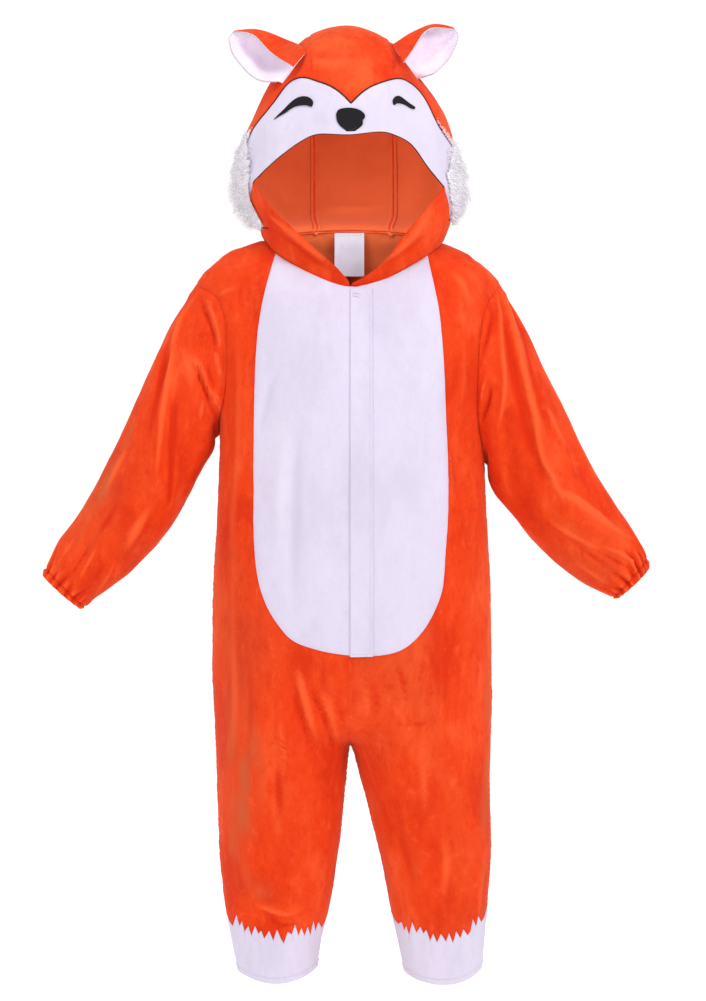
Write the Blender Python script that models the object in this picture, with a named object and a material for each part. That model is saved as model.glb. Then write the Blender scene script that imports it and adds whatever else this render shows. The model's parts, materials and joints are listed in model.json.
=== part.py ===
"""Child's hooded fox costume, one piece, worn shape with no wearer inside.

Frame: millimetres in the tables, metres in the scene. +X is the wearer's left, +Y the back,
+Z up. The origin is between the shoulders, at the height of the shoulder and neck corner.
"R" is the wearer's right half (x < 0) and "L" the left half.

The cloth lies on a few master surfaces (body and legs, sleeves, hood, ears). Each cut piece is a
region of one of them, bounded by its seams, and is thickened inwards by the wall.
"""
import math

import bpy
import numpy as np
from mathutils import Vector
from mathutils.geometry import delaunay_2d_cdt

# ------------------------------------------------------------------ named sizes (mm)
WALL = 2.0            # cloth wall of velour panels
SEAM = 0.16           # half of the 0.3 mm left between two pieces at a seam
FACET = 32.0          # facet size on the body
HOOD_FACET = 23.0
EAR_WALL = 1.2        # each of an ear's two layers
UNIT = 1.15           # one unit of the front drawing
SHEET_MID = (353.0, 500.5)
SIGHT = (3.45, -3000.0, -288.1)   # where the front drawing is sighted from
HOOD_MID = (0.0, 0.0, 108.0)      # middle of the hood's hollow
DOMAIN = 170.0        # width given to one half panel when it is laid out flat
SLOPE_FROM = -60.0    # the shoulder slopes above this height
HOOD_R = 110.0        # radius used when a hood piece is laid out flat
SIGN = {"R": -1.0, "L": 1.0}

# Body and legs by height. out: side of each half; gap: inner leg as a share of out (below 0: none)
# front, back: depth from the side seam; n: roundness of the section.
BODY = """
   z  outR  outL   gapR   gapL front back   n
  30    80    80     -1     -1    29   44  2.0
  24    84    84     -1     -1    32   46  2.0
  10    98    98     -1     -1    38   52  2.0
   0   133   125     -1     -1    47   57  2.0
 -12   151   144     -1     -1    56   61  2.0
 -23   164   158     -1     -1    62   65  2.05
 -41   174   169     -1     -1    70   70  2.1
 -80   172   168     -1     -1    84   79  2.15
-125   162   160     -1     -1    95   85  2.2
-180   152   153     -1     -1   101   87  2.25
-241 150.5 153.5     -1     -1   104   86  2.25
-320   154   158     -1     -1   106   85  2.25
-402   157   162     -1     -1   106   90  2.25
-460 157.5   163  -.985  -.985   103   98  2.25
-520 155.5   163   -.62   -.62    94   98  2.2
-566   153   162      0      0    86   92  2.15
-610   152 161.5   .038   .085    79   86  2.1
-680 149.5   162   .086   .187    68   74  2.1
-745   143   158    .16   .275    57   62  2.1
-800 134.5   154    .25    .36    49   52  2.05
-845   124   150   .315    .43    44   46  2.0
"""
CROTCH = -566.0
NECK_CORNER = 10.0    # height of the shoulder and neck corner
SHOULDER_TIP = -40.0
NECK_BACK = 25.0      # height of the neck seam at the centre back

# Neck edge on the front, wearer's right to left, in drawing units.
NECK_FRONT = """
  u     v
266   241
276 253.5
296   266
315 275.5
334   283
351 286.4
372   283
391 276.4
410.5 266
427.7 255.4
443   243
"""
BELLY_TOP = {"R": 276.0, "L": 427.7}
# Side edge of the belly panel, top to bottom, in drawing units.
BELLY_R = """
  u   v
268 280
262 305
258 330
255 370
253.5 440
253 500
255 560
259 585
266 606
277 624
292 640
310 648
330 653
350 655.5
"""
BELLY_L = """
  u   v
433 280
438 305
441 330
444 370
446.5 420
448.5 480
447.5 530
445 560
443 585
438 603
430 620
418 637
402 650
385 655
367 656.5
350 655.5
"""
# Armholes: side and height of points on the seam.
ARMHOLE = {
    ("R", "front"): (("x", "z"), (158, -52), (146, -68), (140.5, -90), (139.5, -130), (142.5, -174)),
    ("R", "back"): (("x", "z"), (160, -54), (150, -74), (145, -105), (144, -150), (147, -186)),
    ("L", "front"): (("x", "z"), (158, -62), (150, -88), (145.5, -130), (144.5, -176), (148, -214)),
    ("L", "back"): (("x", "z"), (160, -60), (151, -84), (147, -130), (147, -180), (149.5, -216)),
}
ARMPIT = {"R": -209.0, "L": -243.0}

# Sleeves: outer and inner outline of each section in drawing units, half depths, and depth's middle.
SLEEVE_R = """
  v   ou    ov    iu    iv front back   mid
  0  198   281   222   432    50   46     0
 .1  178   311   216   442    54   50     0
 .2  162   344   208   459    55   52    -1
.32  144   382   197   480    53   51    -3
.45  127   422   183   508    50   49    -6
.58  109   459   163   538    46   46    -9
 .7   90   495   140   563    42   42   -12
.81   71   525   114   586    37   37   -15
 .9   57   545    96   598    32   32   -17
.96   50   563    87   603    26   26   -18
  1   46   575    80   606    24   24   -19
"""
SLEEVE_L = """
  v   ou    ov    iu    iv front back   mid
  0  497   281   484   462    48   44     0
 .1  511   303   486   471    54   50     0
 .2  526   330   490   483    56   53    -1
.32  544   367   498   497    55   53    -3
.45  562   404   511   514    52   51    -6
.58  580   443   528   535    48   48    -9
 .7  600   480   549   556    43   43   -12
.81  619   509   573   576    38   38   -15
 .9  637   536   597   590    32   32   -17
.96  646   556   615   598    26   26   -18
  1  650   573   625   602    24   24   -19
"""
# Largest folds. fold: number of the fold, a row for each point of its line; wide: half width and
# high: height in mm (below 0: a trough). Body folds run in drawing units, sleeve folds by the angle
# from the outer edge towards the front and the share of the sleeve's length.
FOLDS_FRONT = """
fold   u    v  wide high
   1 287  345    14 -1.5
   1 266  405    16 -3.5
   1 260  470    15 -3.0
   1 264  530    13 -1.5
   2 296  440    15 -2.0
   2 294  540    16 -3.0
   2 302  632    13 -1.5
   3 236  330    14  1.5
   3 239  420    16  3.0
   3 234  520    15  1.5
   4 300  655    15 -1.5
   4 318  700    15 -4.5
   4 338  756    12 -2.0
   5 404  668    15 -1.5
   5 383  706    15 -4.0
   5 362  750    12 -2.0
   6 262  690    17  1.5
   6 290  740    17  4.0
   6 326  790    13  2.0
   7 448  690    17  1.5
   7 420  735    16  3.5
   7 384  785    13  2.0
   8 466  330    15 -1.5
   8 462  420    16 -3.0
   8 468  510    14 -1.5
   9 255  800    17 -1.5
   9 268  860    18 -3.5
   9 262  905    14 -1.5
  10 452  790    17 -1.5
  10 440  850    18 -3.5
  10 446  905    14 -1.5
"""
FOLDS_BACK = """
fold   u    v  wide high
   1 300  300    17 -1.5
   1 285  380    18 -4.0
   1 278  460    16 -1.5
   2 400  310    17 -1.5
   2 415  390    18 -4.5
   2 421  480    16 -1.5
   3 346  420    18  1.5
   3 352  480    18  3.5
   3 348  545    16  1.5
   4 262  670    16 -1.5
   4 290  700    16 -4.5
   4 330  722    14 -1.5
   5 440  665    16 -1.5
   5 415  698    16 -4.5
   5 372  720    14 -1.5
   6 262  780    17  1.5
   6 280  840    18  3.5
   6 270  900    14  1.5
   7 446  775    17  1.5
   7 432  835    18  3.5
   7 440  900    14  1.5
"""
FOLDS_SLEEVE_R = """
fold angle   v  wide high
   1    30 .10    12  2.0
   1    30 .22    13  4.0
   1    76 .37    14  4.5
   1   114 .52    13  3.5
   1   120 .66    11  1.5
   2   108 .16    12 -2.0
   2   132 .30    14 -5.0
   2   165 .44    12 -2.0
   3   250 .18    13  2.0
   3   275 .34    15  4.5
   3   300 .50    13  2.0
   4    40 .50    13 -2.0
   4    62 .66    13 -4.0
   4    78 .80    10 -1.5
   5   215 .45    13 -2.0
   5   240 .60    14 -4.5
   5   262 .76    11 -1.5
"""
FOLDS_SLEEVE_L = """
fold angle   v  wide high
   1    34 .10    12  2.0
   1    40 .20    13  4.5
   1    57 .31    14  5.0
   1    80 .51    14  5.0
   1    82 .65    13  4.0
   1    82 .80    10  1.5
   2   100 .14    12 -2.0
   2   122 .28    14 -5.0
   2   140 .42    12 -2.0
   3   245 .20    13  2.0
   3   268 .36    15  4.5
   3   285 .52    13  2.0
   4    30 .48    13 -2.0
   4    44 .62    13 -4.0
   4    52 .76    10 -1.5
   5   220 .48    13 -2.0
   5   235 .62    14 -4.5
   5   250 .78    11 -1.5
"""
ARMPIT_CLEAR = 4.5    # the sleeve stands this far off the side, just below the armpit
CASING = 9.0          # height of the elastic casing at the wrist

# Hood by height: sides, front and back depth, roundness.
HOOD = """
    z   right  left front back   n
  -60      93    93    70   24  2.1
  -48      95    95  72.7   27  2.1
  -35      97    97    74   31  2.1
  -23      99    99    77   35  2.1
   -9     101   101    84   41  2.1
    9     107   109    92   48  2.1
   24     110   115    97   56  2.15
   40     115 118.5   100   70  2.15
   60     120   121   103   88  2.2
   85     122   121   106  103  2.2
  110     122 120.5   108  112  2.2
  130     120   117   108  116  2.2
  150   111.5   110   106  116  2.2
  172     102    97   101  111  2.2
  195      89    80    92  102  2.15
  215      76    67    81   89  2.1
  234    60.5    51    65   70  2.05
  246      45    33    47   51  2.0
256.5       0     0     0    0  2.0
"""
CROWN_LEAN = -6.0     # the crown leans to the wearer's right
# Edge between the forehead and the white face, and the other edges of the hood, drawing units.
FACE_TOP_R = ((249, 136), (257, 122), (273, 103), (290, 82), (303, 77.5), (315, 80.4), (334, 88), (351, 103))
FACE_TOP_L = ((351, 103), (368, 88), (387.5, 80.4), (401, 78.4), (412, 84), (426, 101), (437, 122), (452, 145))
FACE_EDGE = ((253, 182), (265, 170), (282, 155), (307, 137.7), (318, 134), (350, 134.5), (384, 132),
             (397, 136), (410, 143.5), (426, 164.5), (444, 187))
BAND_EDGE_R = ((253, 182), (264, 198), (280, 216), (301, 236), (322, 256), (336, 268), (349, 281.5))
BAND_EDGE_L = ((444, 187), (425, 210), (400, 240), (375, 270), (353, 282.5))
CHEEK_SEAM_R = ((253, 182), (249, 199), (254.5, 216), (261, 228))
CHEEK_SEAM_L = ((444, 187), (448.7, 201), (450.3, 214), (450.5, 222))
# Outer edge of the face at the side of the hood: depth and height.
CHEEK_SIDE_R = ((-17, 112), (-13, 90), (-14, 66), (-22, 44))
CHEEK_SIDE_L = ((-19, 102), (-13, 82), (-12, 60), (-12, 44))
GUSSET = {"R": (-44.0, -47.0, -43.0), "L": (49.0, 46.0, 52.0)}   # at the face, the crown, the nape

# Ears by distance from the root: lower margin, fold and rolled margin in drawing units, with depths.
EAR_R = """
   s    lu    lv    tu   tv    fu    fv   yl  yb  yt  yf
   0   281  83.6   304   51   292    66    0   0   0   0
 .25 262.5    81   288 41.2   276  56.8  -57 -24 -24 -54
  .5   248  72.5   270 33.6 263.5  45.5  -50 -18 -18 -44
 .75   237    60 253.5 29.8   253  35.2  -44 -19 -20 -34
  .9   231    49   243 30.4   243  32.4  -37 -23 -24 -30
   1   229    38   234 31.6 234.5  32.2  -30 -26 -26 -28
"""
EAR_L = """
   s    lu    lv    tu   tv    fu    fv   yl  yb  yt  yf
   0   418    80   394   46   404    62    0   0   0   0
 .25   432    74   408 35.3   413  49.5  -57 -24 -24 -54
  .5   443    65   422 28.3   420  38.5  -50 -18 -18 -44
 .75 451.5  53.5   436 24.8   431  28.6  -44 -19 -20 -34
  .9 456.5    42   447 26.3   443  28.2  -37 -23 -24 -30
   1 458.2  34.5   454 28.6 453.5  29.6  -30 -26 -26 -28
"""
EYE_R = ((274, 119.8), (279, 114.6), (285.2, 108.6), (291.5, 102.3), (298, 98), (304.5, 96.6), (310, 98),
         (313.2, 101.5), (313, 104.6), (311.6, 106.8), (308, 105.9), (303.8, 105.4), (297.5, 106.1),
         (291.7, 108.5), (285.9, 112.6), (280.4, 115.6))
EYE_L = ((393.2, 104.9), (392.4, 101), (394.4, 97.4), (397.8, 96.3), (401.2, 97.6), (406.4, 101.6),
         (411, 104.9), (414.8, 108.2), (414.2, 109.2), (410.8, 108.6), (407.2, 106.6), (403.2, 104.6),
         (399.5, 103.6), (396.4, 103.9), (394.1, 105.3))
NOSE = ((336.2, 114.3), (338, 110.6), (342, 108.7), (350, 108), (357.5, 109.3), (362.2, 112), (364.9, 115.6),
        (364.4, 118.6), (362.8, 120.2), (362.7, 123.8), (360.4, 127.2), (355.4, 131.3), (350.8, 133.9),
        (346, 131.2), (340.6, 126.4), (337, 120.8))

# White leg cuffs: teeth across each half panel and their heights in turn.
TEETH = 11
TOOTH = (10.0, 7.5, 11.5, 8.0, 12.0, 9.0, 7.0, 11.0, 8.5, 12.0, 9.5)
CUFF_TOP = -772.0
CUFF_DIP = 11.0
HEM = {("R", "front"): (-822, -836, -827), ("R", "back"): (-822, -827, -827),
       ("L", "front"): (-828, -837, -822), ("L", "back"): (-828, -829, -822)}

PLACKET = (0.8, 25.0)      # across, from the centre front, on the wearer's left
PLACKET_WALL = 1.2
LABEL = (-18.0, 16.5, 23.0, -27.0)   # across from, to, top, bottom
LABEL_DEPTH = 43.0

COLOURS = {
    "orange velour": ((0.82, 0.075, 0.012), 0.8),
    "white velour": ((0.76, 0.72, 0.82), 0.8),
    "white fur": ((0.85, 0.83, 0.84), 0.9),
    "black satin": ((0.015, 0.012, 0.014), 0.5),
    "white tape": ((0.85, 0.85, 0.86), 0.7),
}


# ------------------------------------------------------------------ small tools
def table(text):
    rows = [line.split() for line in text.strip().splitlines()]
    values = np.array([[float(x) for x in row] for row in rows[1:]])
    return {name: values[:, i] for i, name in enumerate(rows[0])}


def spline(knots, values):
    """Smooth curve through the values, straight past its ends."""
    k, v = np.asarray(knots, float), np.asarray(values, float)
    if k[0] > k[-1]:
        k, v = k[::-1], v[::-1]
    n, h = len(k), np.diff(k)
    a, r = np.zeros((n, n)), np.zeros_like(v)
    a[0, 0] = a[-1, -1] = 1
    for i in range(1, n - 1):
        a[i, i - 1], a[i, i], a[i, i + 1] = h[i - 1], 2 * (h[i - 1] + h[i]), h[i]
        r[i] = 6 * ((v[i + 1] - v[i]) / h[i] - (v[i] - v[i - 1]) / h[i - 1])
    m = np.linalg.solve(a, r)

    def at(x):
        x = np.asarray(x, float)
        xc = np.clip(x, k[0], k[-1])
        i = np.clip(np.searchsorted(k, xc, side="right") - 1, 0, n - 2)
        hh = h[i]
        p, q = (k[i + 1] - xc) / hh, (xc - k[i]) / hh
        lo, hi = np.minimum(x - k[0], 0), np.maximum(x - k[-1], 0)
        if v.ndim > 1:
            p, q, hh, lo, hi = (w[..., None] for w in (p, q, hh, lo, hi))
        y = p * v[i] + q * v[i + 1] + ((p**3 - p) * m[i] + (q**3 - q) * m[i + 1]) * hh * hh / 6
        d0 = (v[1] - v[0]) / h[0] - h[0] * m[1] / 6
        d1 = (v[-1] - v[-2]) / h[-1] + h[-1] * m[-2] / 6
        return y + lo * d0 + hi * d1

    return at


def steady(knots, values):
    """Curve through the values that never swings past them."""
    k, v = np.asarray(knots, float), np.asarray(values, float)
    if k[0] > k[-1]:
        k, v = k[::-1], v[::-1]
    h = np.diff(k)
    d = np.diff(v) / h
    m = np.zeros_like(v)
    for i in range(1, len(k) - 1):
        if d[i - 1] * d[i] > 0:
            w1, w2 = 2 * h[i] + h[i - 1], h[i] + 2 * h[i - 1]
            m[i] = (w1 + w2) / (w1 / d[i - 1] + w2 / d[i])
    m[0], m[-1] = d[0], d[-1]

    def at(x):
        x = np.asarray(x, float)
        xc = np.clip(x, k[0], k[-1])
        i = np.clip(np.searchsorted(k, xc, side="right") - 1, 0, len(k) - 2)
        t = (xc - k[i]) / h[i]
        y = ((1 + 2 * t) * (1 - t) ** 2 * v[i] + t * (1 - t) ** 2 * h[i] * m[i]
             + t * t * (3 - 2 * t) * v[i + 1] + t * t * (t - 1) * h[i] * m[i + 1])
        return y + np.minimum(x - k[0], 0) * m[0] + np.maximum(x - k[-1], 0) * m[-1]

    return at


def through(points, count=200):
    """Dense smooth line through a few points, spaced evenly along it."""
    p = np.asarray(points, float)
    t = np.r_[0, np.cumsum(np.maximum(np.linalg.norm(np.diff(p, axis=0), axis=1), 1e-6) ** 0.75)]
    dense = spline(t, p)(np.linspace(0, t[-1], 40 * len(p)))
    return even(dense, count)


def even(line, count):
    """The line again with count points, spaced evenly along it."""
    t = np.r_[0, np.cumsum(np.linalg.norm(np.diff(line, axis=0), axis=1))]
    w = np.linspace(0, t[-1], count)
    return np.stack([np.interp(w, t, line[:, i]) for i in range(line.shape[1])], 1)


def pieces_of(line, step):
    """How many points the line needs for facets of this size."""
    return max(2, int(round(np.linalg.norm(np.diff(line, axis=0), axis=1).sum() / step)) + 1)


def unit(v):
    return v / np.maximum(np.linalg.norm(v, axis=-1, keepdims=True), 1e-12)


def on_sheet(uv):
    """Drawing units to millimetres across and up, on the plane of the side seams."""
    uv = np.asarray(uv, float)
    return np.stack([SIGHT[0] + (uv[..., 0] - SHEET_MID[0]) * UNIT,
                     SIGHT[2] + (SHEET_MID[1] - uv[..., 1]) * UNIT], -1)


def at_depth(uv, y):
    """The point at depth y that the drawing shows at uv."""
    f = 1 + np.asarray(y, float) / -SIGHT[1]
    flat = on_sheet(uv)
    return np.stack([SIGHT[0] + (flat[..., 0] - SIGHT[0]) * f, y + 0 * f,
                     SIGHT[2] + (flat[..., 1] - SIGHT[2]) * f], -1)


class Folds:
    """Height of the folds at places p, given each fold's line as points."""

    def __init__(self, text, lay):
        t = table(text)
        at = lay(t)
        self.lines = []
        for k in np.unique(t["fold"]):
            rows = t["fold"] == k
            self.lines.append((at[rows], t["wide"][rows], t["high"][rows]))

    def __call__(self, p):
        total = np.zeros(len(p))
        for at, wide, high in self.lines:
            best, height = np.full(len(p), 1e9), np.zeros(len(p))
            for i in range(len(at) - 1):
                ab = at[i + 1] - at[i]
                t = np.clip((p - at[i]) @ ab / (ab @ ab), 0, 1)
                d = np.linalg.norm(p - at[i] - t[:, None] * ab, axis=1)
                w, h = wide[i] + (wide[i + 1] - wide[i]) * t, high[i] + (high[i + 1] - high[i]) * t
                nearer = d / w < best
                best = np.where(nearer, d / w, best)
                height = np.where(nearer, h, height)
            total += height * np.exp(-best**2)
        return total


# ------------------------------------------------------------------ body and legs
CREASES = {"front": Folds(FOLDS_FRONT, lambda t: at_depth(np.stack([t["u"], t["v"]], 1), 0 * t["u"] - 90)[:, (0, 2)]),
           "back": Folds(FOLDS_BACK, lambda t: at_depth(np.stack([t["u"], t["v"]], 1), 0 * t["u"] + 85)[:, (0, 2)])}
B = table(BODY)
OUT = {"R": spline(B["z"], B["outR"]), "L": spline(B["z"], B["outL"])}
INNER = {"R": steady(B["z"], B["gapR"]), "L": steady(B["z"], B["gapL"])}
DEPTH = {"front": spline(B["z"], B["front"]), "back": spline(B["z"], B["back"])}
ROUND = steady(B["z"], B["n"])


def half_section(half, z):
    out, g, n = OUT[half](z), INNER[half](z), ROUND(z)
    mid, reach = out * (1 + g) / 2, out * (1 - g) / 2
    k = np.where(g < 0, np.clip((1 + g) / (1 - g), 0, 1), 1.0)
    return mid, reach, n, -np.arcsin(k ** (n / 2))


def body(half, face, s, z):
    """Point of the body: s from the centre or inner leg (0) to the side seam (1), at height z."""
    s, z = np.broadcast_arrays(np.asarray(s, float), np.asarray(z, float))
    mid, reach, n, t0 = half_section(half, z)
    t = t0 + s * (math.pi / 2 - t0)
    w = np.sin(t)
    x = mid + reach * np.sign(w) * np.abs(w) ** (2 / n)
    facing = np.clip(np.cos(t), 0, 1)
    deep = DEPTH[face](z) * facing ** (2 / n)
    at = np.stack([SIGN[half] * x, z], -1).reshape(-1, 2)
    deep = deep + CREASES[face](at).reshape(x.shape) * facing**0.6
    return np.stack([SIGN[half] * x, deep if face == "back" else -deep, z], -1)


def share(half, x, z):
    """s of the point of the body at x and z."""
    mid, reach, n, t0 = half_section(half, z)
    w = np.clip((np.abs(x) - mid) / reach, -1, 1)
    t = np.arcsin(np.sign(w) * np.abs(w) ** (n / 2))
    return np.clip((t - t0) / (math.pi / 2 - t0), 0, 1)


def body_seen(half, uv):
    """(s, z) of the front of the body where the drawing shows uv."""
    uv = np.asarray(uv, float)
    y = np.full(len(uv), -80.0)
    for _ in range(60):
        p = at_depth(uv, y)
        q = body(half, "front", share(half, p[:, 0], p[:, 2]), p[:, 2])
        y = 0.5 * y + 0.5 * q[:, 1]
    p = at_depth(uv, y)
    return np.stack([share(half, p[:, 0], p[:, 2]), p[:, 2]], 1)


# ------------------------------------------------------------------ hood
H = table(HOOD)
HALF2 = spline(H["z"], ((H["right"] + H["left"]) / 2) ** 2)
SHIFT = steady(H["z"], np.where(H["z"] > 240, CROWN_LEAN, (H["left"] - H["right"]) / 2))
FRONT2, BACK2 = spline(H["z"], H["front"] ** 2), spline(H["z"], H["back"] ** 2)
HOOD_N = steady(H["z"], H["n"])


def outside_hood(p):
    """Below 0 inside the hood, above 0 outside."""
    z = np.clip(p[..., 2], H["z"][0], 300)
    x2 = (p[..., 0] - SHIFT(z)) ** 2 / np.maximum(HALF2(z), 1e-3)
    y2 = p[..., 1] ** 2 / np.maximum(np.where(p[..., 1] < 0, FRONT2(z), BACK2(z)), 1e-3)
    n = HOOD_N(z)
    return x2 ** (n / 2) + y2 ** (n / 2) - 1


def along(start, way, lo, hi):
    """Distance from start along way to where the hood's surface is crossed."""
    lo, hi = np.full(len(way), float(lo)), np.full(len(way), float(hi))
    for _ in range(44):
        mid = (lo + hi) / 2
        out = outside_hood(start + way * mid[:, None]) > 0
        hi, lo = np.where(out, mid, hi), np.where(out, lo, mid)
    return (lo + hi) / 2


MID = np.array(HOOD_MID)


def plain_radius(d):
    return along(MID, d, 5.0, 330.0)


def azimuth(d):
    return np.arctan2(d[:, 0], -d[:, 1]), np.arccos(np.clip(-d[:, 2], -1, 1))


NECK_LOOP = {}     # filled once the neck seam is laid out


def hood(d):
    """Point of the hood in direction d from its middle; its lower edge meets the neck seam."""
    d = unit(np.asarray(d, float))
    r = plain_radius(d)
    if NECK_LOOP:
        psi, chi = azimuth(d)
        far = np.maximum(chi - np.interp(psi, NECK_LOOP["psi"], NECK_LOOP["chi"]), 0)
        r = r + np.interp(psi, NECK_LOOP["psi"], NECK_LOOP["step"]) * np.exp(-((far / 0.24) ** 2))
    return MID + d * r[:, None]


def hood_seen(uv):
    """Direction from the hood's middle to the surface that the drawing shows at uv."""
    uv = np.asarray(uv, float)
    ys = np.linspace(-135, 20, 156)
    best = np.zeros(len(uv))
    values = np.stack([outside_hood(at_depth(uv, np.full(len(uv), y))) for y in ys], 1)
    for i in range(len(uv)):
        inside = np.nonzero(values[i] < 0)[0]
        if len(inside) == 0:
            best[i] = ys[np.argmin(values[i])]
            continue
        lo, hi = ys[max(inside[0] - 1, 0)], ys[inside[0]]
        for _ in range(30):
            mid = (lo + hi) / 2
            if outside_hood(at_depth(uv[i:i + 1], np.array([mid])))[0] < 0:
                hi = mid
            else:
                lo = mid
        best[i] = hi
    return unit(at_depth(uv, best) - MID)


def hood_side(half, yz):
    """Direction to the side of the hood at depth y and height z."""
    yz = np.asarray(yz, float)
    y, z = yz[:, 0], yz[:, 1]
    n = HOOD_N(z)
    y2 = y**2 / np.where(y < 0, FRONT2(z), BACK2(z))
    x = SHIFT(z) + SIGN[half] * np.sqrt(HALF2(z)) * np.maximum(1 - y2 ** (n / 2), 0) ** (1 / n)
    return unit(np.stack([x, y, z], 1) - MID)


# flat layouts of directions about the front, a side and the crown
def flat_about(axis, d):
    a, b = {"front": (0, 2), "side": (1, 2)}[axis[0]]
    pole = {"front": -d[:, 1], "side": d[:, 0] * axis[1]}[axis[0]]
    k = np.arccos(np.clip(pole, -1, 1))
    r = np.maximum(np.hypot(d[:, a], d[:, b]), 1e-12)
    return np.stack([k * d[:, a] / r, k * d[:, b] / r], 1) * HOOD_R


def from_flat_about(axis, pq):
    pq = np.asarray(pq) / HOOD_R
    k = np.hypot(pq[:, 0], pq[:, 1])
    q = pq * np.where(k > 1e-9, np.sin(k) / np.maximum(k, 1e-9), 1.0)[:, None]
    c = np.cos(k)
    if axis[0] == "front":
        return np.stack([q[:, 0], -c, q[:, 1]], 1)
    return np.stack([c * axis[1], q[:, 0], q[:, 1]], 1)


def flat_crown(d):
    a = np.arctan2(d[:, 2], -d[:, 1])
    a = np.where(a < -math.pi / 2, a + 2 * math.pi, a)
    return np.stack([a, np.arcsin(np.clip(d[:, 0], -1, 1))], 1) * HOOD_R


def from_flat_crown(pq):
    a, b = np.asarray(pq).T / HOOD_R
    return np.stack([np.sin(b), -np.cos(b) * np.cos(a), np.cos(b) * np.sin(a)], 1)


# ------------------------------------------------------------------ laying out a piece
def inside_loop(loop, pts):
    x, y = pts[:, 0], pts[:, 1]
    a, b = loop, np.roll(loop, -1, 0)
    hit = np.zeros(len(pts), bool)
    for (x0, y0), (x1, y1) in zip(a, b):
        if y0 == y1:
            continue
        hit ^= ((y0 > y) != (y1 > y)) & (x < (x1 - x0) * (y - y0) / (y1 - y0) + x0)
    return hit


def edge_distance(loop, pts):
    best = np.full(len(pts), 1e9)
    for a, b in zip(loop, np.roll(loop, -1, 0)):
        ab = b - a
        t = np.clip(((pts - a) @ ab) / max(ab @ ab, 1e-12), 0, 1)
        best = np.minimum(best, np.linalg.norm(pts - a - t[:, None] * ab, axis=1))
    return best


def fill(loop, step, clear=0.55):
    """Triangles over a flat outline, its own points first."""
    lo, hi = loop.min(0), loop.max(0)
    rows = np.arange(lo[1] + step * 0.37, hi[1], step * 0.866)
    grid = [np.stack([np.arange(lo[0] + (0.25 + 0.5 * (i % 2)) * step, hi[0], step),
                      np.full(len(np.arange(lo[0] + (0.25 + 0.5 * (i % 2)) * step, hi[0], step)), y)], 1)
            for i, y in enumerate(rows)]
    pts = np.concatenate(grid) if grid else np.zeros((0, 2))
    if len(pts):
        pts = pts[inside_loop(loop, pts)]
    if len(pts):
        pts = pts[edge_distance(loop, pts) > clear * step]
    every = np.concatenate([loop, pts])
    n = len(loop)
    edges = [(i, (i + 1) % n) for i in range(n)]
    out = delaunay_2d_cdt([Vector(p) for p in every], edges, [], 1, 1e-7)
    first = [o[0] if o else -1 for o in out[3]]
    tris = np.array([[first[i] for i in f] for f in out[2]])
    if (tris < 0).any():
        raise ValueError("an outline crosses itself")
    mids = every[tris].mean(1)
    tris = tris[inside_loop(loop, mids)]
    return every, tris


def normals_of(pts, tris):
    n = np.cross(pts[tris[:, 1]] - pts[tris[:, 0]], pts[tris[:, 2]] - pts[tris[:, 0]])
    out = np.zeros_like(pts)
    for i in range(3):
        np.add.at(out, tris[:, i], n)
    return unit(out)


class Piece:
    """A cut piece: the outer skin's points and triangles, and its open edges as loops."""

    def __init__(self, name, pts, tris, loops, cloth, wall=WALL, rise=0.0, about=None, trim=SEAM):
        self.name, self.pts, self.tris, self.loops = name, np.asarray(pts, float), tris, loops
        self.cloth, self.wall, self.rise, self.trim = cloth, wall, rise, trim
        n = normals_of(self.pts, self.tris)
        away = self.pts - (np.zeros(3) if about is None else np.asarray(about, float))
        if (n * away).sum() < 0:
            self.tris = self.tris[:, ::-1]
            n = -n
        self.normals = n


def laid_out(name, outline, edge_points, to_space, step, cloth, **more):
    """A piece from its flat outline; edge_points are the outline's own places in space."""
    flat, tris = fill(outline, step)
    pts = to_space(flat)
    pts[:len(outline)] = edge_points
    return Piece(name, pts, tris, [list(range(len(outline)))], cloth, **more)


def tube(name, rings, cloth, **more):
    """A piece that goes round: rings of equally many points, open at both ends."""
    m, n = len(rings), len(rings[0])
    pts = np.concatenate(rings)
    tris = []
    for i in range(m - 1):
        for j in range(n):
            a, b = i * n + j, i * n + (j + 1) % n
            c, d = a + n, b + n
            tris += [(a, b, d), (a, d, c)] if (i + j) % 2 else [(a, b, c), (b, d, c)]
    loops = [list(range(n)), list(range((m - 1) * n, m * n))]
    return Piece(name, pts, np.array(tris), loops, cloth, **more)


def drawn_back(piece):
    """For each point of an open edge, the way into the piece along its skin."""
    third, ways = {}, {}
    for t in piece.tris:
        for i in range(3):
            third[t[i], t[(i + 1) % 3]] = t[(i + 2) % 3]
    for loop in piece.loops:
        square = []
        for a, b in zip(loop, loop[1:] + loop[:1]):
            c = third.get((a, b), third.get((b, a)))
            edge = unit(piece.pts[b] - piece.pts[a])
            w = piece.pts[c] - piece.pts[a]
            square.append(unit(w - edge * (w @ edge)))
        for i, at in enumerate(loop):
            w = unit(square[i] + square[i - 1])
            ways[at] = w / max((w @ square[i] + w @ square[i - 1]) / 2, 0.5)
    return ways


def spot(point):
    return tuple(np.round(point, 3))


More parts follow.
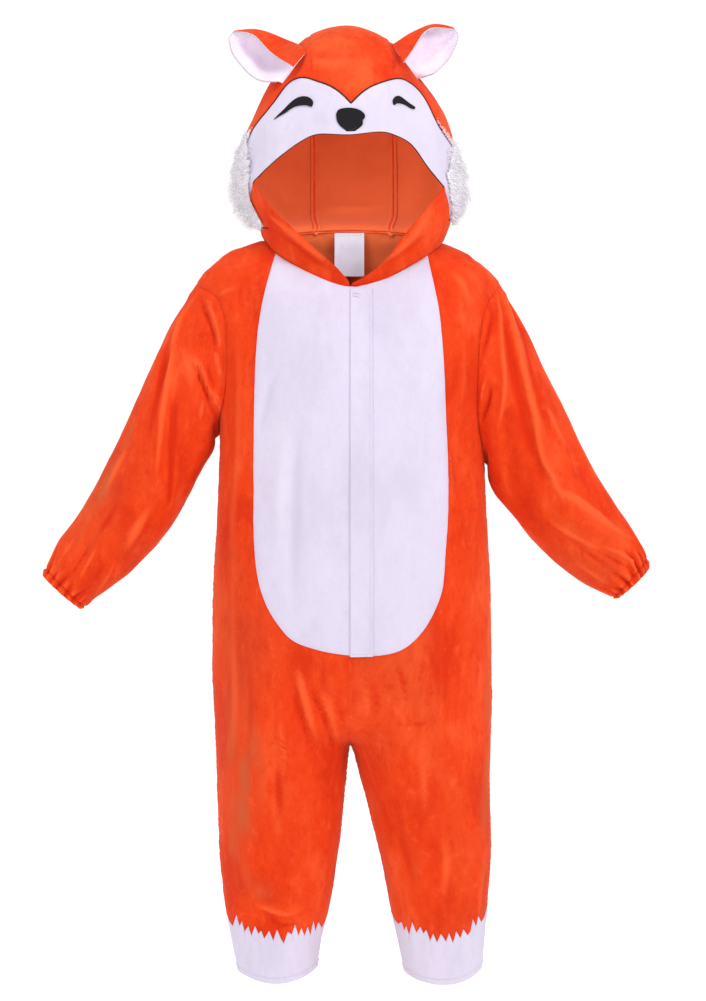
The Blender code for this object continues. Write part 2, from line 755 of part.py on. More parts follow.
def solid_of(piece, turned, parted):
    """Closed solid: skin, inner skin and rims, drawn back from each seam."""
    pts, tris = piece.pts.copy(), piece.tris
    n = piece.normals.copy()
    for at, way in drawn_back(piece).items():
        key = spot(piece.pts[at])
        n[at] = turned.get(key, n[at])
        others = [w for name, w in parted.get(key, ()) if name != piece.name]
        if others:
            way = unit(unit(way) - unit(sum(unit(w) for w in others))) * min(np.linalg.norm(way), 1.5)
        pts[at] += way * piece.trim
    outer = pts + n * piece.rise
    inner = outer - n * piece.wall
    count = len(pts)
    faces = [tuple(t) for t in tris] + [tuple(t[::-1] + count) for t in tris]
    directed = {(t[i], t[(i + 1) % 3]) for t in tris for i in range(3)}
    for loop in piece.loops:
        for a, b in zip(loop, loop[1:] + loop[:1]):
            if (a, b) not in directed:
                a, b = b, a
            # neighbours at a seam split their rims along the same diagonal
            if spot(piece.pts[a]) < spot(piece.pts[b]):
                faces += [(b, a, b + count), (a, a + count, b + count)]
            else:
                faces += [(b, a, a + count), (b, a + count, b + count)]
    return np.concatenate([outer, inner]), faces


# ------------------------------------------------------------------ seams of the body
def flat(sz):
    """(s, z) laid out flat, with the sloping shoulder drawn out to its real length."""
    sz = np.asarray(sz, float)
    return np.stack([sz[..., 0] * DOMAIN, sz[..., 1] + np.maximum(sz[..., 1] - SLOPE_FROM, 0)], -1)


def unflat(f):
    f = np.asarray(f, float)
    return np.stack([f[..., 0] / DOMAIN, f[..., 1] - np.maximum(f[..., 1] - SLOPE_FROM, 0) / 2], -1)


def spaced(sz, step):
    """A seam given densely as (s, z), again at facet spacing."""
    line = flat(sz)
    return unflat(even(line, pieces_of(line, step)))


def straight(a, b, step):
    t = np.linspace(0, 1, 50)[:, None]
    return spaced(np.array(a, float) * (1 - t) + np.array(b, float) * t, step)


def cuff_top(half, face, s):
    """Height of the white cuff's toothed top edge."""
    s = np.asarray(s, float)
    base = CUFF_TOP - CUFF_DIP * np.sin(math.pi * s) * (1.0 if face == "front" else 0.4)
    k = np.clip((s * TEETH).astype(int), 0, TEETH - 1)
    start = {"R": 0, "L": 4}[half] + {"front": 0, "back": 6}[face]
    tall = np.array(TOOTH)[(k + start) % len(TOOTH)]
    return base + tall * (1 - np.abs(2 * (s * TEETH - k) - 1))


def hem(half, face, s):
    inner, mid, outer = HEM[half, face]
    s = np.asarray(s, float)
    return inner + (outer - inner) * s + (mid - (inner + outer) / 2) * np.sin(math.pi * s) ** 2


def place(half, face, sz):
    p = body(half, face, sz[:, 0], sz[:, 1])
    p[(sz[:, 0] < 1e-6) & (sz[:, 1] > CROTCH - 1e-6), 0] = 0.0
    return p


def ends(*parts):
    """Joins stretches of seam, dropping each one's last point, which starts the next."""
    return np.concatenate([p[:-1] for p in parts])


neck = through(list(zip(*(table(NECK_FRONT)[c] for c in "uv"))), 401)
neck_mid = int(np.argmin(np.abs(neck[:, 0] - 349.9)))
S = {}     # seams of the body as (s, z), by half
for half in "RL":
    dense = neck[:neck_mid + 1][::-1] if half == "R" else neck[neck_mid:]
    sz = body_seen(half, dense)
    if half == "R":
        neck_low = sz[0, 1]
    sz[0] = (0, neck_low)
    keep = sz[:, 0] < 0.93
    sz = np.concatenate([sz[keep], [(1.0, NECK_CORNER)]])
    cut = int(np.argmin(np.abs(dense[:len(sz), 0] - BELLY_TOP[half])))
    corner = sz[cut]
    edge = [(BELLY_TOP[half], float(dense[cut, 1]))]
    edge += list(zip(*(table(BELLY_R if half == "R" else BELLY_L)[c] for c in "uv")))
    belly = body_seen(half, through(edge, 160))
    belly[0] = corner
    if half == "R":
        belly_low = belly[-1, 1]
    belly[-1] = (0, belly_low)
    s_back = np.linspace(0, 1, 81)
    back = np.stack([s_back, spline((0, .35, .7, 1), (NECK_BACK, 22.8, 16.8, NECK_CORNER))(s_back)], 1)
    x_back = np.abs(body(half, "back", back[:, 0], back[:, 1])[:, 0])
    nape = int(np.argmin(np.abs(x_back - abs(GUSSET[half][2]))))
    S[half] = {
        "neck a": spaced(sz[:cut + 1], 17), "neck b": spaced(sz[cut:], 17),
        "nape": spaced(back[:nape + 1], 17), "neck back": spaced(back[nape:], 17),
        "belly": spaced(belly, FACET * 0.8),
        "shoulder": straight((1, NECK_CORNER), (1, SHOULDER_TIP), 14),
        "side": straight((1, ARMPIT[half]), (1, cuff_top(half, "front", 1.0)), FACET),
        "inner": straight((0, cuff_top(half, "front", 0.0)), (0, CROTCH), FACET * 0.7),
        "low front": straight((0, CROTCH), (0, belly_low), FACET),
        "front": straight((0, belly_low), (0, neck_low), FACET),
        "back": straight((0, CROTCH), (0, NECK_BACK), FACET),
    }
    for face in ("front", "back"):
        rows = np.array(ARMHOLE[half, face][1:], float)
        knots = np.concatenate([[(1, SHOULDER_TIP)],
                                np.stack([share(half, rows[:, 0], rows[:, 1]), rows[:, 1]], 1),
                                [(1, ARMPIT[half])]])
        dense = through(flat(knots), 160)
        S[half]["arm " + face] = unflat(even(dense, 10))
        teeth = np.linspace(1, 0, 2 * TEETH + 1)
        S[half]["teeth " + face] = np.stack([teeth, cuff_top(half, face, teeth)], 1)

pieces = []
for half in "RL":
    word = {"R": "right", "L": "left"}[half]
    s = S[half]

    def add(name, face, outline, cloth, half=half):
        at = place(half, face, outline)
        pieces.append(laid_out(name, flat(outline), at,
                               lambda f: body(half, face, *unflat(f).T), FACET, cloth,
                               about=(0 if name.startswith("b") else SIGN[half] * 75, 0, -300)))

    add("front_" + word, "front",
        ends(s["neck b"], s["shoulder"], s["arm front"], s["side"], s["teeth front"], s["inner"],
             s["low front"], s["belly"][::-1]), "orange velour")
    add("belly_" + word, "front", ends(s["front"], s["neck a"], s["belly"]), "white velour")
    add("back_" + word, "back",
        ends(s["nape"], s["neck back"], s["shoulder"], s["arm back"], s["side"], s["teeth back"],
             s["inner"], s["back"]), "orange velour")

    # white cuff of the leg, all round
    top = [("front", a) for a in s["teeth front"][::-1]] + [("back", a) for a in s["teeth back"][1:-1]]
    rings = []
    for share_down in (0, 0.5, 1):
        ring = []
        for face, (sa, za) in top:
            z = za + (hem(half, face, sa) - za) * share_down
            ring.append(body(half, face, sa, z))
        rings.append(np.array(ring))
    middle = np.concatenate(rings).mean(0)
    pieces.append(tube("leg_cuff_" + word, rings, "white velour", about=middle))

    # sleeve
    t = table(SLEEVE_R if half == "R" else SLEEVE_L)
    col = {name: spline(t["v"], t[name]) for name in t if name != "v"}

    around = 50.0      # mean radius, and length, to lay the folds out in millimetres
    length = 380.0
    creases = Folds(FOLDS_SLEEVE_R if half == "R" else FOLDS_SLEEVE_L,
                    lambda t: np.stack([np.radians(t["angle"]) * around, t["v"] * length], 1))

    def sleeve(phi, v, col=col, creases=creases):
        mid = col["mid"](v) + 0 * phi
        o = at_depth(np.stack([col["ou"](v) + 0 * phi, col["ov"](v) + 0 * phi], -1), mid)
        i = at_depth(np.stack([col["iu"](v) + 0 * phi, col["iv"](v) + 0 * phi], -1), mid)
        p = (o + i) / 2 + (o - i) / 2 * np.cos(phi)[:, None]
        w = np.sin(phi)
        p[:, 1] = mid - w * np.where(w > 0, col["front"](v), col["back"](v))
        high = sum(creases(np.stack([(phi + turn) * around, v * length + 0 * phi], 1))
                   for turn in (-2 * math.pi, 0.0, 2 * math.pi))
        p += unit(p - (o + i) / 2) * high[:, None]
        return p

    hole = np.concatenate([place(half, "front", s["arm front"]),
                           place(half, "back", s["arm back"])[::-1][1:-1]])
    count = len(s["arm front"])
    phi = np.concatenate([np.linspace(0, math.pi, count),
                          np.linspace(math.pi, 2 * math.pi, len(s["arm back"]))[1:-1]])
    start = hole - sleeve(phi, 0.0)
    stations = (0, .05, .11, .19, .28, .37, .47, .57, .67, .77, .86, .93, 1 - CASING / 330, 1)
    rings = []
    for v in stations:
        ring = sleeve(phi, v) + start * math.exp(-((v / 0.13) ** 2))
        clear = ARMPIT_CLEAR * math.exp(-(((v - 0.07) / 0.06) ** 2)) * min(v / 0.04, 1)
        ring[:, 0] += SIGN[half] * clear * ((1 - np.cos(phi)) / 2) ** 2
        rings.append(ring)
    axis = sleeve(np.array([0, math.pi]), 0.5).mean(0)
    piece = tube("sleeve_" + word, rings, "orange velour", about=axis)
    pieces.append(piece)

# ------------------------------------------------------------------ hood pieces
loop = np.concatenate([
    place("R", "front", np.concatenate([S["R"]["neck a"][:-1], S["R"]["neck b"]])),
    place("R", "back", np.concatenate([S["R"]["nape"][:-1], S["R"]["neck back"]]))[::-1][1:],
    place("L", "back", np.concatenate([S["L"]["nape"][:-1], S["L"]["neck back"]]))[1:],
    place("L", "front", np.concatenate([S["L"]["neck a"][:-1], S["L"]["neck b"]]))[::-1][1:-1]])
ways = unit(loop - MID)
psi, chi = azimuth(ways)
reach = np.linalg.norm(loop - MID, axis=1)
order = np.argsort(psi)
psi, chi, gap = psi[order], chi[order], (reach - plain_radius(ways))[order]
NECK_LOOP["psi"] = np.r_[psi[-1] - 2 * math.pi, psi, psi[0] + 2 * math.pi]
NECK_LOOP["chi"] = np.r_[chi[-1], chi, chi[0]]
NECK_LOOP["step"] = np.r_[gap[-1], gap, gap[0]]


def seam_on_hood(uv, step=HOOD_FACET * 0.75):
    """Directions of a seam drawn on the front of the hood, at facet spacing."""
    d = hood_seen(through(uv, 90))
    return d


def respaced(d, step=HOOD_FACET * 0.75):
    p = hood(d)
    t = np.r_[0, np.cumsum(np.linalg.norm(np.diff(p, axis=0), axis=1))]
    w = np.linspace(0, t[-1], max(2, int(round(t[-1] / step)) + 1))
    return unit(np.stack([np.interp(w, t, d[:, i]) for i in range(3)], 1))


top_r, top_l = seam_on_hood(FACE_TOP_R), seam_on_hood(FACE_TOP_L)
top_l[0] = top_r[-1]
join_r = int(np.argmin(np.abs(hood(top_r)[:, 0] - GUSSET["R"][0]) + (np.arange(90) < 25) * 999))
join_l = int(np.argmin(np.abs(hood(top_l)[:, 0] - GUSSET["L"][0]) + (np.arange(90) > 65) * 999))
face_edge = seam_on_hood(FACE_EDGE)
cheek, side, band = {}, {}, {}
for half, cheek_uv, side_yz, band_uv in (("R", CHEEK_SEAM_R, CHEEK_SIDE_R, BAND_EDGE_R),
                                         ("L", CHEEK_SEAM_L, CHEEK_SIDE_L, BAND_EDGE_L)):
    corner = face_edge[0] if half == "R" else face_edge[-1]
    cheek[half] = seam_on_hood(cheek_uv)
    cheek[half][0] = corner
    band[half] = seam_on_hood(band_uv)
    band[half][0] = corner
    first, last = (top_r[0] if half == "R" else top_l[-1]), cheek[half][-1]
    way = np.concatenate([[hood(first[None])[0, 1:]], side_yz, [hood(last[None])[0, 1:]]])
    side[half] = hood_side(half, through(way, 90))
    side[half][0], side[half][-1] = first, last
D = {
    "top r side": respaced(top_r[:join_r + 1]), "top r mid": respaced(top_r[join_r:]),
    "top l mid": respaced(top_l[:join_l + 1]), "top l side": respaced(top_l[join_l:]),
    "face edge": respaced(face_edge),
}
for half in "RL":
    D["cheek " + half], D["side " + half], D["band " + half] = (
        respaced(x[half]) for x in (cheek, side, band))


def gusset_seam(half, first, last):
    """Directions of the seam between the centre and a side, from the face over the crown."""
    def turn(d):
        p = hood(d[None])[0]
        a = math.atan2(p[2] - MID[2], -p[1])
        return (a if a > -math.pi / 2 else a + 2 * math.pi), p[0]
    (a0, x0), (a1, x1) = turn(first), turn(last)
    across = steady((a0, math.pi / 2, math.pi, a1), (x0, GUSSET[half][1], GUSSET[half][2], x1))
    a = np.linspace(a0, a1, 120)
    x = across(a)
    start = np.stack([x, 0 * x, 0 * x + MID[2]], 1)
    way = np.stack([0 * a, -np.cos(a), np.sin(a)], 1)
    p = start + way * along(start, way, 2.0, 300.0)[:, None]
    d = unit(p - MID)
    d[0], d[-1] = first, last
    return respaced(d, HOOD_FACET)


neck_at = {}       # points of the neck seam in space, by stretch
for half in "RL":
    for stretch, face in (("neck a", "front"), ("neck b", "front"), ("nape", "back"), ("neck back", "back")):
        neck_at[half, stretch] = place(half, face, S[half][stretch])
D["gusset R"] = gusset_seam("R", D["top r mid"][0], unit(neck_at["R", "nape"][-1] - MID))
D["gusset L"] = gusset_seam("L", D["top l mid"][-1], unit(neck_at["L", "nape"][-1] - MID))


def hood_piece(name, stretches, lay, unlay, cloth, step=HOOD_FACET):
    """stretches: directions, or points of the neck seam in space."""
    ways, at = [], []
    for kind, value in stretches:
        value = value[:-1]
        if kind == "space":
            ways.append(unit(value - MID))
            at.append(value)
        else:
            ways.append(value)
            at.append(hood(value))
    outline = lay(np.concatenate(ways))
    pieces.append(laid_out(name, outline, np.concatenate(at), lambda f: hood(unlay(f)), step, cloth,
                           about=MID))


def side_stretches(half):
    r = half == "R"
    top = D["top r side"][::-1] if r else D["top l side"]
    low = np.stack([D["band " + half][-1], unit(neck_at[half, "neck a"][:1] - MID)[0]])
    return [("way", top), ("way", D["side " + half]), ("way", D["cheek " + half][::-1]),
            ("way", D["band " + half]), ("way", low),
            ("space", neck_at[half, "neck a"]), ("space", neck_at[half, "neck b"]),
            ("space", neck_at[half, "neck back"][::-1]), ("way", D["gusset " + half][::-1])]


for half in "RL":
    axis = ("side", SIGN[half])
    hood_piece("hood_side_" + {"R": "right", "L": "left"}[half], side_stretches(half),
               lambda d, axis=axis: flat_about(axis, d), lambda f, axis=axis: from_flat_about(axis, f),
               "orange velour")
hood_piece("hood_center",
           [("way", D["top r mid"]), ("way", D["top l mid"]), ("way", D["gusset L"]),
            ("space", neck_at["L", "nape"][::-1]), ("space", neck_at["R", "nape"]),
            ("way", D["gusset R"][::-1])], flat_crown, from_flat_crown, "orange velour")
hood_piece("face_mask",
           [("way", D["top r side"]), ("way", D["top r mid"]), ("way", D["top l mid"]),
            ("way", D["top l side"]), ("way", D["side L"]), ("way", D["cheek L"][::-1]),
            ("way", D["face edge"][::-1]), ("way", D["cheek R"]), ("way", D["side R"][::-1])],
           lambda d: flat_about(("front", 1), d), lambda f: from_flat_about(("front", 1), f),
           "white velour", step=HOOD_FACET * 0.8)

# eyes and nose lie on the face
for name, outline in (("eye_right", EYE_R), ("eye_left", EYE_L), ("nose", NOSE)):
    closed = through(list(outline) + [outline[0]], 23)[:-1]
    ways = hood_seen(closed)
    pieces.append(laid_out(name, flat_about(("front", 1), ways), hood(ways),
                           lambda f: hood(from_flat_about(("front", 1), f)), 8.0, "black satin",
                           wall=1.2, rise=1.6, about=MID))

# placket on the left half of the belly
z = np.linspace(belly_low - 1.5, neck_low - 3.0, 16)
strip = [np.stack([share("L", np.full(16, x), z), z], 1) for x in PLACKET]
across = np.linspace(0, 1, 3)[1:-1, None]
outline = np.concatenate([strip[1], strip[1][-1] + (strip[0][-1] - strip[1][-1]) * across, strip[0][::-1],
                          strip[0][0] + (strip[1][0] - strip[0][0]) * across])
pieces.append(laid_out("placket", flat(outline), place("L", "front", outline),
                       lambda f: body("L", "front", *unflat(f).T), 20.0, "white velour",
                       wall=PLACKET_WALL, rise=PLACKET_WALL + 0.5, about=(0, 0, -300)))

# label inside the back of the neck
x0, x1, z1, z0 = LABEL
outline = np.array([(x0, z0), ((x0 + x1) / 2, z0), (x1, z0), (x1, (z0 + z1) / 2), (x1, z1),
                    ((x0 + x1) / 2, z1), (x0, z1), (x0, (z0 + z1) / 2)])


def label_at(f):
    down = (z1 - f[:, 1]) / (z1 - z0)
    return np.stack([f[:, 0], LABEL_DEPTH - 4.0 * down**2 - 8.0 * (1 - down), f[:, 1]], 1)


pieces.append(laid_out("care_label", outline, label_at(outline), label_at, 12.0, "white tape",
                       wall=1.0, about=(0, 300, 0)))


# ears: one curled sheet each, orange outside and white inside
def hood_normal(d):
    e = 0.02
    d = unit(d)
    a = unit(np.cross(d, (0.3, 0.9, 0.1)))
    b = np.cross(d, a)
    n = np.cross(hood(d + a * e) - hood(d - a * e), hood(d + b * e) - hood(d - b * e))
    return unit(n * np.sign((n * d).sum(1, keepdims=True)))


EAR_ACROSS = (0, .3, .58, .8, 1)
EAR_ROLL = 12.5       # the rolled margin's root stands this far off the hood


def ear_rows(text):
    """Five points across the ear at each distance from its root."""
    t = table(text)
    rows = []
    for i in range(len(t["s"])):
        l, f, g = (np.array((t[a][i], t[b][i])) for a, b in (("lu", "lv"), ("tu", "tv"), ("fu", "fv")))
        uv = np.array([l, l + 0.34 * (f - l), l + 0.74 * (f - l), f, g])
        if i == 0:
            d = hood_seen(uv)
            n = hood_normal(d)
            root = hood(d) + n * np.array([4, 3.5, 3.5, 4.5, 0])[:, None]
            ahead = unit(SIGHT - root[-1])
            root[-1] += ahead * EAR_ROLL / (ahead @ n[-1])
            rows.append(root)
        else:
            y = np.array([t["yl"][i], t["yb"][i], t["yb"][i] + 1, t["yt"][i], t["yf"][i]])
            rows.append(at_depth(uv, y))
    return t["s"], np.array(rows)


for half, text in (("R", EAR_R), ("L", EAR_L)):
    word = {"R": "right", "L": "left"}[half]
    s_rows, rows = ear_rows(text)
    down = spline(s_rows, rows.reshape(len(s_rows), -1))
    u = np.linspace(0, 1, 8)
    w = np.array([0, .12, .25, .39, .52, .63, .71, .77, .82, .87, .93, 1])
    grid = np.array([spline(EAR_ACROSS, r)(w) for r in down(u).reshape(len(u), 5, 3)])
    n, m = len(u), len(w)
    tris = []
    for i in range(n - 1):
        for j in range(m - 1):
            a = i * m + j
            tris += [(a, a + m, a + m + 1), (a, a + m + 1, a + 1)]
    rim = ([j for j in range(m)] + [i * m + m - 1 for i in range(1, n)]
           + [(n - 1) * m + j for j in range(m - 2, -1, -1)] + [i * m for i in range(n - 2, 0, -1)])
    pts = grid.reshape(-1, 3)
    hollow = (grid[:, 0] + grid[:, -1]).mean(0) / 2
    pieces.append(Piece("ear_back_" + word, pts, np.array(tris), [rim], "orange velour",
                        wall=EAR_WALL, rise=EAR_WALL + SEAM, about=hollow))
    pieces.append(Piece("ear_inner_" + word, pts, np.array(tris), [rim], "white velour",
                        wall=EAR_WALL, rise=-SEAM, about=hollow))


# ------------------------------------------------------------------ solids
# Where pieces meet, both walls are turned the same way, midway between their surfaces.
SURFACE = {"sleeve": "sleeve", "hood": "hood", "face": "hood", "ear": None, "eye": None, "nose": None,
           "placket": None, "care": None}
seen, parted = {}, {}
for piece in pieces:
    surface = SURFACE.get(piece.name.split("_")[0], "body")
    if surface:
        for at, way in drawn_back(piece).items():
            key = spot(piece.pts[at])
            seen.setdefault(key, {}).setdefault(surface, []).append(piece.normals[at])
            parted.setdefault(key, []).append((piece.name, way))
turned = {key: unit(sum(unit(sum(n)) for n in found.values())) for key, found in seen.items()}

for old in list(bpy.data.objects):
    bpy.data.objects.remove(old, do_unlink=True)
costume = bpy.data.collections.new("fox_onesie")
bpy.context.scene.collection.children.link(costume)
cloths = {}
for name, (colour, rough) in COLOURS.items():
    m = bpy.data.materials.new(name)
    m.use_nodes = True
    shader = m.node_tree.nodes["Principled BSDF"]
    shader.inputs["Base Color"].default_value = (*colour, 1)
    shader.inputs["Roughness"].default_value = rough
    shader.inputs["Metallic"].default_value = 0
    cloths[name] = m


def make(name, pts, faces, cloth):
    mesh = bpy.data.meshes.new(name)
    mesh.from_pydata((np.asarray(pts) * 0.001).tolist(), [], [tuple(int(i) for i in f) for f in faces])
    mesh.materials.append(cloths[cloth])
    mesh.update()
    mesh.shade_smooth()
    obj = bpy.data.objects.new(name, mesh)
    costume.objects.link(obj)
    return obj


for piece in pieces:
    pts, faces = solid_of(piece, turned, parted)
    make(piece.name, pts, faces, piece.cloth)

# fur along the outer edge of the face: a plain solid of its reach
FUR = """
   at  reachR  reachL
    0       5       5
  .13      11       9
  .27      17      13
   .4      21      16
  .53      21      16
  .66      18      13
  .78      14      10
   .9       9       7
    1       4       4
"""
f = table(FUR)
for half in "RL":
    line = side[half]
    p_line = hood(line)
    t = np.r_[0, np.cumsum(np.linalg.norm(np.diff(p_line, axis=0), axis=1))]
    t /= t[-1]
    rows = []
    for at, r in zip(0.03 + f["at"] * 0.94, f["reach" + half]):
        d = unit(np.array([np.interp(at, t, line[:, i]) for i in range(3)]))[None]
        ahead = unit(np.array([np.interp(min(at + 0.04, 1), t, line[:, i]) for i in range(3)]))[None]
        p, n = hood(d)[0], hood_normal(d)[0]
        lengthwise = unit(hood(ahead)[0] - p)
        b = unit(np.cross(n, lengthwise))
        b = b if b[1] < 0 else -b          # towards the front
        width = min(13.0, 4 + r * 0.6)

        def skin(off, up):
            q = unit(p + b * off - MID)[None]
            return hood(q)[0] + hood_normal(q)[0] * up
        tip = p + n * (r + 0.9) + np.array((0, 0, -0.35 * r))
        rows.append([skin(width, 1.0), skin(width * 0.75, 1.0 + 0.5 * r), tip,
                     skin(-width * 0.6, 1.0 + 0.5 * r), skin(-width * 0.8, 1.0), skin(0, 1.0)])
    n_sec = 6
    pts = [q for row in rows for q in row]
    faces = []
    for i in range(len(rows) - 1):
        for j in range(n_sec):
            a, b2 = i * n_sec + j, i * n_sec + (j + 1) % n_sec
            faces.append((a, b2, b2 + n_sec, a + n_sec))
    faces += [tuple(range(n_sec))[::-1], tuple(range(len(pts) - n_sec, len(pts)))]
    arr = np.array(pts)
    obj = make("fur_" + {"R": "right", "L": "left"}[half], arr, faces, "white fur")
    volume = 0.0
    for face in faces:
        for k in range(1, len(face) - 1):
            volume += np.dot(arr[face[0]], np.cross(arr[face[k]], arr[face[k + 1]]))
    if volume < 0:
        obj.data.flip_normals()
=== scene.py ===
"""Looks of the child's hooded fox costume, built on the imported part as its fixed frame.

Frame: millimetres in the tables and in the making, metres in the scene. +X is the wearer's left,
+Y the back, +Z up, origin between the shoulders. "R" is the wearer's right half, "L" the left.

Each cut piece is a thin closed shell: its skin lies on the same master surfaces as the solids
(body and legs, sleeves, hood, ears), then its creases, seams and unevenness are pushed in or out.
"""
import json
import math

import bpy
import numpy as np
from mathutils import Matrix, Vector
from mathutils.geometry import delaunay_2d_cdt
from mathutils.kdtree import KDTree

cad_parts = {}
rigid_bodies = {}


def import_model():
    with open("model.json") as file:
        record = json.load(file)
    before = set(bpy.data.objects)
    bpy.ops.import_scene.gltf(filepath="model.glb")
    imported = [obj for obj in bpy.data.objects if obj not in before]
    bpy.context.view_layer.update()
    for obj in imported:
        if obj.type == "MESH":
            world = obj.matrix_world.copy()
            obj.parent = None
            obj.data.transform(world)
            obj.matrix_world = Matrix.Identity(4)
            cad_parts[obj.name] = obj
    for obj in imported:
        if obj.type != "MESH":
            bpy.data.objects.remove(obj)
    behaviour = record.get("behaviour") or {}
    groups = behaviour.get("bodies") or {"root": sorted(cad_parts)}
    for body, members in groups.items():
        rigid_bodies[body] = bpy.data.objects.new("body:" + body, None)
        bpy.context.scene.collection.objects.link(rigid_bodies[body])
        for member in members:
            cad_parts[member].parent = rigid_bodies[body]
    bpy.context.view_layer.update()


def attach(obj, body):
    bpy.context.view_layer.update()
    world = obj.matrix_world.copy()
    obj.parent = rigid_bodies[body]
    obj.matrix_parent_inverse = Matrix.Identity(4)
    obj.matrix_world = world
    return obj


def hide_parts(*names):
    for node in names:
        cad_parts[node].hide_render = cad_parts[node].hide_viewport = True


for old in list(bpy.data.objects):
    bpy.data.objects.remove(old, do_unlink=True)
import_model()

# ------------------------------------------------------------------ named sizes (mm)
WALL = 1.4            # cloth wall of velour panels
SEAM = 0.03           # half of the gap at a seam
FACET = 3.8           # mesh size on the body
HOOD_FACET = 3.4
EAR_WALL = 1.0        # each of an ear's two layers
UNIT = 1.15           # one unit of the front drawing
SHEET_MID = (353.0, 500.5)
SIGHT = (3.45, -3000.0, -288.1)   # where the front drawing is sighted from
HOOD_MID = (0.0, 0.0, 108.0)      # middle of the hood's hollow
DOMAIN = 170.0        # width given to one half panel when it is laid out flat
SLOPE_FROM = -60.0    # the shoulder slopes above this height
HOOD_R = 110.0        # radius used when a hood piece is laid out flat
SIGN = {"R": -1.0, "L": 1.0}

# Body and legs by height. out: side of each half; gap: inner leg as a share of out (below 0: none)
# front, back: depth from the side seam; n: roundness of the section.
BODY = """
   z  outR  outL   gapR   gapL front back   n
  30    80    80     -1     -1    29   44  2.0
  24    84    84     -1     -1    32   46  2.0
  10    98    98     -1     -1    38   52  2.0
   0   133   125     -1     -1    47   57  2.0
 -12   151   144     -1     -1    56   61  2.0
 -23   164   158     -1     -1    62   65  2.05
 -41   174   169     -1     -1    70   70  2.1
 -80   172   168     -1     -1    84   79  2.15
-125   162   160     -1     -1    95   85  2.2
-180   152   153     -1     -1   101   87  2.25
-241 150.5 153.5     -1     -1   104   86  2.25
-320   154   158     -1     -1   106   85  2.25
-402   157   162     -1     -1   106   90  2.25
-460 157.5   163  -.985  -.985   103   98  2.25
-520 155.5   163   -.62   -.62    94   98  2.2
-566   153   162      0      0    86   92  2.15
-610   152 161.5   .038   .085    79   86  2.1
-680 149.5   162   .086   .187    68   74  2.1
-745   143   158    .16   .275    57   62  2.1
-800 134.5   154    .25    .36    49   52  2.05
-845   124   150   .315    .43    44   46  2.0
"""
CROTCH = -566.0
NECK_CORNER = 10.0    # height of the shoulder and neck corner
SHOULDER_TIP = -40.0
NECK_BACK = 25.0      # height of the neck seam at the centre back

# Neck edge on the front, wearer's right to left, in drawing units.
NECK_FRONT = """
  u     v
266   241
276 253.5
296   266
315 275.5
334   283
351 286.4
372   283
391 276.4
410.5 266
427.7 255.4
443   243
"""
BELLY_TOP = {"R": 276.0, "L": 427.7}
# Side edge of the belly panel, top to bottom, in drawing units.
BELLY_R = """
  u   v
268 280
262 305
258 330
255 370
253.5 440
253 500
255 560
259 585
266 606
277 624
292 640
310 648
330 653
350 655.5
"""
BELLY_L = """
  u   v
433 280
438 305
441 330
444 370
446.5 420
448.5 480
447.5 530
445 560
443 585
438 603
430 620
418 637
402 650
385 655
367 656.5
350 655.5
"""
# Armholes: side and height of points on the seam.
ARMHOLE = {
    ("R", "front"): (("x", "z"), (158, -52), (146, -68), (140.5, -90), (139.5, -130), (142.5, -174)),
    ("R", "back"): (("x", "z"), (160, -54), (150, -74), (145, -105), (144, -150), (147, -186)),
    ("L", "front"): (("x", "z"), (158, -62), (150, -88), (145.5, -130), (144.5, -176), (148, -214)),
    ("L", "back"): (("x", "z"), (160, -60), (151, -84), (147, -130), (147, -180), (149.5, -216)),
}
ARMPIT = {"R": -209.0, "L": -243.0}

# Sleeves: outer and inner outline of each section in drawing units, half depths, and depth's middle.
SLEEVE_R = """
  v   ou    ov    iu    iv front back   mid
  0  198   281   222   432    50   46     0
 .1  178   311   216   442    54   50     0
 .2  162   344   208   459    55   52    -1
.32  144   382   197   480    53   51    -3
.45  127   422   183   508    50   49    -6
.58  109   459   163   538    46   46    -9
 .7   90   495   140   563    42   42   -12
.81   71   525   114   586    37   37   -15
 .9   57   545    96   598    32   32   -17
.96   50   563    87   603    26   26   -18
  1   46   575    80   606    24   24   -19
"""
SLEEVE_L = """
  v   ou    ov    iu    iv front back   mid
  0  497   281   484   462    48   44     0
 .1  511   303   486   471    54   50     0
 .2  526   330   490   483    56   53    -1
.32  544   367   498   497    55   53    -3
.45  562   404   511   514    52   51    -6
.58  580   443   528   535    48   48    -9
 .7  600   480   549   556    43   43   -12
.81  619   509   573   576    38   38   -15
 .9  637   536   597   590    32   32   -17
.96  646   556   615   598    26   26   -18
  1  650   573   625   602    24   24   -19
"""
# Largest folds. fold: number of the fold, a row for each point of its line; wide: half width and
# high: height in mm (below 0: a trough). Body folds run in drawing units, sleeve folds by the angle
# from the outer edge towards the front and the share of the sleeve's length.
FOLDS_FRONT = """
fold   u    v  wide high
   1 287  345    14 -1.5
   1 266  405    16 -3.5
   1 260  470    15 -3.0
   1 264  530    13 -1.5
   2 296  440    15 -2.0
   2 294  540    16 -3.0
   2 302  632    13 -1.5
   3 236  330    14  1.5
   3 239  420    16  3.0
   3 234  520    15  1.5
   4 300  655    15 -1.5
   4 318  700    15 -4.5
   4 338  756    12 -2.0
   5 404  668    15 -1.5
   5 383  706    15 -4.0
   5 362  750    12 -2.0
   6 262  690    17  1.5
   6 290  740    17  4.0
   6 326  790    13  2.0
   7 448  690    17  1.5
   7 420  735    16  3.5
   7 384  785    13  2.0
   8 466  330    15 -1.5
   8 462  420    16 -3.0
   8 468  510    14 -1.5
   9 255  800    17 -1.5
   9 268  860    18 -3.5
   9 262  905    14 -1.5
  10 452  790    17 -1.5
  10 440  850    18 -3.5
  10 446  905    14 -1.5
"""
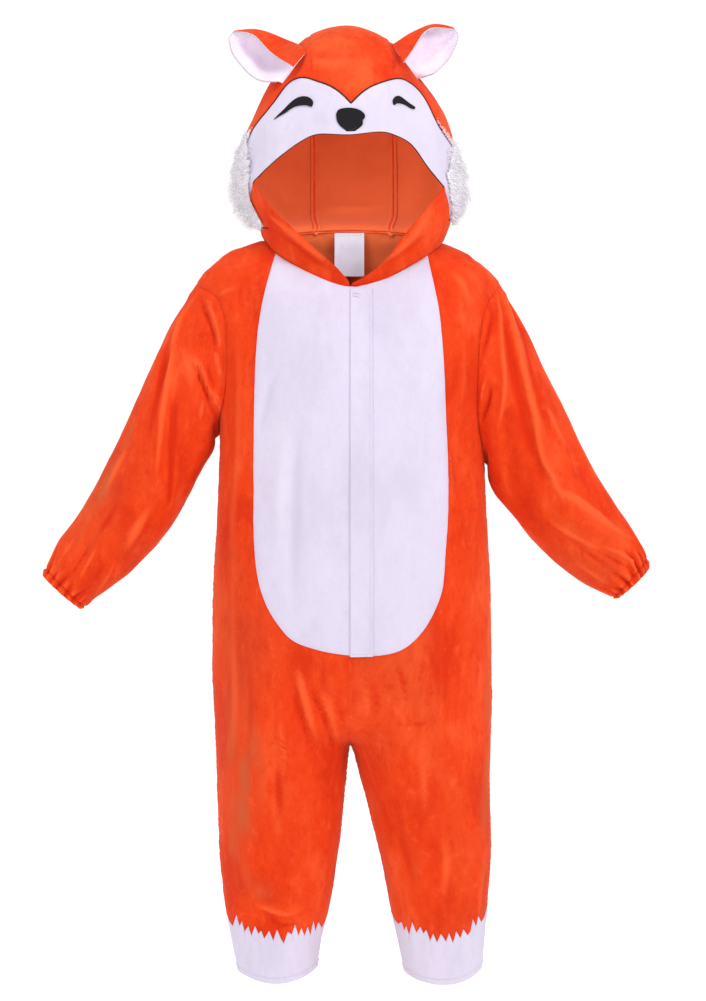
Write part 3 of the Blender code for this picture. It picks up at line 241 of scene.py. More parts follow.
FOLDS_BACK = """
fold   u    v  wide high
   1 300  300    17 -1.5
   1 285  380    18 -4.0
   1 278  460    16 -1.5
   2 400  310    17 -1.5
   2 415  390    18 -4.5
   2 421  480    16 -1.5
   3 346  420    18  1.5
   3 352  480    18  3.5
   3 348  545    16  1.5
   4 262  670    16 -1.5
   4 290  700    16 -4.5
   4 330  722    14 -1.5
   5 440  665    16 -1.5
   5 415  698    16 -4.5
   5 372  720    14 -1.5
   6 262  780    17  1.5
   6 280  840    18  3.5
   6 270  900    14  1.5
   7 446  775    17  1.5
   7 432  835    18  3.5
   7 440  900    14  1.5
"""
FOLDS_SLEEVE_R = """
fold angle   v  wide high
   1    30 .10    12  2.0
   1    30 .22    13  4.0
   1    76 .37    14  4.5
   1   114 .52    13  3.5
   1   120 .66    11  1.5
   2   108 .16    12 -2.0
   2   132 .30    14 -5.0
   2   165 .44    12 -2.0
   3   250 .18    13  2.0
   3   275 .34    15  4.5
   3   300 .50    13  2.0
   4    40 .50    13 -2.0
   4    62 .66    13 -4.0
   4    78 .80    10 -1.5
   5   215 .45    13 -2.0
   5   240 .60    14 -4.5
   5   262 .76    11 -1.5
"""
FOLDS_SLEEVE_L = """
fold angle   v  wide high
   1    34 .10    12  2.0
   1    40 .20    13  4.5
   1    57 .31    14  5.0
   1    80 .51    14  5.0
   1    82 .65    13  4.0
   1    82 .80    10  1.5
   2   100 .14    12 -2.0
   2   122 .28    14 -5.0
   2   140 .42    12 -2.0
   3   245 .20    13  2.0
   3   268 .36    15  4.5
   3   285 .52    13  2.0
   4    30 .48    13 -2.0
   4    44 .62    13 -4.0
   4    52 .76    10 -1.5
   5   220 .48    13 -2.0
   5   235 .62    14 -4.5
   5   250 .78    11 -1.5
"""
ARMPIT_CLEAR = 4.5    # the sleeve stands this far off the side, just below the armpit
CASING = 9.0          # height of the elastic casing at the wrist

# Hood by height: sides, front and back depth, roundness.
HOOD = """
    z   right  left front back   n
  -60      93    93    70   24  2.1
  -48      95    95  72.7   27  2.1
  -35      97    97    74   31  2.1
  -23      99    99    77   35  2.1
   -9     101   101    84   41  2.1
    9     107   109    92   48  2.1
   24     110   115    97   56  2.15
   40     115 118.5   100   70  2.15
   60     120   121   103   88  2.2
   85     122   121   106  103  2.2
  110     122 120.5   108  112  2.2
  130     120   117   108  116  2.2
  150   111.5   110   106  116  2.2
  172     102    97   101  111  2.2
  195      89    80    92  102  2.15
  215      76    67    81   89  2.1
  234    60.5    51    65   70  2.05
  246      45    33    47   51  2.0
256.5       0     0     0    0  2.0
"""
CROWN_LEAN = -6.0     # the crown leans to the wearer's right
# Edge between the forehead and the white face, and the other edges of the hood, drawing units.
FACE_TOP_R = ((249, 136), (257, 122), (273, 103), (290, 82), (303, 77.5), (315, 80.4), (334, 88), (351, 103))
FACE_TOP_L = ((351, 103), (368, 88), (387.5, 80.4), (401, 78.4), (412, 84), (426, 101), (437, 122), (452, 145))
FACE_EDGE = ((253, 182), (265, 170), (282, 155), (307, 137.7), (318, 134), (350, 134.5), (384, 132),
             (397, 136), (410, 143.5), (426, 164.5), (444, 187))
BAND_EDGE_R = ((253, 182), (264, 198), (280, 216), (301, 236), (322, 256), (336, 268), (349, 281.5))
BAND_EDGE_L = ((444, 187), (425, 210), (400, 240), (375, 270), (353, 282.5))
CHEEK_SEAM_R = ((253, 182), (249, 199), (254.5, 216), (261, 228))
CHEEK_SEAM_L = ((444, 187), (448.7, 201), (450.3, 214), (450.5, 222))
# Outer edge of the face at the side of the hood: depth and height.
CHEEK_SIDE_R = ((-17, 112), (-13, 90), (-14, 66), (-22, 44))
CHEEK_SIDE_L = ((-19, 102), (-13, 82), (-12, 60), (-12, 44))
GUSSET = {"R": (-44.0, -47.0, -43.0), "L": (49.0, 46.0, 52.0)}   # at the face, the crown, the nape

# Ears by distance from the root: lower margin, fold and rolled margin in drawing units, with depths.
EAR_R = """
   s    lu    lv    tu   tv    fu    fv   yl  yb  yt  yf
   0   281  83.6   304   51   292    66    0   0   0   0
 .25 262.5    81   288 41.2   276  56.8  -57 -24 -24 -54
  .5   248  72.5   270 33.6 263.5  45.5  -50 -18 -18 -44
 .75   237    60 253.5 29.8   253  35.2  -44 -19 -20 -34
  .9   231    49   243 30.4   243  32.4  -37 -23 -24 -30
   1   229    38   234 31.6 234.5  32.2  -30 -26 -26 -28
"""
EAR_L = """
   s    lu    lv    tu   tv    fu    fv   yl  yb  yt  yf
   0   418    80   394   46   404    62    0   0   0   0
 .25   432    74   408 35.3   413  49.5  -57 -24 -24 -54
  .5   443    65   422 28.3   420  38.5  -50 -18 -18 -44
 .75 451.5  53.5   436 24.8   431  28.6  -44 -19 -20 -34
  .9 456.5    42   447 26.3   443  28.2  -37 -23 -24 -30
   1 458.2  34.5   454 28.6 453.5  29.6  -30 -26 -26 -28
"""
EYE_R = ((274, 119.8), (279, 114.6), (285.2, 108.6), (291.5, 102.3), (298, 98), (304.5, 96.6), (310, 98),
         (313.2, 101.5), (313, 104.6), (311.6, 106.8), (308, 105.9), (303.8, 105.4), (297.5, 106.1),
         (291.7, 108.5), (285.9, 112.6), (280.4, 115.6))
EYE_L = ((393.2, 104.9), (392.4, 101), (394.4, 97.4), (397.8, 96.3), (401.2, 97.6), (406.4, 101.6),
         (411, 104.9), (414.8, 108.2), (414.2, 109.2), (410.8, 108.6), (407.2, 106.6), (403.2, 104.6),
         (399.5, 103.6), (396.4, 103.9), (394.1, 105.3))
NOSE = ((336.2, 114.3), (338, 110.6), (342, 108.7), (350, 108), (357.5, 109.3), (362.2, 112), (364.9, 115.6),
        (364.4, 118.6), (362.8, 120.2), (362.7, 123.8), (360.4, 127.2), (355.4, 131.3), (350.8, 133.9),
        (346, 131.2), (340.6, 126.4), (337, 120.8))

# White leg cuffs: teeth across each half panel and their heights in turn.
TEETH = 11
TOOTH = (10.0, 7.5, 11.5, 8.0, 12.0, 9.0, 7.0, 11.0, 8.5, 12.0, 9.5)
CUFF_TOP = -772.0
CUFF_DIP = 11.0
HEM = {("R", "front"): (-822, -836, -827), ("R", "back"): (-822, -827, -827),
       ("L", "front"): (-828, -837, -822), ("L", "back"): (-828, -829, -822)}

PLACKET = (0.8, 25.0)      # across, from the centre front, on the wearer's left
PLACKET_WALL = 1.2
LABEL = (-18.0, 16.5, 23.0, -27.0)   # across from, to, top, bottom
LABEL_DEPTH = 43.0

# ------------------------------------------------------------------ small tools
def table(text):
    rows = [line.split() for line in text.strip().splitlines()]
    values = np.array([[float(x) for x in row] for row in rows[1:]])
    return {name: values[:, i] for i, name in enumerate(rows[0])}


def spline(knots, values):
    """Smooth curve through the values, straight past its ends."""
    k, v = np.asarray(knots, float), np.asarray(values, float)
    if k[0] > k[-1]:
        k, v = k[::-1], v[::-1]
    n, h = len(k), np.diff(k)
    a, r = np.zeros((n, n)), np.zeros_like(v)
    a[0, 0] = a[-1, -1] = 1
    for i in range(1, n - 1):
        a[i, i - 1], a[i, i], a[i, i + 1] = h[i - 1], 2 * (h[i - 1] + h[i]), h[i]
        r[i] = 6 * ((v[i + 1] - v[i]) / h[i] - (v[i] - v[i - 1]) / h[i - 1])
    m = np.linalg.solve(a, r)

    def at(x):
        x = np.asarray(x, float)
        xc = np.clip(x, k[0], k[-1])
        i = np.clip(np.searchsorted(k, xc, side="right") - 1, 0, n - 2)
        hh = h[i]
        p, q = (k[i + 1] - xc) / hh, (xc - k[i]) / hh
        lo, hi = np.minimum(x - k[0], 0), np.maximum(x - k[-1], 0)
        if v.ndim > 1:
            p, q, hh, lo, hi = (w[..., None] for w in (p, q, hh, lo, hi))
        y = p * v[i] + q * v[i + 1] + ((p**3 - p) * m[i] + (q**3 - q) * m[i + 1]) * hh * hh / 6
        d0 = (v[1] - v[0]) / h[0] - h[0] * m[1] / 6
        d1 = (v[-1] - v[-2]) / h[-1] + h[-1] * m[-2] / 6
        return y + lo * d0 + hi * d1

    return at


def steady(knots, values):
    """Curve through the values that never swings past them."""
    k, v = np.asarray(knots, float), np.asarray(values, float)
    if k[0] > k[-1]:
        k, v = k[::-1], v[::-1]
    h = np.diff(k)
    d = np.diff(v) / h
    m = np.zeros_like(v)
    for i in range(1, len(k) - 1):
        if d[i - 1] * d[i] > 0:
            w1, w2 = 2 * h[i] + h[i - 1], h[i] + 2 * h[i - 1]
            m[i] = (w1 + w2) / (w1 / d[i - 1] + w2 / d[i])
    m[0], m[-1] = d[0], d[-1]

    def at(x):
        x = np.asarray(x, float)
        xc = np.clip(x, k[0], k[-1])
        i = np.clip(np.searchsorted(k, xc, side="right") - 1, 0, len(k) - 2)
        t = (xc - k[i]) / h[i]
        y = ((1 + 2 * t) * (1 - t) ** 2 * v[i] + t * (1 - t) ** 2 * h[i] * m[i]
             + t * t * (3 - 2 * t) * v[i + 1] + t * t * (t - 1) * h[i] * m[i + 1])
        return y + np.minimum(x - k[0], 0) * m[0] + np.maximum(x - k[-1], 0) * m[-1]

    return at


def through(points, count=200):
    """Dense smooth line through a few points, spaced evenly along it."""
    p = np.asarray(points, float)
    t = np.r_[0, np.cumsum(np.maximum(np.linalg.norm(np.diff(p, axis=0), axis=1), 1e-6) ** 0.75)]
    dense = spline(t, p)(np.linspace(0, t[-1], 40 * len(p)))
    return even(dense, count)


def even(line, count):
    """The line again with count points, spaced evenly along it."""
    t = np.r_[0, np.cumsum(np.linalg.norm(np.diff(line, axis=0), axis=1))]
    w = np.linspace(0, t[-1], count)
    return np.stack([np.interp(w, t, line[:, i]) for i in range(line.shape[1])], 1)


def pieces_of(line, step):
    """How many points the line needs for facets of this size."""
    return max(2, int(round(np.linalg.norm(np.diff(line, axis=0), axis=1).sum() / step)) + 1)


def unit(v):
    return v / np.maximum(np.linalg.norm(v, axis=-1, keepdims=True), 1e-12)


def on_sheet(uv):
    """Drawing units to millimetres across and up, on the plane of the side seams."""
    uv = np.asarray(uv, float)
    return np.stack([SIGHT[0] + (uv[..., 0] - SHEET_MID[0]) * UNIT,
                     SIGHT[2] + (SHEET_MID[1] - uv[..., 1]) * UNIT], -1)


def at_depth(uv, y):
    """The point at depth y that the drawing shows at uv."""
    f = 1 + np.asarray(y, float) / -SIGHT[1]
    flat = on_sheet(uv)
    return np.stack([SIGHT[0] + (flat[..., 0] - SIGHT[0]) * f, y + 0 * f,
                     SIGHT[2] + (flat[..., 1] - SIGHT[2]) * f], -1)


class Folds:
    """Height of the folds at places p, given each fold's line as points."""

    def __init__(self, text, lay):
        t = table(text)
        at = lay(t)
        self.lines = []
        for k in np.unique(t["fold"]):
            rows = t["fold"] == k
            self.lines.append((at[rows], t["wide"][rows], t["high"][rows]))

    def __call__(self, p):
        total = np.zeros(len(p))
        for at, wide, high in self.lines:
            best, height = np.full(len(p), 1e9), np.zeros(len(p))
            for i in range(len(at) - 1):
                ab = at[i + 1] - at[i]
                t = np.clip((p - at[i]) @ ab / (ab @ ab), 0, 1)
                d = np.linalg.norm(p - at[i] - t[:, None] * ab, axis=1)
                w, h = wide[i] + (wide[i + 1] - wide[i]) * t, high[i] + (high[i + 1] - high[i]) * t
                nearer = d / w < best
                best = np.where(nearer, d / w, best)
                height = np.where(nearer, h, height)
            total += height * np.exp(-best**2)
        return total


# ------------------------------------------------------------------ body and legs
CREASES = {"front": Folds(FOLDS_FRONT, lambda t: at_depth(np.stack([t["u"], t["v"]], 1), 0 * t["u"] - 90)[:, (0, 2)]),
           "back": Folds(FOLDS_BACK, lambda t: at_depth(np.stack([t["u"], t["v"]], 1), 0 * t["u"] + 85)[:, (0, 2)])}
B = table(BODY)
OUT = {"R": spline(B["z"], B["outR"]), "L": spline(B["z"], B["outL"])}
INNER = {"R": steady(B["z"], B["gapR"]), "L": steady(B["z"], B["gapL"])}
DEPTH = {"front": spline(B["z"], B["front"]), "back": spline(B["z"], B["back"])}
ROUND = steady(B["z"], B["n"])


def half_section(half, z):
    out, g, n = OUT[half](z), INNER[half](z), ROUND(z)
    mid, reach = out * (1 + g) / 2, out * (1 - g) / 2
    k = np.where(g < 0, np.clip((1 + g) / (1 - g), 0, 1), 1.0)
    return mid, reach, n, -np.arcsin(k ** (n / 2))


def body(half, face, s, z):
    """Point of the body: s from the centre or inner leg (0) to the side seam (1), at height z."""
    s, z = np.broadcast_arrays(np.asarray(s, float), np.asarray(z, float))
    mid, reach, n, t0 = half_section(half, z)
    t = t0 + s * (math.pi / 2 - t0)
    w = np.sin(t)
    x = mid + reach * np.sign(w) * np.abs(w) ** (2 / n)
    facing = np.clip(np.cos(t), 0, 1)
    deep = DEPTH[face](z) * facing ** (2 / n)
    at = np.stack([SIGN[half] * x, z], -1).reshape(-1, 2)
    deep = deep + CREASES[face](at).reshape(x.shape) * facing**0.6
    return np.stack([SIGN[half] * x, deep if face == "back" else -deep, z], -1)


def share(half, x, z):
    """s of the point of the body at x and z."""
    mid, reach, n, t0 = half_section(half, z)
    w = np.clip((np.abs(x) - mid) / reach, -1, 1)
    t = np.arcsin(np.sign(w) * np.abs(w) ** (n / 2))
    return np.clip((t - t0) / (math.pi / 2 - t0), 0, 1)


def body_seen(half, uv):
    """(s, z) of the front of the body where the drawing shows uv."""
    uv = np.asarray(uv, float)
    y = np.full(len(uv), -80.0)
    for _ in range(60):
        p = at_depth(uv, y)
        q = body(half, "front", share(half, p[:, 0], p[:, 2]), p[:, 2])
        y = 0.5 * y + 0.5 * q[:, 1]
    p = at_depth(uv, y)
    return np.stack([share(half, p[:, 0], p[:, 2]), p[:, 2]], 1)


# ------------------------------------------------------------------ hood
H = table(HOOD)
HALF2 = spline(H["z"], ((H["right"] + H["left"]) / 2) ** 2)
SHIFT = steady(H["z"], np.where(H["z"] > 240, CROWN_LEAN, (H["left"] - H["right"]) / 2))
FRONT2, BACK2 = spline(H["z"], H["front"] ** 2), spline(H["z"], H["back"] ** 2)
HOOD_N = steady(H["z"], H["n"])


def outside_hood(p):
    """Below 0 inside the hood, above 0 outside."""
    z = np.clip(p[..., 2], H["z"][0], 300)
    x2 = (p[..., 0] - SHIFT(z)) ** 2 / np.maximum(HALF2(z), 1e-3)
    y2 = p[..., 1] ** 2 / np.maximum(np.where(p[..., 1] < 0, FRONT2(z), BACK2(z)), 1e-3)
    n = HOOD_N(z)
    return x2 ** (n / 2) + y2 ** (n / 2) - 1


def along(start, way, lo, hi):
    """Distance from start along way to where the hood's surface is crossed."""
    lo, hi = np.full(len(way), float(lo)), np.full(len(way), float(hi))
    for _ in range(44):
        mid = (lo + hi) / 2
        out = outside_hood(start + way * mid[:, None]) > 0
        hi, lo = np.where(out, mid, hi), np.where(out, lo, mid)
    return (lo + hi) / 2


MID = np.array(HOOD_MID)


def plain_radius(d):
    return along(MID, d, 5.0, 330.0)


def azimuth(d):
    return np.arctan2(d[:, 0], -d[:, 1]), np.arccos(np.clip(-d[:, 2], -1, 1))


NECK_LOOP = {}     # filled once the neck seam is laid out


def hood(d):
    """Point of the hood in direction d from its middle; its lower edge meets the neck seam."""
    d = unit(np.asarray(d, float))
    r = plain_radius(d)
    if NECK_LOOP:
        psi, chi = azimuth(d)
        far = np.maximum(chi - np.interp(psi, NECK_LOOP["psi"], NECK_LOOP["chi"]), 0)
        r = r + np.interp(psi, NECK_LOOP["psi"], NECK_LOOP["step"]) * np.exp(-((far / 0.24) ** 2))
    return MID + d * r[:, None]


def hood_seen(uv):
    """Direction from the hood's middle to the surface that the drawing shows at uv."""
    uv = np.asarray(uv, float)
    ys = np.linspace(-135, 20, 156)
    values = np.stack([outside_hood(at_depth(uv, np.full(len(uv), y))) for y in ys], 1)
    within = values < 0
    first = np.where(within.any(1), within.argmax(1), -1)
    lo, hi = ys[np.maximum(first - 1, 0)], ys[np.maximum(first, 0)]
    for _ in range(30):
        mid = (lo + hi) / 2
        inner = outside_hood(at_depth(uv, mid)) < 0
        hi, lo = np.where(inner, mid, hi), np.where(inner, lo, mid)
    best = np.where(first < 0, ys[values.argmin(1)], hi)
    return unit(at_depth(uv, best) - MID)


def hood_side(half, yz):
    """Direction to the side of the hood at depth y and height z."""
    yz = np.asarray(yz, float)
    y, z = yz[:, 0], yz[:, 1]
    n = HOOD_N(z)
    y2 = y**2 / np.where(y < 0, FRONT2(z), BACK2(z))
    x = SHIFT(z) + SIGN[half] * np.sqrt(HALF2(z)) * np.maximum(1 - y2 ** (n / 2), 0) ** (1 / n)
    return unit(np.stack([x, y, z], 1) - MID)


# flat layouts of directions about the front, a side and the crown
def flat_about(axis, d):
    a, b = {"front": (0, 2), "side": (1, 2)}[axis[0]]
    pole = {"front": -d[:, 1], "side": d[:, 0] * axis[1]}[axis[0]]
    k = np.arccos(np.clip(pole, -1, 1))
    r = np.maximum(np.hypot(d[:, a], d[:, b]), 1e-12)
    return np.stack([k * d[:, a] / r, k * d[:, b] / r], 1) * HOOD_R


def from_flat_about(axis, pq):
    pq = np.asarray(pq) / HOOD_R
    k = np.hypot(pq[:, 0], pq[:, 1])
    q = pq * np.where(k > 1e-9, np.sin(k) / np.maximum(k, 1e-9), 1.0)[:, None]
    c = np.cos(k)
    if axis[0] == "front":
        return np.stack([q[:, 0], -c, q[:, 1]], 1)
    return np.stack([c * axis[1], q[:, 0], q[:, 1]], 1)


def flat_crown(d):
    a = np.arctan2(d[:, 2], -d[:, 1])
    a = np.where(a < -math.pi / 2, a + 2 * math.pi, a)
    return np.stack([a, np.arcsin(np.clip(d[:, 0], -1, 1))], 1) * HOOD_R


def from_flat_crown(pq):
    a, b = np.asarray(pq).T / HOOD_R
    return np.stack([np.sin(b), -np.cos(b) * np.cos(a), np.cos(b) * np.sin(a)], 1)


# ------------------------------------------------------------------ laying out a piece
def inside_loop(loop, pts):
    x, y = pts[:, 0], pts[:, 1]
    a, b = loop, np.roll(loop, -1, 0)
    hit = np.zeros(len(pts), bool)
    for (x0, y0), (x1, y1) in zip(a, b):
        if y0 == y1:
            continue
        hit ^= ((y0 > y) != (y1 > y)) & (x < (x1 - x0) * (y - y0) / (y1 - y0) + x0)
    return hit


def edge_distance(loop, pts):
    best = np.full(len(pts), 1e9)
    for a, b in zip(loop, np.roll(loop, -1, 0)):
        ab = b - a
        t = np.clip(((pts - a) @ ab) / max(ab @ ab, 1e-12), 0, 1)
        best = np.minimum(best, np.linalg.norm(pts - a - t[:, None] * ab, axis=1))
    return best


def fill(loop, step, clear=0.55):
    """Triangles over a flat outline, its own points first."""
    lo, hi = loop.min(0), loop.max(0)
    rows = np.arange(lo[1] + step * 0.37, hi[1], step * 0.866)
    grid = [np.stack([np.arange(lo[0] + (0.25 + 0.5 * (i % 2)) * step, hi[0], step),
                      np.full(len(np.arange(lo[0] + (0.25 + 0.5 * (i % 2)) * step, hi[0], step)), y)], 1)
            for i, y in enumerate(rows)]
    pts = np.concatenate(grid) if grid else np.zeros((0, 2))
    if len(pts):
        pts = pts[inside_loop(loop, pts)]
    if len(pts):
        pts = pts[edge_distance(loop, pts) > clear * step]
    every = np.concatenate([loop, pts])
    n = len(loop)
    edges = [(i, (i + 1) % n) for i in range(n)]
    out = delaunay_2d_cdt([Vector(p) for p in every], edges, [], 1, 1e-7)
    first = [o[0] if o else -1 for o in out[3]]
    tris = np.array([[first[i] for i in f] for f in out[2]])
    if (tris < 0).any():
        raise ValueError("an outline crosses itself")
    mids = every[tris].mean(1)
    tris = tris[inside_loop(loop, mids)]
    return every, tris


def normals_of(pts, tris):
    n = np.cross(pts[tris[:, 1]] - pts[tris[:, 0]], pts[tris[:, 2]] - pts[tris[:, 0]])
    out = np.zeros_like(pts)
    for i in range(3):
        np.add.at(out, tris[:, i], n)
    return unit(out)


class Piece:
    """A cut piece: the outer skin's points and triangles, and its open edges as loops."""

    def __init__(self, name, pts, tris, loops, cloth, wall=WALL, rise=0.0, about=None, trim=SEAM):
        self.name, self.pts, self.tris, self.loops = name, np.asarray(pts, float), tris, loops
        self.cloth, self.wall, self.rise, self.trim = cloth, wall, rise, trim
        n = normals_of(self.pts, self.tris)
        away = self.pts - (np.zeros(3) if about is None else np.asarray(about, float))
        if (n * away).sum() < 0:
            self.tris = self.tris[:, ::-1]
            n = -n
        self.normals = n


def laid_out(name, outline, edge_points, to_space, step, cloth, **more):
    """A piece from its flat outline; edge_points are the outline's own places in space."""
    flat, tris = fill(outline, step)
    pts = to_space(flat)
    pts[:len(outline)] = edge_points
    return Piece(name, pts, tris, [list(range(len(outline)))], cloth, **more)


def tube(name, rings, cloth, **more):
    """A piece that goes round: rings of equally many points, open at both ends."""
    m, n = len(rings), len(rings[0])
    pts = np.concatenate(rings)
    tris = []
    for i in range(m - 1):
        for j in range(n):
            a, b = i * n + j, i * n + (j + 1) % n
            c, d = a + n, b + n
            tris += [(a, b, d), (a, d, c)] if (i + j) % 2 else [(a, b, c), (b, d, c)]
    loops = [list(range(n)), list(range((m - 1) * n, m * n))]
    return Piece(name, pts, np.array(tris), loops, cloth, **more)


def drawn_back(piece):
    """For each point of an open edge, the way into the piece along its skin."""
    third, ways = {}, {}
    for t in piece.tris:
        for i in range(3):
            third[t[i], t[(i + 1) % 3]] = t[(i + 2) % 3]
    for loop in piece.loops:
        square = []
        for a, b in zip(loop, loop[1:] + loop[:1]):
            c = third.get((a, b), third.get((b, a)))
            edge = unit(piece.pts[b] - piece.pts[a])
            w = piece.pts[c] - piece.pts[a]
            square.append(unit(w - edge * (w @ edge)))
        for i, at in enumerate(loop):
            w = unit(square[i] + square[i - 1])
            ways[at] = w / max((w @ square[i] + w @ square[i - 1]) / 2, 0.5)
    return ways


def spot(point):
    return tuple(np.round(point, 3))


def solid_of(piece, turned, parted):
    """Closed solid: skin, inner skin and rims, drawn back from each seam."""
    pts, tris = piece.pts.copy(), piece.tris
    n = piece.normals.copy()
    for at, way in drawn_back(piece).items():
        key = spot(piece.pts[at])
        n[at] = turned.get(key, n[at])
        others = [w for name, w in parted.get(key, ()) if name != piece.name]
        if others:
            way = unit(unit(way) - unit(sum(unit(w) for w in others))) * min(np.linalg.norm(way), 1.5)
        pts[at] += way * piece.trim
    outer = pts + n * piece.rise
    inner = outer - n * piece.wall
    count = len(pts)
    faces = [tuple(t) for t in tris] + [tuple(t[::-1] + count) for t in tris]
    directed = {(t[i], t[(i + 1) % 3]) for t in tris for i in range(3)}
    for loop in piece.loops:
        for a, b in zip(loop, loop[1:] + loop[:1]):
            if (a, b) not in directed:
                a, b = b, a
            # neighbours at a seam split their rims along the same diagonal
            if spot(piece.pts[a]) < spot(piece.pts[b]):
                faces += [(b, a, b + count), (a, a + count, b + count)]
            else:
                faces += [(b, a, a + count), (b, a + count, b + count)]
    return np.concatenate([outer, inner]), faces


# ------------------------------------------------------------------ ragged edge of the leg cuffs
# Tips and notches of the white edge on the front, in drawing units from the outer side inwards.
TEETH_R = ((231, 918), (233, 926), (236, 915), (239, 926), (241.5, 921), (244, 932), (248, 926), (251, 936),
           (255, 926), (258, 934), (261, 931), (264, 939), (269, 931), (273, 941), (277, 930), (281, 939),
           (284, 944), (288, 932), (292, 935), (295.5, 925), (299, 936), (302, 928), (305, 936), (308, 927),
           (310.5, 935), (313.5, 921), (316, 931), (319, 922), (322, 928), (324, 921))
TEETH_L = ((483, 911), (481, 922), (478, 916), (475.5, 926), (472, 919), (470, 931), (467, 935), (463, 929),
           (460, 938), (456, 931), (453, 943), (449, 933), (446, 942), (441, 934), (437, 943), (433, 934),
           (430, 941), (426, 930), (423, 934), (420, 927), (416, 933), (412, 922), (409, 935), (406, 926),
           (404, 930), (401, 922), (398, 924), (395, 917))
# and on the back: steps across and heights of tips and notches in turn, mm
TEETH_BACK = (13.5, 1.5, 11, 3, 14, 0, 9.5, 2.5, 12.5, 1, 15, 4, 10, 0, 13, 3, 8.5, 1, 14, 2)


def cuff_teeth(half, face):
    """Share across and height of each tip and notch, from the inner seam to the outer one."""
    if face == "front":
        uv = np.array(TEETH_R if half == "R" else TEETH_L, float)
        sz = body_seen(half, uv)
        sz = sz[np.argsort(sz[:, 0])]
        sz[0, 0], sz[-1, 0] = 0.0, 1.0
        keep = np.r_[True, np.diff(sz[:, 0]) > 0.006]
        keep[-1] = True
        sz = sz[keep]
        ENDS[half] = (sz[0, 1], sz[-1, 1])
        return sz
    count = 31
    s = np.linspace(0, 1, count) + np.r_[0, 0.009 * np.sin(np.arange(1, count - 1) * 2.4), 0]
    base = CUFF_TOP - 2 - CUFF_DIP * 0.6 * np.sin(math.pi * s)
    start = {"R": 0, "L": 7}[half]
    z = base + np.array([TEETH_BACK[(i + start) % len(TEETH_BACK)] for i in range(count)]) - 4
    z[0], z[-1] = ENDS[half]
    return np.stack([s, z], 1)


ENDS = {}


# ------------------------------------------------------------------ gathers at the wrists
# Folds drawn in by the elastic: angle round the sleeve from its outer edge, depth and half width in mm,
# how far each runs up the sleeve in mm, and how far it wanders sideways on the way, degrees.
GATHERS_R = """
 turn deep wide long lean
   10  3.2  2.3   30    6
   33  4.2  2.5   46   -9
   57  2.8  2.1   22    5
   79  3.8  2.4   38   11
  104  3.0  2.2   26   -6
  127  4.4  2.6   50    8
  150  3.0  2.1   24   -4
  173  3.6  2.4   36    7
  197  3.0  2.3   28   -8
  221  4.0  2.5   44    6
  246  2.8  2.2   22   -5
  270  3.8  2.5   40    9
  295  3.0  2.2   26   -7
  318  3.6  2.4   34    5
  341  2.8  2.1   20   -3
"""
GATHERS_L = """
 turn deep wide long lean
    6  3.4  2.2   34   -5
   25  4.4  2.4   58    8
   44  3.4  2.1   34   -4
   63  4.6  2.5   64    6
   86  3.2  2.2   28   -8
  107  4.0  2.4   44    5
  131  3.0  2.2   24    9
  154  3.8  2.5   38   -6
  179  3.0  2.2   26    4
  203  3.8  2.4   42   -7
  228  2.8  2.2   22    6
  252  3.6  2.5   36   -5
  277  3.0  2.2   26    8
  301  4.0  2.4   44   -6
  330  3.2  2.2   28    5
"""
# How far the end of a sleeve is drawn along it at its outer and its inner edge, mm
CUFF_SHIFT = {"R": (2.5, 2.0), "L": (-4.5, -9.0)}
SLEEVE_LONG = 380.0
PAINTED_LIGHT_AT_WRIST = {}


def gathered(half, phi, v, ring):
    """Puckers drawn in by the elastic, deeper towards the wrist."""
    t = GATHERED[half]
    middle = ring.mean(0)
    away = unit(ring - middle)
    radius = np.linalg.norm(ring - middle, axis=1).mean()
    casing = 1 - CASING / SLEEVE_LONG
    up, painted_shading = np.zeros(len(ring)), np.zeros(len(ring))
    for turn, deep, wide, long_, lean in zip(*(t[c] for c in ("turn", "deep", "wide", "long", "lean"))):
        start = casing - long_ / SLEEVE_LONG
        e = min(max((v - start) / (casing - start), 0.0), 1.0)
        if not e:
            continue
        e = e * e * (3 - 2 * e)
        arc = (phi - math.radians(turn + lean * (1 - e)) + math.pi) % (2 * math.pi) - math.pi
        arc = arc * radius
        hollow = np.exp(-((arc / wide) ** 2))
        beside = np.exp(-(((np.abs(arc) - 2.0 * wide) / (1.1 * wide)) ** 2))
        up += deep * e * (0.34 * beside - hollow)
        painted_shading += e * (0.5 * beside - hollow)
    down = max(v - 0.80, 0.0) / 0.20
    tight = 1 / (1 + math.exp(-(v - casing) / 0.004))
    pinch = math.exp(-(((v - casing) / 0.0055) ** 2))
    edge = max(v - 0.985, 0) / 0.015
    fine = np.sin(27 * phi + 1.1 * np.sin(3 * phi)) * (1 + 0.5 * np.sin(5 * phi))
    up = up * (1 - 0.35 * tight) + 0.9 * fine * tight + 1.6 * down**2
    up += 2.0 * tight * (1 - 0.5 * edge) - 1.9 * pinch - 1.0 * edge
    # painted shade in the hollows of the puckers and at the pinch of the elastic, painted highlight beside them
    PAINTED_LIGHT_AT_WRIST.setdefault(half, []).append(
        np.clip(painted_shading * 0.9 - 0.8 * pinch + 0.3 * tight * fine, -1, 1))
    outer, inner = CUFF_SHIFT[half]
    share_out = (1 + np.cos(phi)) / 2
    way = unit(np.array([SIGN[half] * 0.72, 0.0, -0.69]))
    late = max(v - 0.82, 0.0) / 0.18
    shift = (inner + (outer - inner) * share_out) * late**1.5
    return ring + away * up[:, None] + way * shift[:, None]
# ------------------------------------------------------------------ seams of the body
def flat(sz):
    """(s, z) laid out flat, with the sloping shoulder drawn out to its real length."""
    sz = np.asarray(sz, float)
    return np.stack([sz[..., 0] * DOMAIN, sz[..., 1] + np.maximum(sz[..., 1] - SLOPE_FROM, 0)], -1)


def unflat(f):
    f = np.asarray(f, float)
    return np.stack([f[..., 0] / DOMAIN, f[..., 1] - np.maximum(f[..., 1] - SLOPE_FROM, 0) / 2], -1)


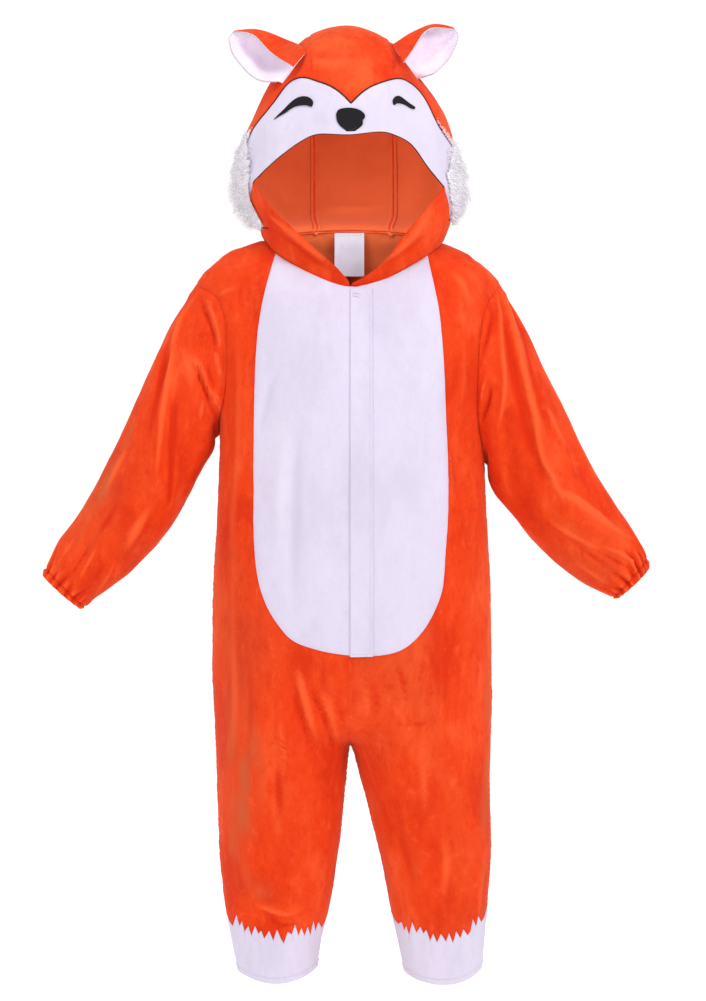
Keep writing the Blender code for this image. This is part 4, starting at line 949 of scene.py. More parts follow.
def spaced(sz, step):
    """A seam given densely as (s, z), again at facet spacing."""
    line = flat(sz)
    return unflat(even(line, pieces_of(line, step)))


def straight(a, b, step):
    t = np.linspace(0, 1, 50)[:, None]
    return spaced(np.array(a, float) * (1 - t) + np.array(b, float) * t, step)


def cuff_top(half, face, s):
    """Height of the white cuff's ragged top edge, from the tips and notches in TEETH_AT."""
    t = TEETH_AT[half, face]
    return np.interp(np.asarray(s, float), t[:, 0], t[:, 1])


def hem(half, face, s):
    inner, mid, outer = HEM[half, face]
    s = np.asarray(s, float)
    return inner + (outer - inner) * s + (mid - (inner + outer) / 2) * np.sin(math.pi * s) ** 2


def place(half, face, sz):
    p = body(half, face, sz[:, 0], sz[:, 1])
    p[(sz[:, 0] < 1e-6) & (sz[:, 1] > CROTCH - 1e-6), 0] = 0.0
    return p


def ends(*parts):
    """Joins stretches of seam, dropping each one's last point, which starts the next."""
    return np.concatenate([p[:-1] for p in parts])


GATHERED = {"R": table(GATHERS_R), "L": table(GATHERS_L)}
TEETH_AT = {(half, face): cuff_teeth(half, face) for half in "RL" for face in ("front", "back")}
neck = through(list(zip(*(table(NECK_FRONT)[c] for c in "uv"))), 401)
neck_mid = int(np.argmin(np.abs(neck[:, 0] - 349.9)))
S = {}     # seams of the body as (s, z), by half
for half in "RL":
    dense = neck[:neck_mid + 1][::-1] if half == "R" else neck[neck_mid:]
    sz = body_seen(half, dense)
    if half == "R":
        neck_low = sz[0, 1]
    sz[0] = (0, neck_low)
    keep = sz[:, 0] < 0.93
    sz = np.concatenate([sz[keep], [(1.0, NECK_CORNER)]])
    cut = int(np.argmin(np.abs(dense[:len(sz), 0] - BELLY_TOP[half])))
    corner = sz[cut]
    edge = [(BELLY_TOP[half], float(dense[cut, 1]))]
    edge += list(zip(*(table(BELLY_R if half == "R" else BELLY_L)[c] for c in "uv")))
    belly = body_seen(half, through(edge, 320))
    belly[0] = corner
    if half == "R":
        belly_low = belly[-1, 1]
    belly[-1] = (0, belly_low)
    s_back = np.linspace(0, 1, 81)
    back = np.stack([s_back, spline((0, .35, .7, 1), (NECK_BACK, 22.8, 16.8, NECK_CORNER))(s_back)], 1)
    x_back = np.abs(body(half, "back", back[:, 0], back[:, 1])[:, 0])
    nape = int(np.argmin(np.abs(x_back - abs(GUSSET[half][2]))))
    S[half] = {
        "neck a": spaced(sz[:cut + 1], 4.0), "neck b": spaced(sz[cut:], 4.0),
        "nape": spaced(back[:nape + 1], 4.0), "neck back": spaced(back[nape:], 4.0),
        "belly": spaced(belly, FACET * 0.8),
        "shoulder": straight((1, NECK_CORNER), (1, SHOULDER_TIP), 4.0),
        "side": straight((1, ARMPIT[half]), (1, cuff_top(half, "front", 1.0)), FACET),
        "inner": straight((0, cuff_top(half, "front", 0.0)), (0, CROTCH), FACET * 0.7),
        "low front": straight((0, CROTCH), (0, belly_low), FACET),
        "front": straight((0, belly_low), (0, neck_low), FACET),
        "back": straight((0, CROTCH), (0, NECK_BACK), FACET),
    }
    for face in ("front", "back"):
        rows = np.array(ARMHOLE[half, face][1:], float)
        knots = np.concatenate([[(1, SHOULDER_TIP)],
                                np.stack([share(half, rows[:, 0], rows[:, 1]), rows[:, 1]], 1),
                                [(1, ARMPIT[half])]])
        dense = through(flat(knots), 400)
        S[half]["arm " + face] = unflat(even(dense, 58))
        own = TEETH_AT[half, face][:, 0]
        teeth = np.unique(np.concatenate([np.linspace(0, 1, 61), own]).round(5))[::-1]
        S[half]["teeth " + face] = np.stack([teeth, cuff_top(half, face, teeth)], 1)

pieces, SLEEVES = [], {}
for half in "RL":
    word = {"R": "right", "L": "left"}[half]
    s = S[half]

    def add(name, face, outline, cloth, half=half):
        at = place(half, face, outline)
        pieces.append(laid_out(name, flat(outline), at,
                               lambda f: body(half, face, *unflat(f).T), FACET, cloth,
                               about=(0 if name.startswith("b") else SIGN[half] * 75, 0, -300)))

    add("front_" + word, "front",
        ends(s["neck b"], s["shoulder"], s["arm front"], s["side"], s["teeth front"], s["inner"],
             s["low front"], s["belly"][::-1]), "orange velour")
    add("belly_" + word, "front", ends(s["front"], s["neck a"], s["belly"]), "white velour")
    add("back_" + word, "back",
        ends(s["nape"], s["neck back"], s["shoulder"], s["arm back"], s["side"], s["teeth back"],
             s["inner"], s["back"]), "orange velour")

    # white cuff of the leg, all round
    top = [("front", a) for a in s["teeth front"][::-1]] + [("back", a) for a in s["teeth back"][1:-1]]
    rings = []
    for share_down in np.linspace(0, 1, 17):
        ring = []
        for face, (sa, za) in top:
            z = za + (hem(half, face, sa) - za) * share_down
            ring.append(body(half, face, sa, z))
        rings.append(np.array(ring))
    middle = np.concatenate(rings).mean(0)
    pieces.append(tube("leg_cuff_" + word, rings, "white velour", about=middle))

    # sleeve
    t = table(SLEEVE_R if half == "R" else SLEEVE_L)
    col = {name: spline(t["v"], t[name]) for name in t if name != "v"}

    around = 50.0      # mean radius, and length, to lay the folds out in millimetres
    length = 380.0
    creases = Folds(FOLDS_SLEEVE_R if half == "R" else FOLDS_SLEEVE_L,
                    lambda t: np.stack([np.radians(t["angle"]) * around, t["v"] * length], 1))

    def sleeve(phi, v, col=col, creases=creases):
        mid = col["mid"](v) + 0 * phi
        o = at_depth(np.stack([col["ou"](v) + 0 * phi, col["ov"](v) + 0 * phi], -1), mid)
        i = at_depth(np.stack([col["iu"](v) + 0 * phi, col["iv"](v) + 0 * phi], -1), mid)
        p = (o + i) / 2 + (o - i) / 2 * np.cos(phi)[:, None]
        w = np.sin(phi)
        p[:, 1] = mid - w * np.where(w > 0, col["front"](v), col["back"](v))
        high = sum(creases(np.stack([(phi + turn) * around, v * length + 0 * phi], 1))
                   for turn in (-2 * math.pi, 0.0, 2 * math.pi))
        p += unit(p - (o + i) / 2) * high[:, None]
        return p

    hole = np.concatenate([place(half, "front", s["arm front"]),
                           place(half, "back", s["arm back"])[::-1][1:-1]])
    count = len(s["arm front"])
    phi = np.concatenate([np.linspace(0, math.pi, count),
                          np.linspace(math.pi, 2 * math.pi, len(s["arm back"]))[1:-1]])
    start = hole - sleeve(phi, 0.0)
    stations = np.concatenate([np.linspace(0, .8, 92), np.linspace(.8, 1, 48)[1:]])
    rings = []
    for v in stations:
        ring = sleeve(phi, v) + start * math.exp(-((v / 0.13) ** 2))
        ring = gathered(half, phi, v, ring)
        clear = ARMPIT_CLEAR * math.exp(-(((v - 0.07) / 0.06) ** 2)) * min(v / 0.04, 1)
        ring[:, 0] += SIGN[half] * clear * ((1 - np.cos(phi)) / 2) ** 2
        rings.append(ring)
    axis = sleeve(np.array([0, math.pi]), 0.5).mean(0)
    piece = tube("sleeve_" + word, rings, "orange velour", about=axis)
    pieces.append(piece)
    SLEEVES[half] = (sleeve, col, np.array(rings))

# ------------------------------------------------------------------ hood pieces
loop = np.concatenate([
    place("R", "front", np.concatenate([S["R"]["neck a"][:-1], S["R"]["neck b"]])),
    place("R", "back", np.concatenate([S["R"]["nape"][:-1], S["R"]["neck back"]]))[::-1][1:],
    place("L", "back", np.concatenate([S["L"]["nape"][:-1], S["L"]["neck back"]]))[1:],
    place("L", "front", np.concatenate([S["L"]["neck a"][:-1], S["L"]["neck b"]]))[::-1][1:-1]])
ways = unit(loop - MID)
psi, chi = azimuth(ways)
reach = np.linalg.norm(loop - MID, axis=1)
order = np.argsort(psi)
psi, chi, gap = psi[order], chi[order], (reach - plain_radius(ways))[order]
NECK_LOOP["psi"] = np.r_[psi[-1] - 2 * math.pi, psi, psi[0] + 2 * math.pi]
NECK_LOOP["chi"] = np.r_[chi[-1], chi, chi[0]]
NECK_LOOP["step"] = np.r_[gap[-1], gap, gap[0]]


def seam_on_hood(uv, step=HOOD_FACET * 0.75):
    """Directions of a seam drawn on the front of the hood, at 90 points spaced evenly along its drawn line."""
    d = hood_seen(through(uv, 90))
    return d


def respaced(d, step=HOOD_FACET * 0.75):
    p = hood(d)
    t = np.r_[0, np.cumsum(np.linalg.norm(np.diff(p, axis=0), axis=1))]
    w = np.linspace(0, t[-1], max(2, int(round(t[-1] / step)) + 1))
    return unit(np.stack([np.interp(w, t, d[:, i]) for i in range(3)], 1))


top_r, top_l = seam_on_hood(FACE_TOP_R), seam_on_hood(FACE_TOP_L)
top_l[0] = top_r[-1]
join_r = int(np.argmin(np.abs(hood(top_r)[:, 0] - GUSSET["R"][0]) + (np.arange(90) < 25) * 999))
join_l = int(np.argmin(np.abs(hood(top_l)[:, 0] - GUSSET["L"][0]) + (np.arange(90) > 65) * 999))
face_edge = seam_on_hood(FACE_EDGE)
cheek, side, band = {}, {}, {}
for half, cheek_uv, side_yz, band_uv in (("R", CHEEK_SEAM_R, CHEEK_SIDE_R, BAND_EDGE_R),
                                         ("L", CHEEK_SEAM_L, CHEEK_SIDE_L, BAND_EDGE_L)):
    corner = face_edge[0] if half == "R" else face_edge[-1]
    cheek[half] = seam_on_hood(cheek_uv)
    cheek[half][0] = corner
    band[half] = seam_on_hood(band_uv)
    band[half][0] = corner
    first, last = (top_r[0] if half == "R" else top_l[-1]), cheek[half][-1]
    way = np.concatenate([[hood(first[None])[0, 1:]], side_yz, [hood(last[None])[0, 1:]]])
    side[half] = hood_side(half, through(way, 90))
    side[half][0], side[half][-1] = first, last
D = {
    "top r side": respaced(top_r[:join_r + 1]), "top r mid": respaced(top_r[join_r:]),
    "top l mid": respaced(top_l[:join_l + 1]), "top l side": respaced(top_l[join_l:]),
    "face edge": respaced(face_edge),
}
for half in "RL":
    D["cheek " + half], D["side " + half], D["band " + half] = (
        respaced(x[half]) for x in (cheek, side, band))


def gusset_seam(half, first, last):
    """Directions of the seam between the centre and a side, from the face over the crown."""
    def turn(d):
        p = hood(d[None])[0]
        a = math.atan2(p[2] - MID[2], -p[1])
        return (a if a > -math.pi / 2 else a + 2 * math.pi), p[0]
    (a0, x0), (a1, x1) = turn(first), turn(last)
    across = steady((a0, math.pi / 2, math.pi, a1), (x0, GUSSET[half][1], GUSSET[half][2], x1))
    a = np.linspace(a0, a1, 120)
    x = across(a)
    start = np.stack([x, 0 * x, 0 * x + MID[2]], 1)
    way = np.stack([0 * a, -np.cos(a), np.sin(a)], 1)
    p = start + way * along(start, way, 2.0, 300.0)[:, None]
    d = unit(p - MID)
    d[0], d[-1] = first, last
    return respaced(d, HOOD_FACET)


neck_at = {}       # points of the neck seam in space, by stretch
for half in "RL":
    for stretch, face in (("neck a", "front"), ("neck b", "front"), ("nape", "back"), ("neck back", "back")):
        neck_at[half, stretch] = place(half, face, S[half][stretch])
D["gusset R"] = gusset_seam("R", D["top r mid"][0], unit(neck_at["R", "nape"][-1] - MID))
D["gusset L"] = gusset_seam("L", D["top l mid"][-1], unit(neck_at["L", "nape"][-1] - MID))


def hood_piece(name, stretches, lay, unlay, cloth, step=HOOD_FACET):
    """stretches: directions, or points of the neck seam in space."""
    ways, at = [], []
    for kind, value in stretches:
        value = value[:-1]
        if kind == "space":
            ways.append(unit(value - MID))
            at.append(value)
        else:
            ways.append(value)
            at.append(hood(value))
    outline = lay(np.concatenate(ways))
    pieces.append(laid_out(name, outline, np.concatenate(at), lambda f: hood(unlay(f)), step, cloth,
                           about=MID))


def side_stretches(half):
    r = half == "R"
    top = D["top r side"][::-1] if r else D["top l side"]
    low = np.stack([D["band " + half][-1], unit(neck_at[half, "neck a"][:1] - MID)[0]])
    return [("way", top), ("way", D["side " + half]), ("way", D["cheek " + half][::-1]),
            ("way", D["band " + half]), ("way", low),
            ("space", neck_at[half, "neck a"]), ("space", neck_at[half, "neck b"]),
            ("space", neck_at[half, "neck back"][::-1]), ("way", D["gusset " + half][::-1])]


for half in "RL":
    axis = ("side", SIGN[half])
    hood_piece("hood_side_" + {"R": "right", "L": "left"}[half], side_stretches(half),
               lambda d, axis=axis: flat_about(axis, d), lambda f, axis=axis: from_flat_about(axis, f),
               "orange velour")
hood_piece("hood_center",
           [("way", D["top r mid"]), ("way", D["top l mid"]), ("way", D["gusset L"]),
            ("space", neck_at["L", "nape"][::-1]), ("space", neck_at["R", "nape"]),
            ("way", D["gusset R"][::-1])], flat_crown, from_flat_crown, "orange velour")
hood_piece("face_mask",
           [("way", D["top r side"]), ("way", D["top r mid"]), ("way", D["top l mid"]),
            ("way", D["top l side"]), ("way", D["side L"]), ("way", D["cheek L"][::-1]),
            ("way", D["face edge"][::-1]), ("way", D["cheek R"]), ("way", D["side R"][::-1])],
           lambda d: flat_about(("front", 1), d), lambda f: from_flat_about(("front", 1), f),
           "white velour", step=HOOD_FACET * 0.8)

# eyes and nose lie on the face
for name, outline in (("eye_right", EYE_R), ("eye_left", EYE_L), ("nose", NOSE)):
    closed = through(list(outline) + [outline[0]], 91)[:-1]
    ways = hood_seen(closed)
    pieces.append(laid_out(name, flat_about(("front", 1), ways), hood(ways),
                           lambda f: hood(from_flat_about(("front", 1), f)), 1.7, "black satin",
                           wall=1.0, rise=1.3, about=MID))

# placket on the left half of the belly
z = np.linspace(belly_low - 1.5, neck_low - 3.0, 150)
strip = [np.stack([share("L", np.full(150, x), z), z], 1) for x in PLACKET]
across = np.linspace(0, 1, 9)[1:-1, None]
outline = np.concatenate([strip[1], strip[1][-1] + (strip[0][-1] - strip[1][-1]) * across, strip[0][::-1],
                          strip[0][0] + (strip[1][0] - strip[0][0]) * across])
pieces.append(laid_out("placket", flat(outline), place("L", "front", outline),
                       lambda f: body("L", "front", *unflat(f).T), 3.2, "white velour",
                       wall=PLACKET_WALL, rise=PLACKET_WALL + 0.5, about=(0, 0, -300)))

# label inside the back of the neck
x0, x1, z1, z0 = LABEL
outline = even(np.array([(x0, z0), (x1, z0), (x1, z1), (x0, z1), (x0, z0)]), 101)[:-1]


def label_at(f):
    down = (z1 - f[:, 1]) / (z1 - z0)
    side = (f[:, 0] - (x0 + x1) / 2) / 17.0
    return np.stack([f[:, 0], LABEL_DEPTH - 4.0 * down**2 - 8.0 * (1 - down)
                     + 0.9 * side * down - 1.6 * side**2 * down**2, f[:, 1]], 1)


pieces.append(laid_out("care_label", outline, label_at(outline), label_at, 1.8, "white tape",
                       wall=0.45, about=(0, 300, 0)))


# ears: one curled sheet each, orange outside and white inside
def hood_normal(d):
    e = 0.02
    d = unit(d)
    a = unit(np.cross(d, (0.3, 0.9, 0.1)))
    b = np.cross(d, a)
    n = np.cross(hood(d + a * e) - hood(d - a * e), hood(d + b * e) - hood(d - b * e))
    return unit(n * np.sign((n * d).sum(1, keepdims=True)))


EAR_ACROSS = (0, .3, .58, .8, 1)
EAR_RIMS = {}
EAR_ROLL = 12.5       # the rolled margin's root stands this far off the hood


def ear_rows(text):
    """Five points across the ear at each distance from its root."""
    t = table(text)
    rows = []
    for i in range(len(t["s"])):
        l, f, g = (np.array((t[a][i], t[b][i])) for a, b in (("lu", "lv"), ("tu", "tv"), ("fu", "fv")))
        uv = np.array([l, l + 0.34 * (f - l), l + 0.74 * (f - l), f, g])
        if i == 0:
            d = hood_seen(uv)
            n = hood_normal(d)
            root = hood(d) + n * np.array([4, 3.5, 3.5, 4.5, 0])[:, None]
            ahead = unit(SIGHT - root[-1])
            root[-1] += ahead * EAR_ROLL / (ahead @ n[-1])
            rows.append(root)
        else:
            y = np.array([t["yl"][i], t["yb"][i], t["yb"][i] + 1, t["yt"][i], t["yf"][i]])
            rows.append(at_depth(uv, y))
    # in front of the root, the cloth runs on down to the hood, into the seam
    rows = np.array(rows)
    ahead = unit(rows[0] - rows[1])
    foot = unit(rows[0] + ahead * np.array([3.0, 3.0, 4.5, 7.0, 0.0])[:, None] - MID)
    foot = hood(foot) + hood_normal(foot) * 0.3
    foot[-1] = rows[0, -1] + ahead[-1] * 0.5          # the free edge of the roll stops at its root
    return np.r_[-0.11, t["s"]], np.concatenate([foot[None], rows])


for half, text in (("R", EAR_R), ("L", EAR_L)):
    word = {"R": "right", "L": "left"}[half]
    s_rows, rows = ear_rows(text)
    down = spline(s_rows, rows.reshape(len(s_rows), -1))
    u = np.r_[np.linspace(-0.11, 0, 9)[:-1], np.linspace(0, 1, 46)]
    w = np.array([0, .12, .25, .39, .52, .63, .71, .77, .82, .87, .93, 1])
    w = np.interp(np.linspace(0, 11, 67), np.arange(12), w)
    grid = np.array([spline(EAR_ACROSS, r)(w) for r in down(u).reshape(len(u), 5, 3)])
    n, m = len(u), len(w)
    tris = []
    for i in range(n - 1):
        for j in range(m - 1):
            a = i * m + j
            tris += [(a, a + m, a + m + 1), (a, a + m + 1, a + 1)]
    rim = ([j for j in range(m)] + [i * m + m - 1 for i in range(1, n)]
           + [(n - 1) * m + j for j in range(m - 2, -1, -1)] + [i * m for i in range(n - 2, 0, -1)])
    pts = grid.reshape(-1, 3)
    hollow = (grid[:, 0] + grid[:, -1]).mean(0) / 2
    EAR_RIMS[half] = pts[rim]
    pieces.append(Piece("ear_back_" + word, pts, np.array(tris), [rim], "orange velour",
                        wall=EAR_WALL, rise=EAR_WALL + SEAM, about=hollow))
    pieces.append(Piece("ear_inner_" + word, pts, np.array(tris), [rim], "white velour",
                        wall=EAR_WALL, rise=-SEAM, about=hollow))


# ------------------------------------------------------------------ creases, listed one by one
# line: number of the crease, a row for each point of its line, in drawing units on the front.
# wide: half width and high: height in mm (below 0: a trough); p: 2 is a soft crest, 1 a sharp one.
FINE_FRONT = """
line   u    v wide high   p
   1 281  366    5 -0.5   2
   1 270  392    6 -1.5   2
   1 263  420    6 -1.4   2
   1 259  442    5 -0.4   2
   2 300  420    9 -0.5   2
   2 297  480   10 -1.8   2
   2 295  555   10 -1.6   2
   2 297  625    8 -0.4   2
   3 332  455    4 -0.4   2
   3 331  520    5 -1.0   2
   3 332  578    4 -0.3   2
   4 286  430   10  0.4   2
   4 281  490   11  1.5   2
   4 280  560    9  0.4   2
   5 238  300    8  0.4   2
   5 240  400    9  1.8   2
   5 235  500    8  1.2   2
   5 233  560    7  0.3   2
   6 267  622    3  0.4 1.6
   6 272  648    3  1.4 1.6
   6 277  672    3  0.4 1.6
   7 293  688    4 -0.8 1.6
   7 299  712    5 -4.2 1.6
   7 305  729    4 -3.2 1.6
   7 311  744    3 -0.6 1.6
   8 298  668    4  0.6 1.5
   8 304  694    5  2.8 1.5
   8 309  718    5  3.2 1.5
   8 316  742    4  0.8 1.5
   9 309  686    4 -0.6 1.6
   9 316  702    5 -3.2 1.6
   9 325  722    5 -3.6 1.6
   9 333  746    4 -2.0 1.6
   9 336  760    3 -0.3 1.6
  10 318  688    4  0.4 1.6
  10 327  708    5  2.4 1.6
  10 336  734    4  1.8 1.6
  10 341  748    3  0.3 1.6
  11 333  694    3 -0.4 1.6
  11 340  714    4 -2.2 1.6
  11 346  730    3 -1.0 1.6
  12 280  716    5  0.5 1.8
  12 283  744    6  2.6 1.8
  12 286  774    5  0.5 1.8
  13 278  764    6 -0.5   2
  13 279  792    7 -2.2   2
  13 281  818    6 -0.4   2
  14 262  910    3 -0.4 1.5
  14 272  920    4 -2.2 1.5
  14 283  926    4 -2.4 1.5
  14 297  922    3 -0.5 1.5
  15 256  905    4  0.4 1.6
  15 272  911    4  2.2 1.6
  15 290  914    4  1.6 1.6
  15 302  908    3  0.3 1.6
  16 232  620    7  0.3   2
  16 235  690    9  1.6   2
  16 233  770    7  0.3   2
  17 247  640    6 -0.3   2
  17 250  720    8 -1.5   2
  17 248  800    6 -0.3   2
  18 398  664    4 -0.5 1.7
  18 403  682    5 -2.2 1.7
  18 406  700    4 -0.5 1.7
  19 408  722    3 -0.4 1.5
  19 417  725    3 -1.8 1.5
  19 428  722    3 -0.4 1.5
  20 400  712    4  0.4 1.6
  20 407  724    4  1.8 1.6
  20 414  738    4  0.4 1.6
  21 420  748    6  0.4   2
  21 424  780    7  2.0   2
  21 425  815    6  0.4   2
  22 362  676    4  0.3 1.6
  22 367  700    5  1.6 1.6
  22 363  728    4  0.4 1.6
  23 374  684    4 -0.3 1.6
  23 378  704    5 -1.8 1.6
  23 371  732    4 -0.4 1.6
  24 477  890    3  0.3 1.5
  24 478  904    3  1.8 1.5
  24 476  918    2  0.3 1.5
  25 462  330    7  0.3   2
  25 463  380    8  1.6   2
  25 459  440    7  0.3   2
  26 452  440    5 -0.3   2
  26 454  470    6 -1.4   2
  26 460  505    5 -0.3   2
  27 216  300    4  0.3 1.7
  27 226  292    5  1.5 1.7
  27 240  288    4  0.3 1.7
  28 246  272    5 -0.3 1.8
  28 240  292    6 -1.6 1.8
  28 242  318    5 -0.3 1.8
  29 450  270    6  0.3   2
  29 462  285    8  1.8   2
  29 470  310    6  0.3   2
  30 398  820    7 -0.3   2
  30 405  855    8 -1.6   2
  30 416  895    6 -0.3   2
  31 440  830    8  0.3   2
  31 446  862    9  2.0   2
  31 443  900    7  0.3   2
  32 424  640    7 -0.3   2
  32 436  668    9 -1.9   2
  32 441  705    8 -0.3   2
"""
FINE_SLEEVE_R = """
line   u    v wide high   p
   1 199  292    4  1.0 1.4
   1 180  322    6  4.0 1.4
   1 172  368    7  4.8 1.4
   1 163  413    6  4.2 1.4
   1 157  446    5  3.4 1.4
   1 154  478    4  0.6 1.5
   2 176  392    4 -0.5 1.6
   2 173  432    5 -3.0 1.6
   2 172  475    5 -2.6 1.6
   2 170  505    4 -0.4 1.6
   3 178  334    5 -0.6 1.7
   3 165  368    7 -3.0 1.7
   3 154  408    7 -2.6 1.7
   3 148  445    6 -0.4 1.7
   4 201  297    3 -0.8 1.4
   4 206  314    4 -3.0 1.4
   4 211  334    4 -3.0 1.4
   4 215  352    3 -0.6 1.4
   5 207  296    3  0.5 1.5
   5 214  316    4  3.0 1.5
   5 219  338    4  2.4 1.5
   5 221  352    3  0.4 1.5
   6 214  349    2  0.4 1.4
   6 218  363    3  2.6 1.4
   6 221  378    2  1.4 1.4
   7 189  355    3  0.8 1.3
   7 196  361    3  3.4 1.3
   7 202  372    3  4.6 1.3
   7 206  383    3  4.6 1.3
   7 209  391    3  4.4 1.3
   7 215  402    3  4.0 1.3
   7 221  409    3  1.6 1.3
   8 194  367    3 -0.8 1.5
   8 199  377    3 -3.6 1.5
   8 203  388    3 -4.0 1.5
   8 208  399    3 -2.4 1.5
   9 199  358    4 -0.4 1.6
   9 207  371    4 -2.6 1.6
   9 213  387    4 -1.4 1.6
  10 212  389    2  0.4 1.4
  10 217  396    2  2.2 1.4
  10 221  404    2  0.8 1.4
  11 223  312    3 -0.8 1.6
  11 225  338    4 -3.0 1.6
  11 224  364    4 -2.8 1.6
  11 222  396    3 -1.0 1.6
  12 185  346    6  0.4   2
  12 187  364    7  2.2   2
  12 192  384    6  0.4   2
  13 204  397    3  0.4 1.8
  13 202  410    5  1.8 1.8
  13 200  424    4  0.3 1.8
  14 128  446    5  0.3   2
  14 117  466    7  2.2   2
  14 104  494    5  0.3   2
  15  91  542    2 -0.4 1.5
  15  84  554    3 -2.2 1.5
  15  74  570    2 -1.8 1.5
  15  68  580    2 -0.4 1.5
  16  98  546    3  0.4 1.6
  16  90  560    3  2.2 1.6
  16  80  577    3  1.2 1.6
  17 108  558    2 -0.3 1.5
  17 100  571    3 -1.8 1.5
  17  90  586    2 -0.8 1.5
  18 116  560    3  0.3 1.6
  18 108  576    3  1.8 1.6
  18  96  592    3  0.8 1.6
  19  76  534    3  0.3 1.6
  19  68  548    3  1.8 1.6
  19  58  563    3  0.8 1.6
  20 150  505    7  0.3   2
  20 138  530    9  2.2   2
  20 124  552    7  0.3   2
  21 120  500    6 -0.3   2
  21 108  520    8 -2.0   2
  21  96  538    6 -0.3   2
"""
FINE_SLEEVE_L = """
line   u    v wide high   p
   1 498  292    3  1.2 1.3
   1 507  306    4  3.6 1.3
   1 517  336    5  5.0 1.3
   1 526  380    6  5.2 1.3
   1 534  415    6  5.0 1.3
   1 542  450    6  4.6 1.3
   1 551  476    5  3.6 1.4
   1 564  503    5  0.8 1.5
   2 509  298    5 -0.6 1.7
   2 521  326    7 -3.2 1.7
   2 532  366    8 -3.0 1.7
   2 542  404    8 -2.4 1.7
   2 554  442    7 -0.6 1.7
   3 507  332    6 -0.5 1.8
   3 517  386    8 -2.6 1.8
   3 526  430    8 -2.4 1.8
   3 537  470    7 -0.5 1.8
   4 497  297    3  1.0 1.4
   4 501  314    4  3.2 1.4
   4 502  350    5  4.2 1.4
   4 505  376    5  4.0 1.4
   4 504  402    5  3.0 1.4
   4 497  430    4  0.6 1.5
   5 502  302    4 -0.5 1.6
   5 508  330    5 -2.2 1.6
   5 511  366    5 -1.8 1.6
   5 514  400    4 -0.4 1.6
   6 493  310    3 -0.8 1.5
   6 489  330    4 -3.6 1.5
   6 484  350    4 -3.4 1.5
   6 481  368    3 -0.8 1.5
   7 490  386    3 -0.8 1.4
   7 487  400    4 -4.6 1.4
   7 483  414    4 -4.2 1.4
   7 480  428    3 -0.8 1.4
   8 486  373    2  0.5 1.5
   8 483  390    3  2.4 1.5
   8 480  404    2  0.6 1.5
   9 556  488    5  0.6 1.8
   9 577  499    6  2.8 1.8
   9 596  513    6  2.6 1.8
   9 615  528    5  2.0 1.8
   9 634  541    4  0.5 1.8
  10 553  472    2 -0.5 1.4
  10 560  475    2 -1.6 1.4
  11 600  544    3  0.5 1.5
  11 618  553    3  2.4 1.5
  11 630  559    3  2.4 1.5
  11 641  566    3  0.8 1.5
  12 600  551    3 -0.4 1.5
  12 616  560    3 -2.0 1.5
  12 634  570    3 -0.8 1.5
  13 545  519    4  0.4 1.7
  13 564  530    5  2.0 1.7
  13 584  541    4  1.8 1.7
  13 611  554    3  0.4 1.7
  14 572  544    3 -0.4 1.6
  14 592  557    4 -1.8 1.6
  14 618  574    3 -0.6 1.6
  15 630  541    3 -0.5 1.5
  15 641  553    3 -2.4 1.5
  15 647  566    2 -0.6 1.5
  16 571  560    4  0.4 1.7
  16 592  573    4  1.8 1.7
  16 612  586    3  0.5 1.7
  17 540  395    5  0.3   2
  17 551  420    7  1.8   2
  17 564  446    6  0.3   2
"""
FINE_BACK = """
line   u    v wide high   p
   1 232  300    6 -0.4   2
   1 246  340    7 -2.4   2
   1 250  395    7 -1.8   2
   1 246  440    6 -0.4   2
   2 470  296    6 -0.4   2
   2 456  338    7 -2.6   2
   2 449  392    7 -2.0   2
   2 452  446    6 -0.4   2
   3 262  300    6  0.4 1.8
   3 270  345    7  2.2 1.8
   3 266  400    6  0.4 1.8
   4 436  300    6  0.4 1.8
   4 428  352    7  2.0 1.8
   4 433  404    6  0.4 1.8
   5 300  480    8 -0.4   2
   5 318  540   10 -2.4   2
   5 322  600    8 -0.4   2
   6 402  470    8 -0.4   2
   6 384  530   10 -2.2   2
   6 380  590    8 -0.4   2
   7 330  400    7  0.3   2
   7 336  460    9  1.8   2
   7 333  520    7  0.3   2
   8 292  690    4 -0.6 1.5
   8 310  712    5 -3.8 1.5
   8 330  736    4 -2.4 1.5
   8 338  756    3 -0.4 1.5
   9 300  680    4  0.5 1.5
   9 318  702    5  2.8 1.5
   9 336  726    4  1.4 1.5
  10 410  688    4 -0.6 1.5
  10 391  712    5 -3.6 1.5
  10 371  738    4 -2.2 1.5
  10 364  756    3 -0.4 1.5
  11 402  676    4  0.5 1.5
  11 384  702    5  2.6 1.5
  11 366  728    4  1.2 1.5
  12 240  640    5 -0.4 1.8
  12 262  664    6 -2.6 1.8
  12 288  678    5 -0.6 1.8
  13 466  636    5 -0.4 1.8
  13 444  662    6 -2.8 1.8
  13 420  676    5 -0.6 1.8
  14 262  770    8  0.3   2
  14 268  820    9  2.0   2
  14 264  870    7  0.3   2
  15 292  800    6 -0.3   2
  15 290  850    7 -1.8   2
  15 286  896    6 -0.3   2
  16 446  772    8  0.3   2
  16 440  822    9  2.0   2
  16 444  872    7  0.3   2
  17 418  806    6 -0.3   2
  17 420  852    7 -1.8   2
  17 426  892    6 -0.3   2
  18 250  905    3 -0.4 1.5
  18 268  915    4 -2.2 1.5
  18 290  908    3 -0.4 1.5
  19 460  908    3 -0.4 1.5
  19 440  918    4 -2.2 1.5
  19 416  910    3 -0.4 1.5
"""
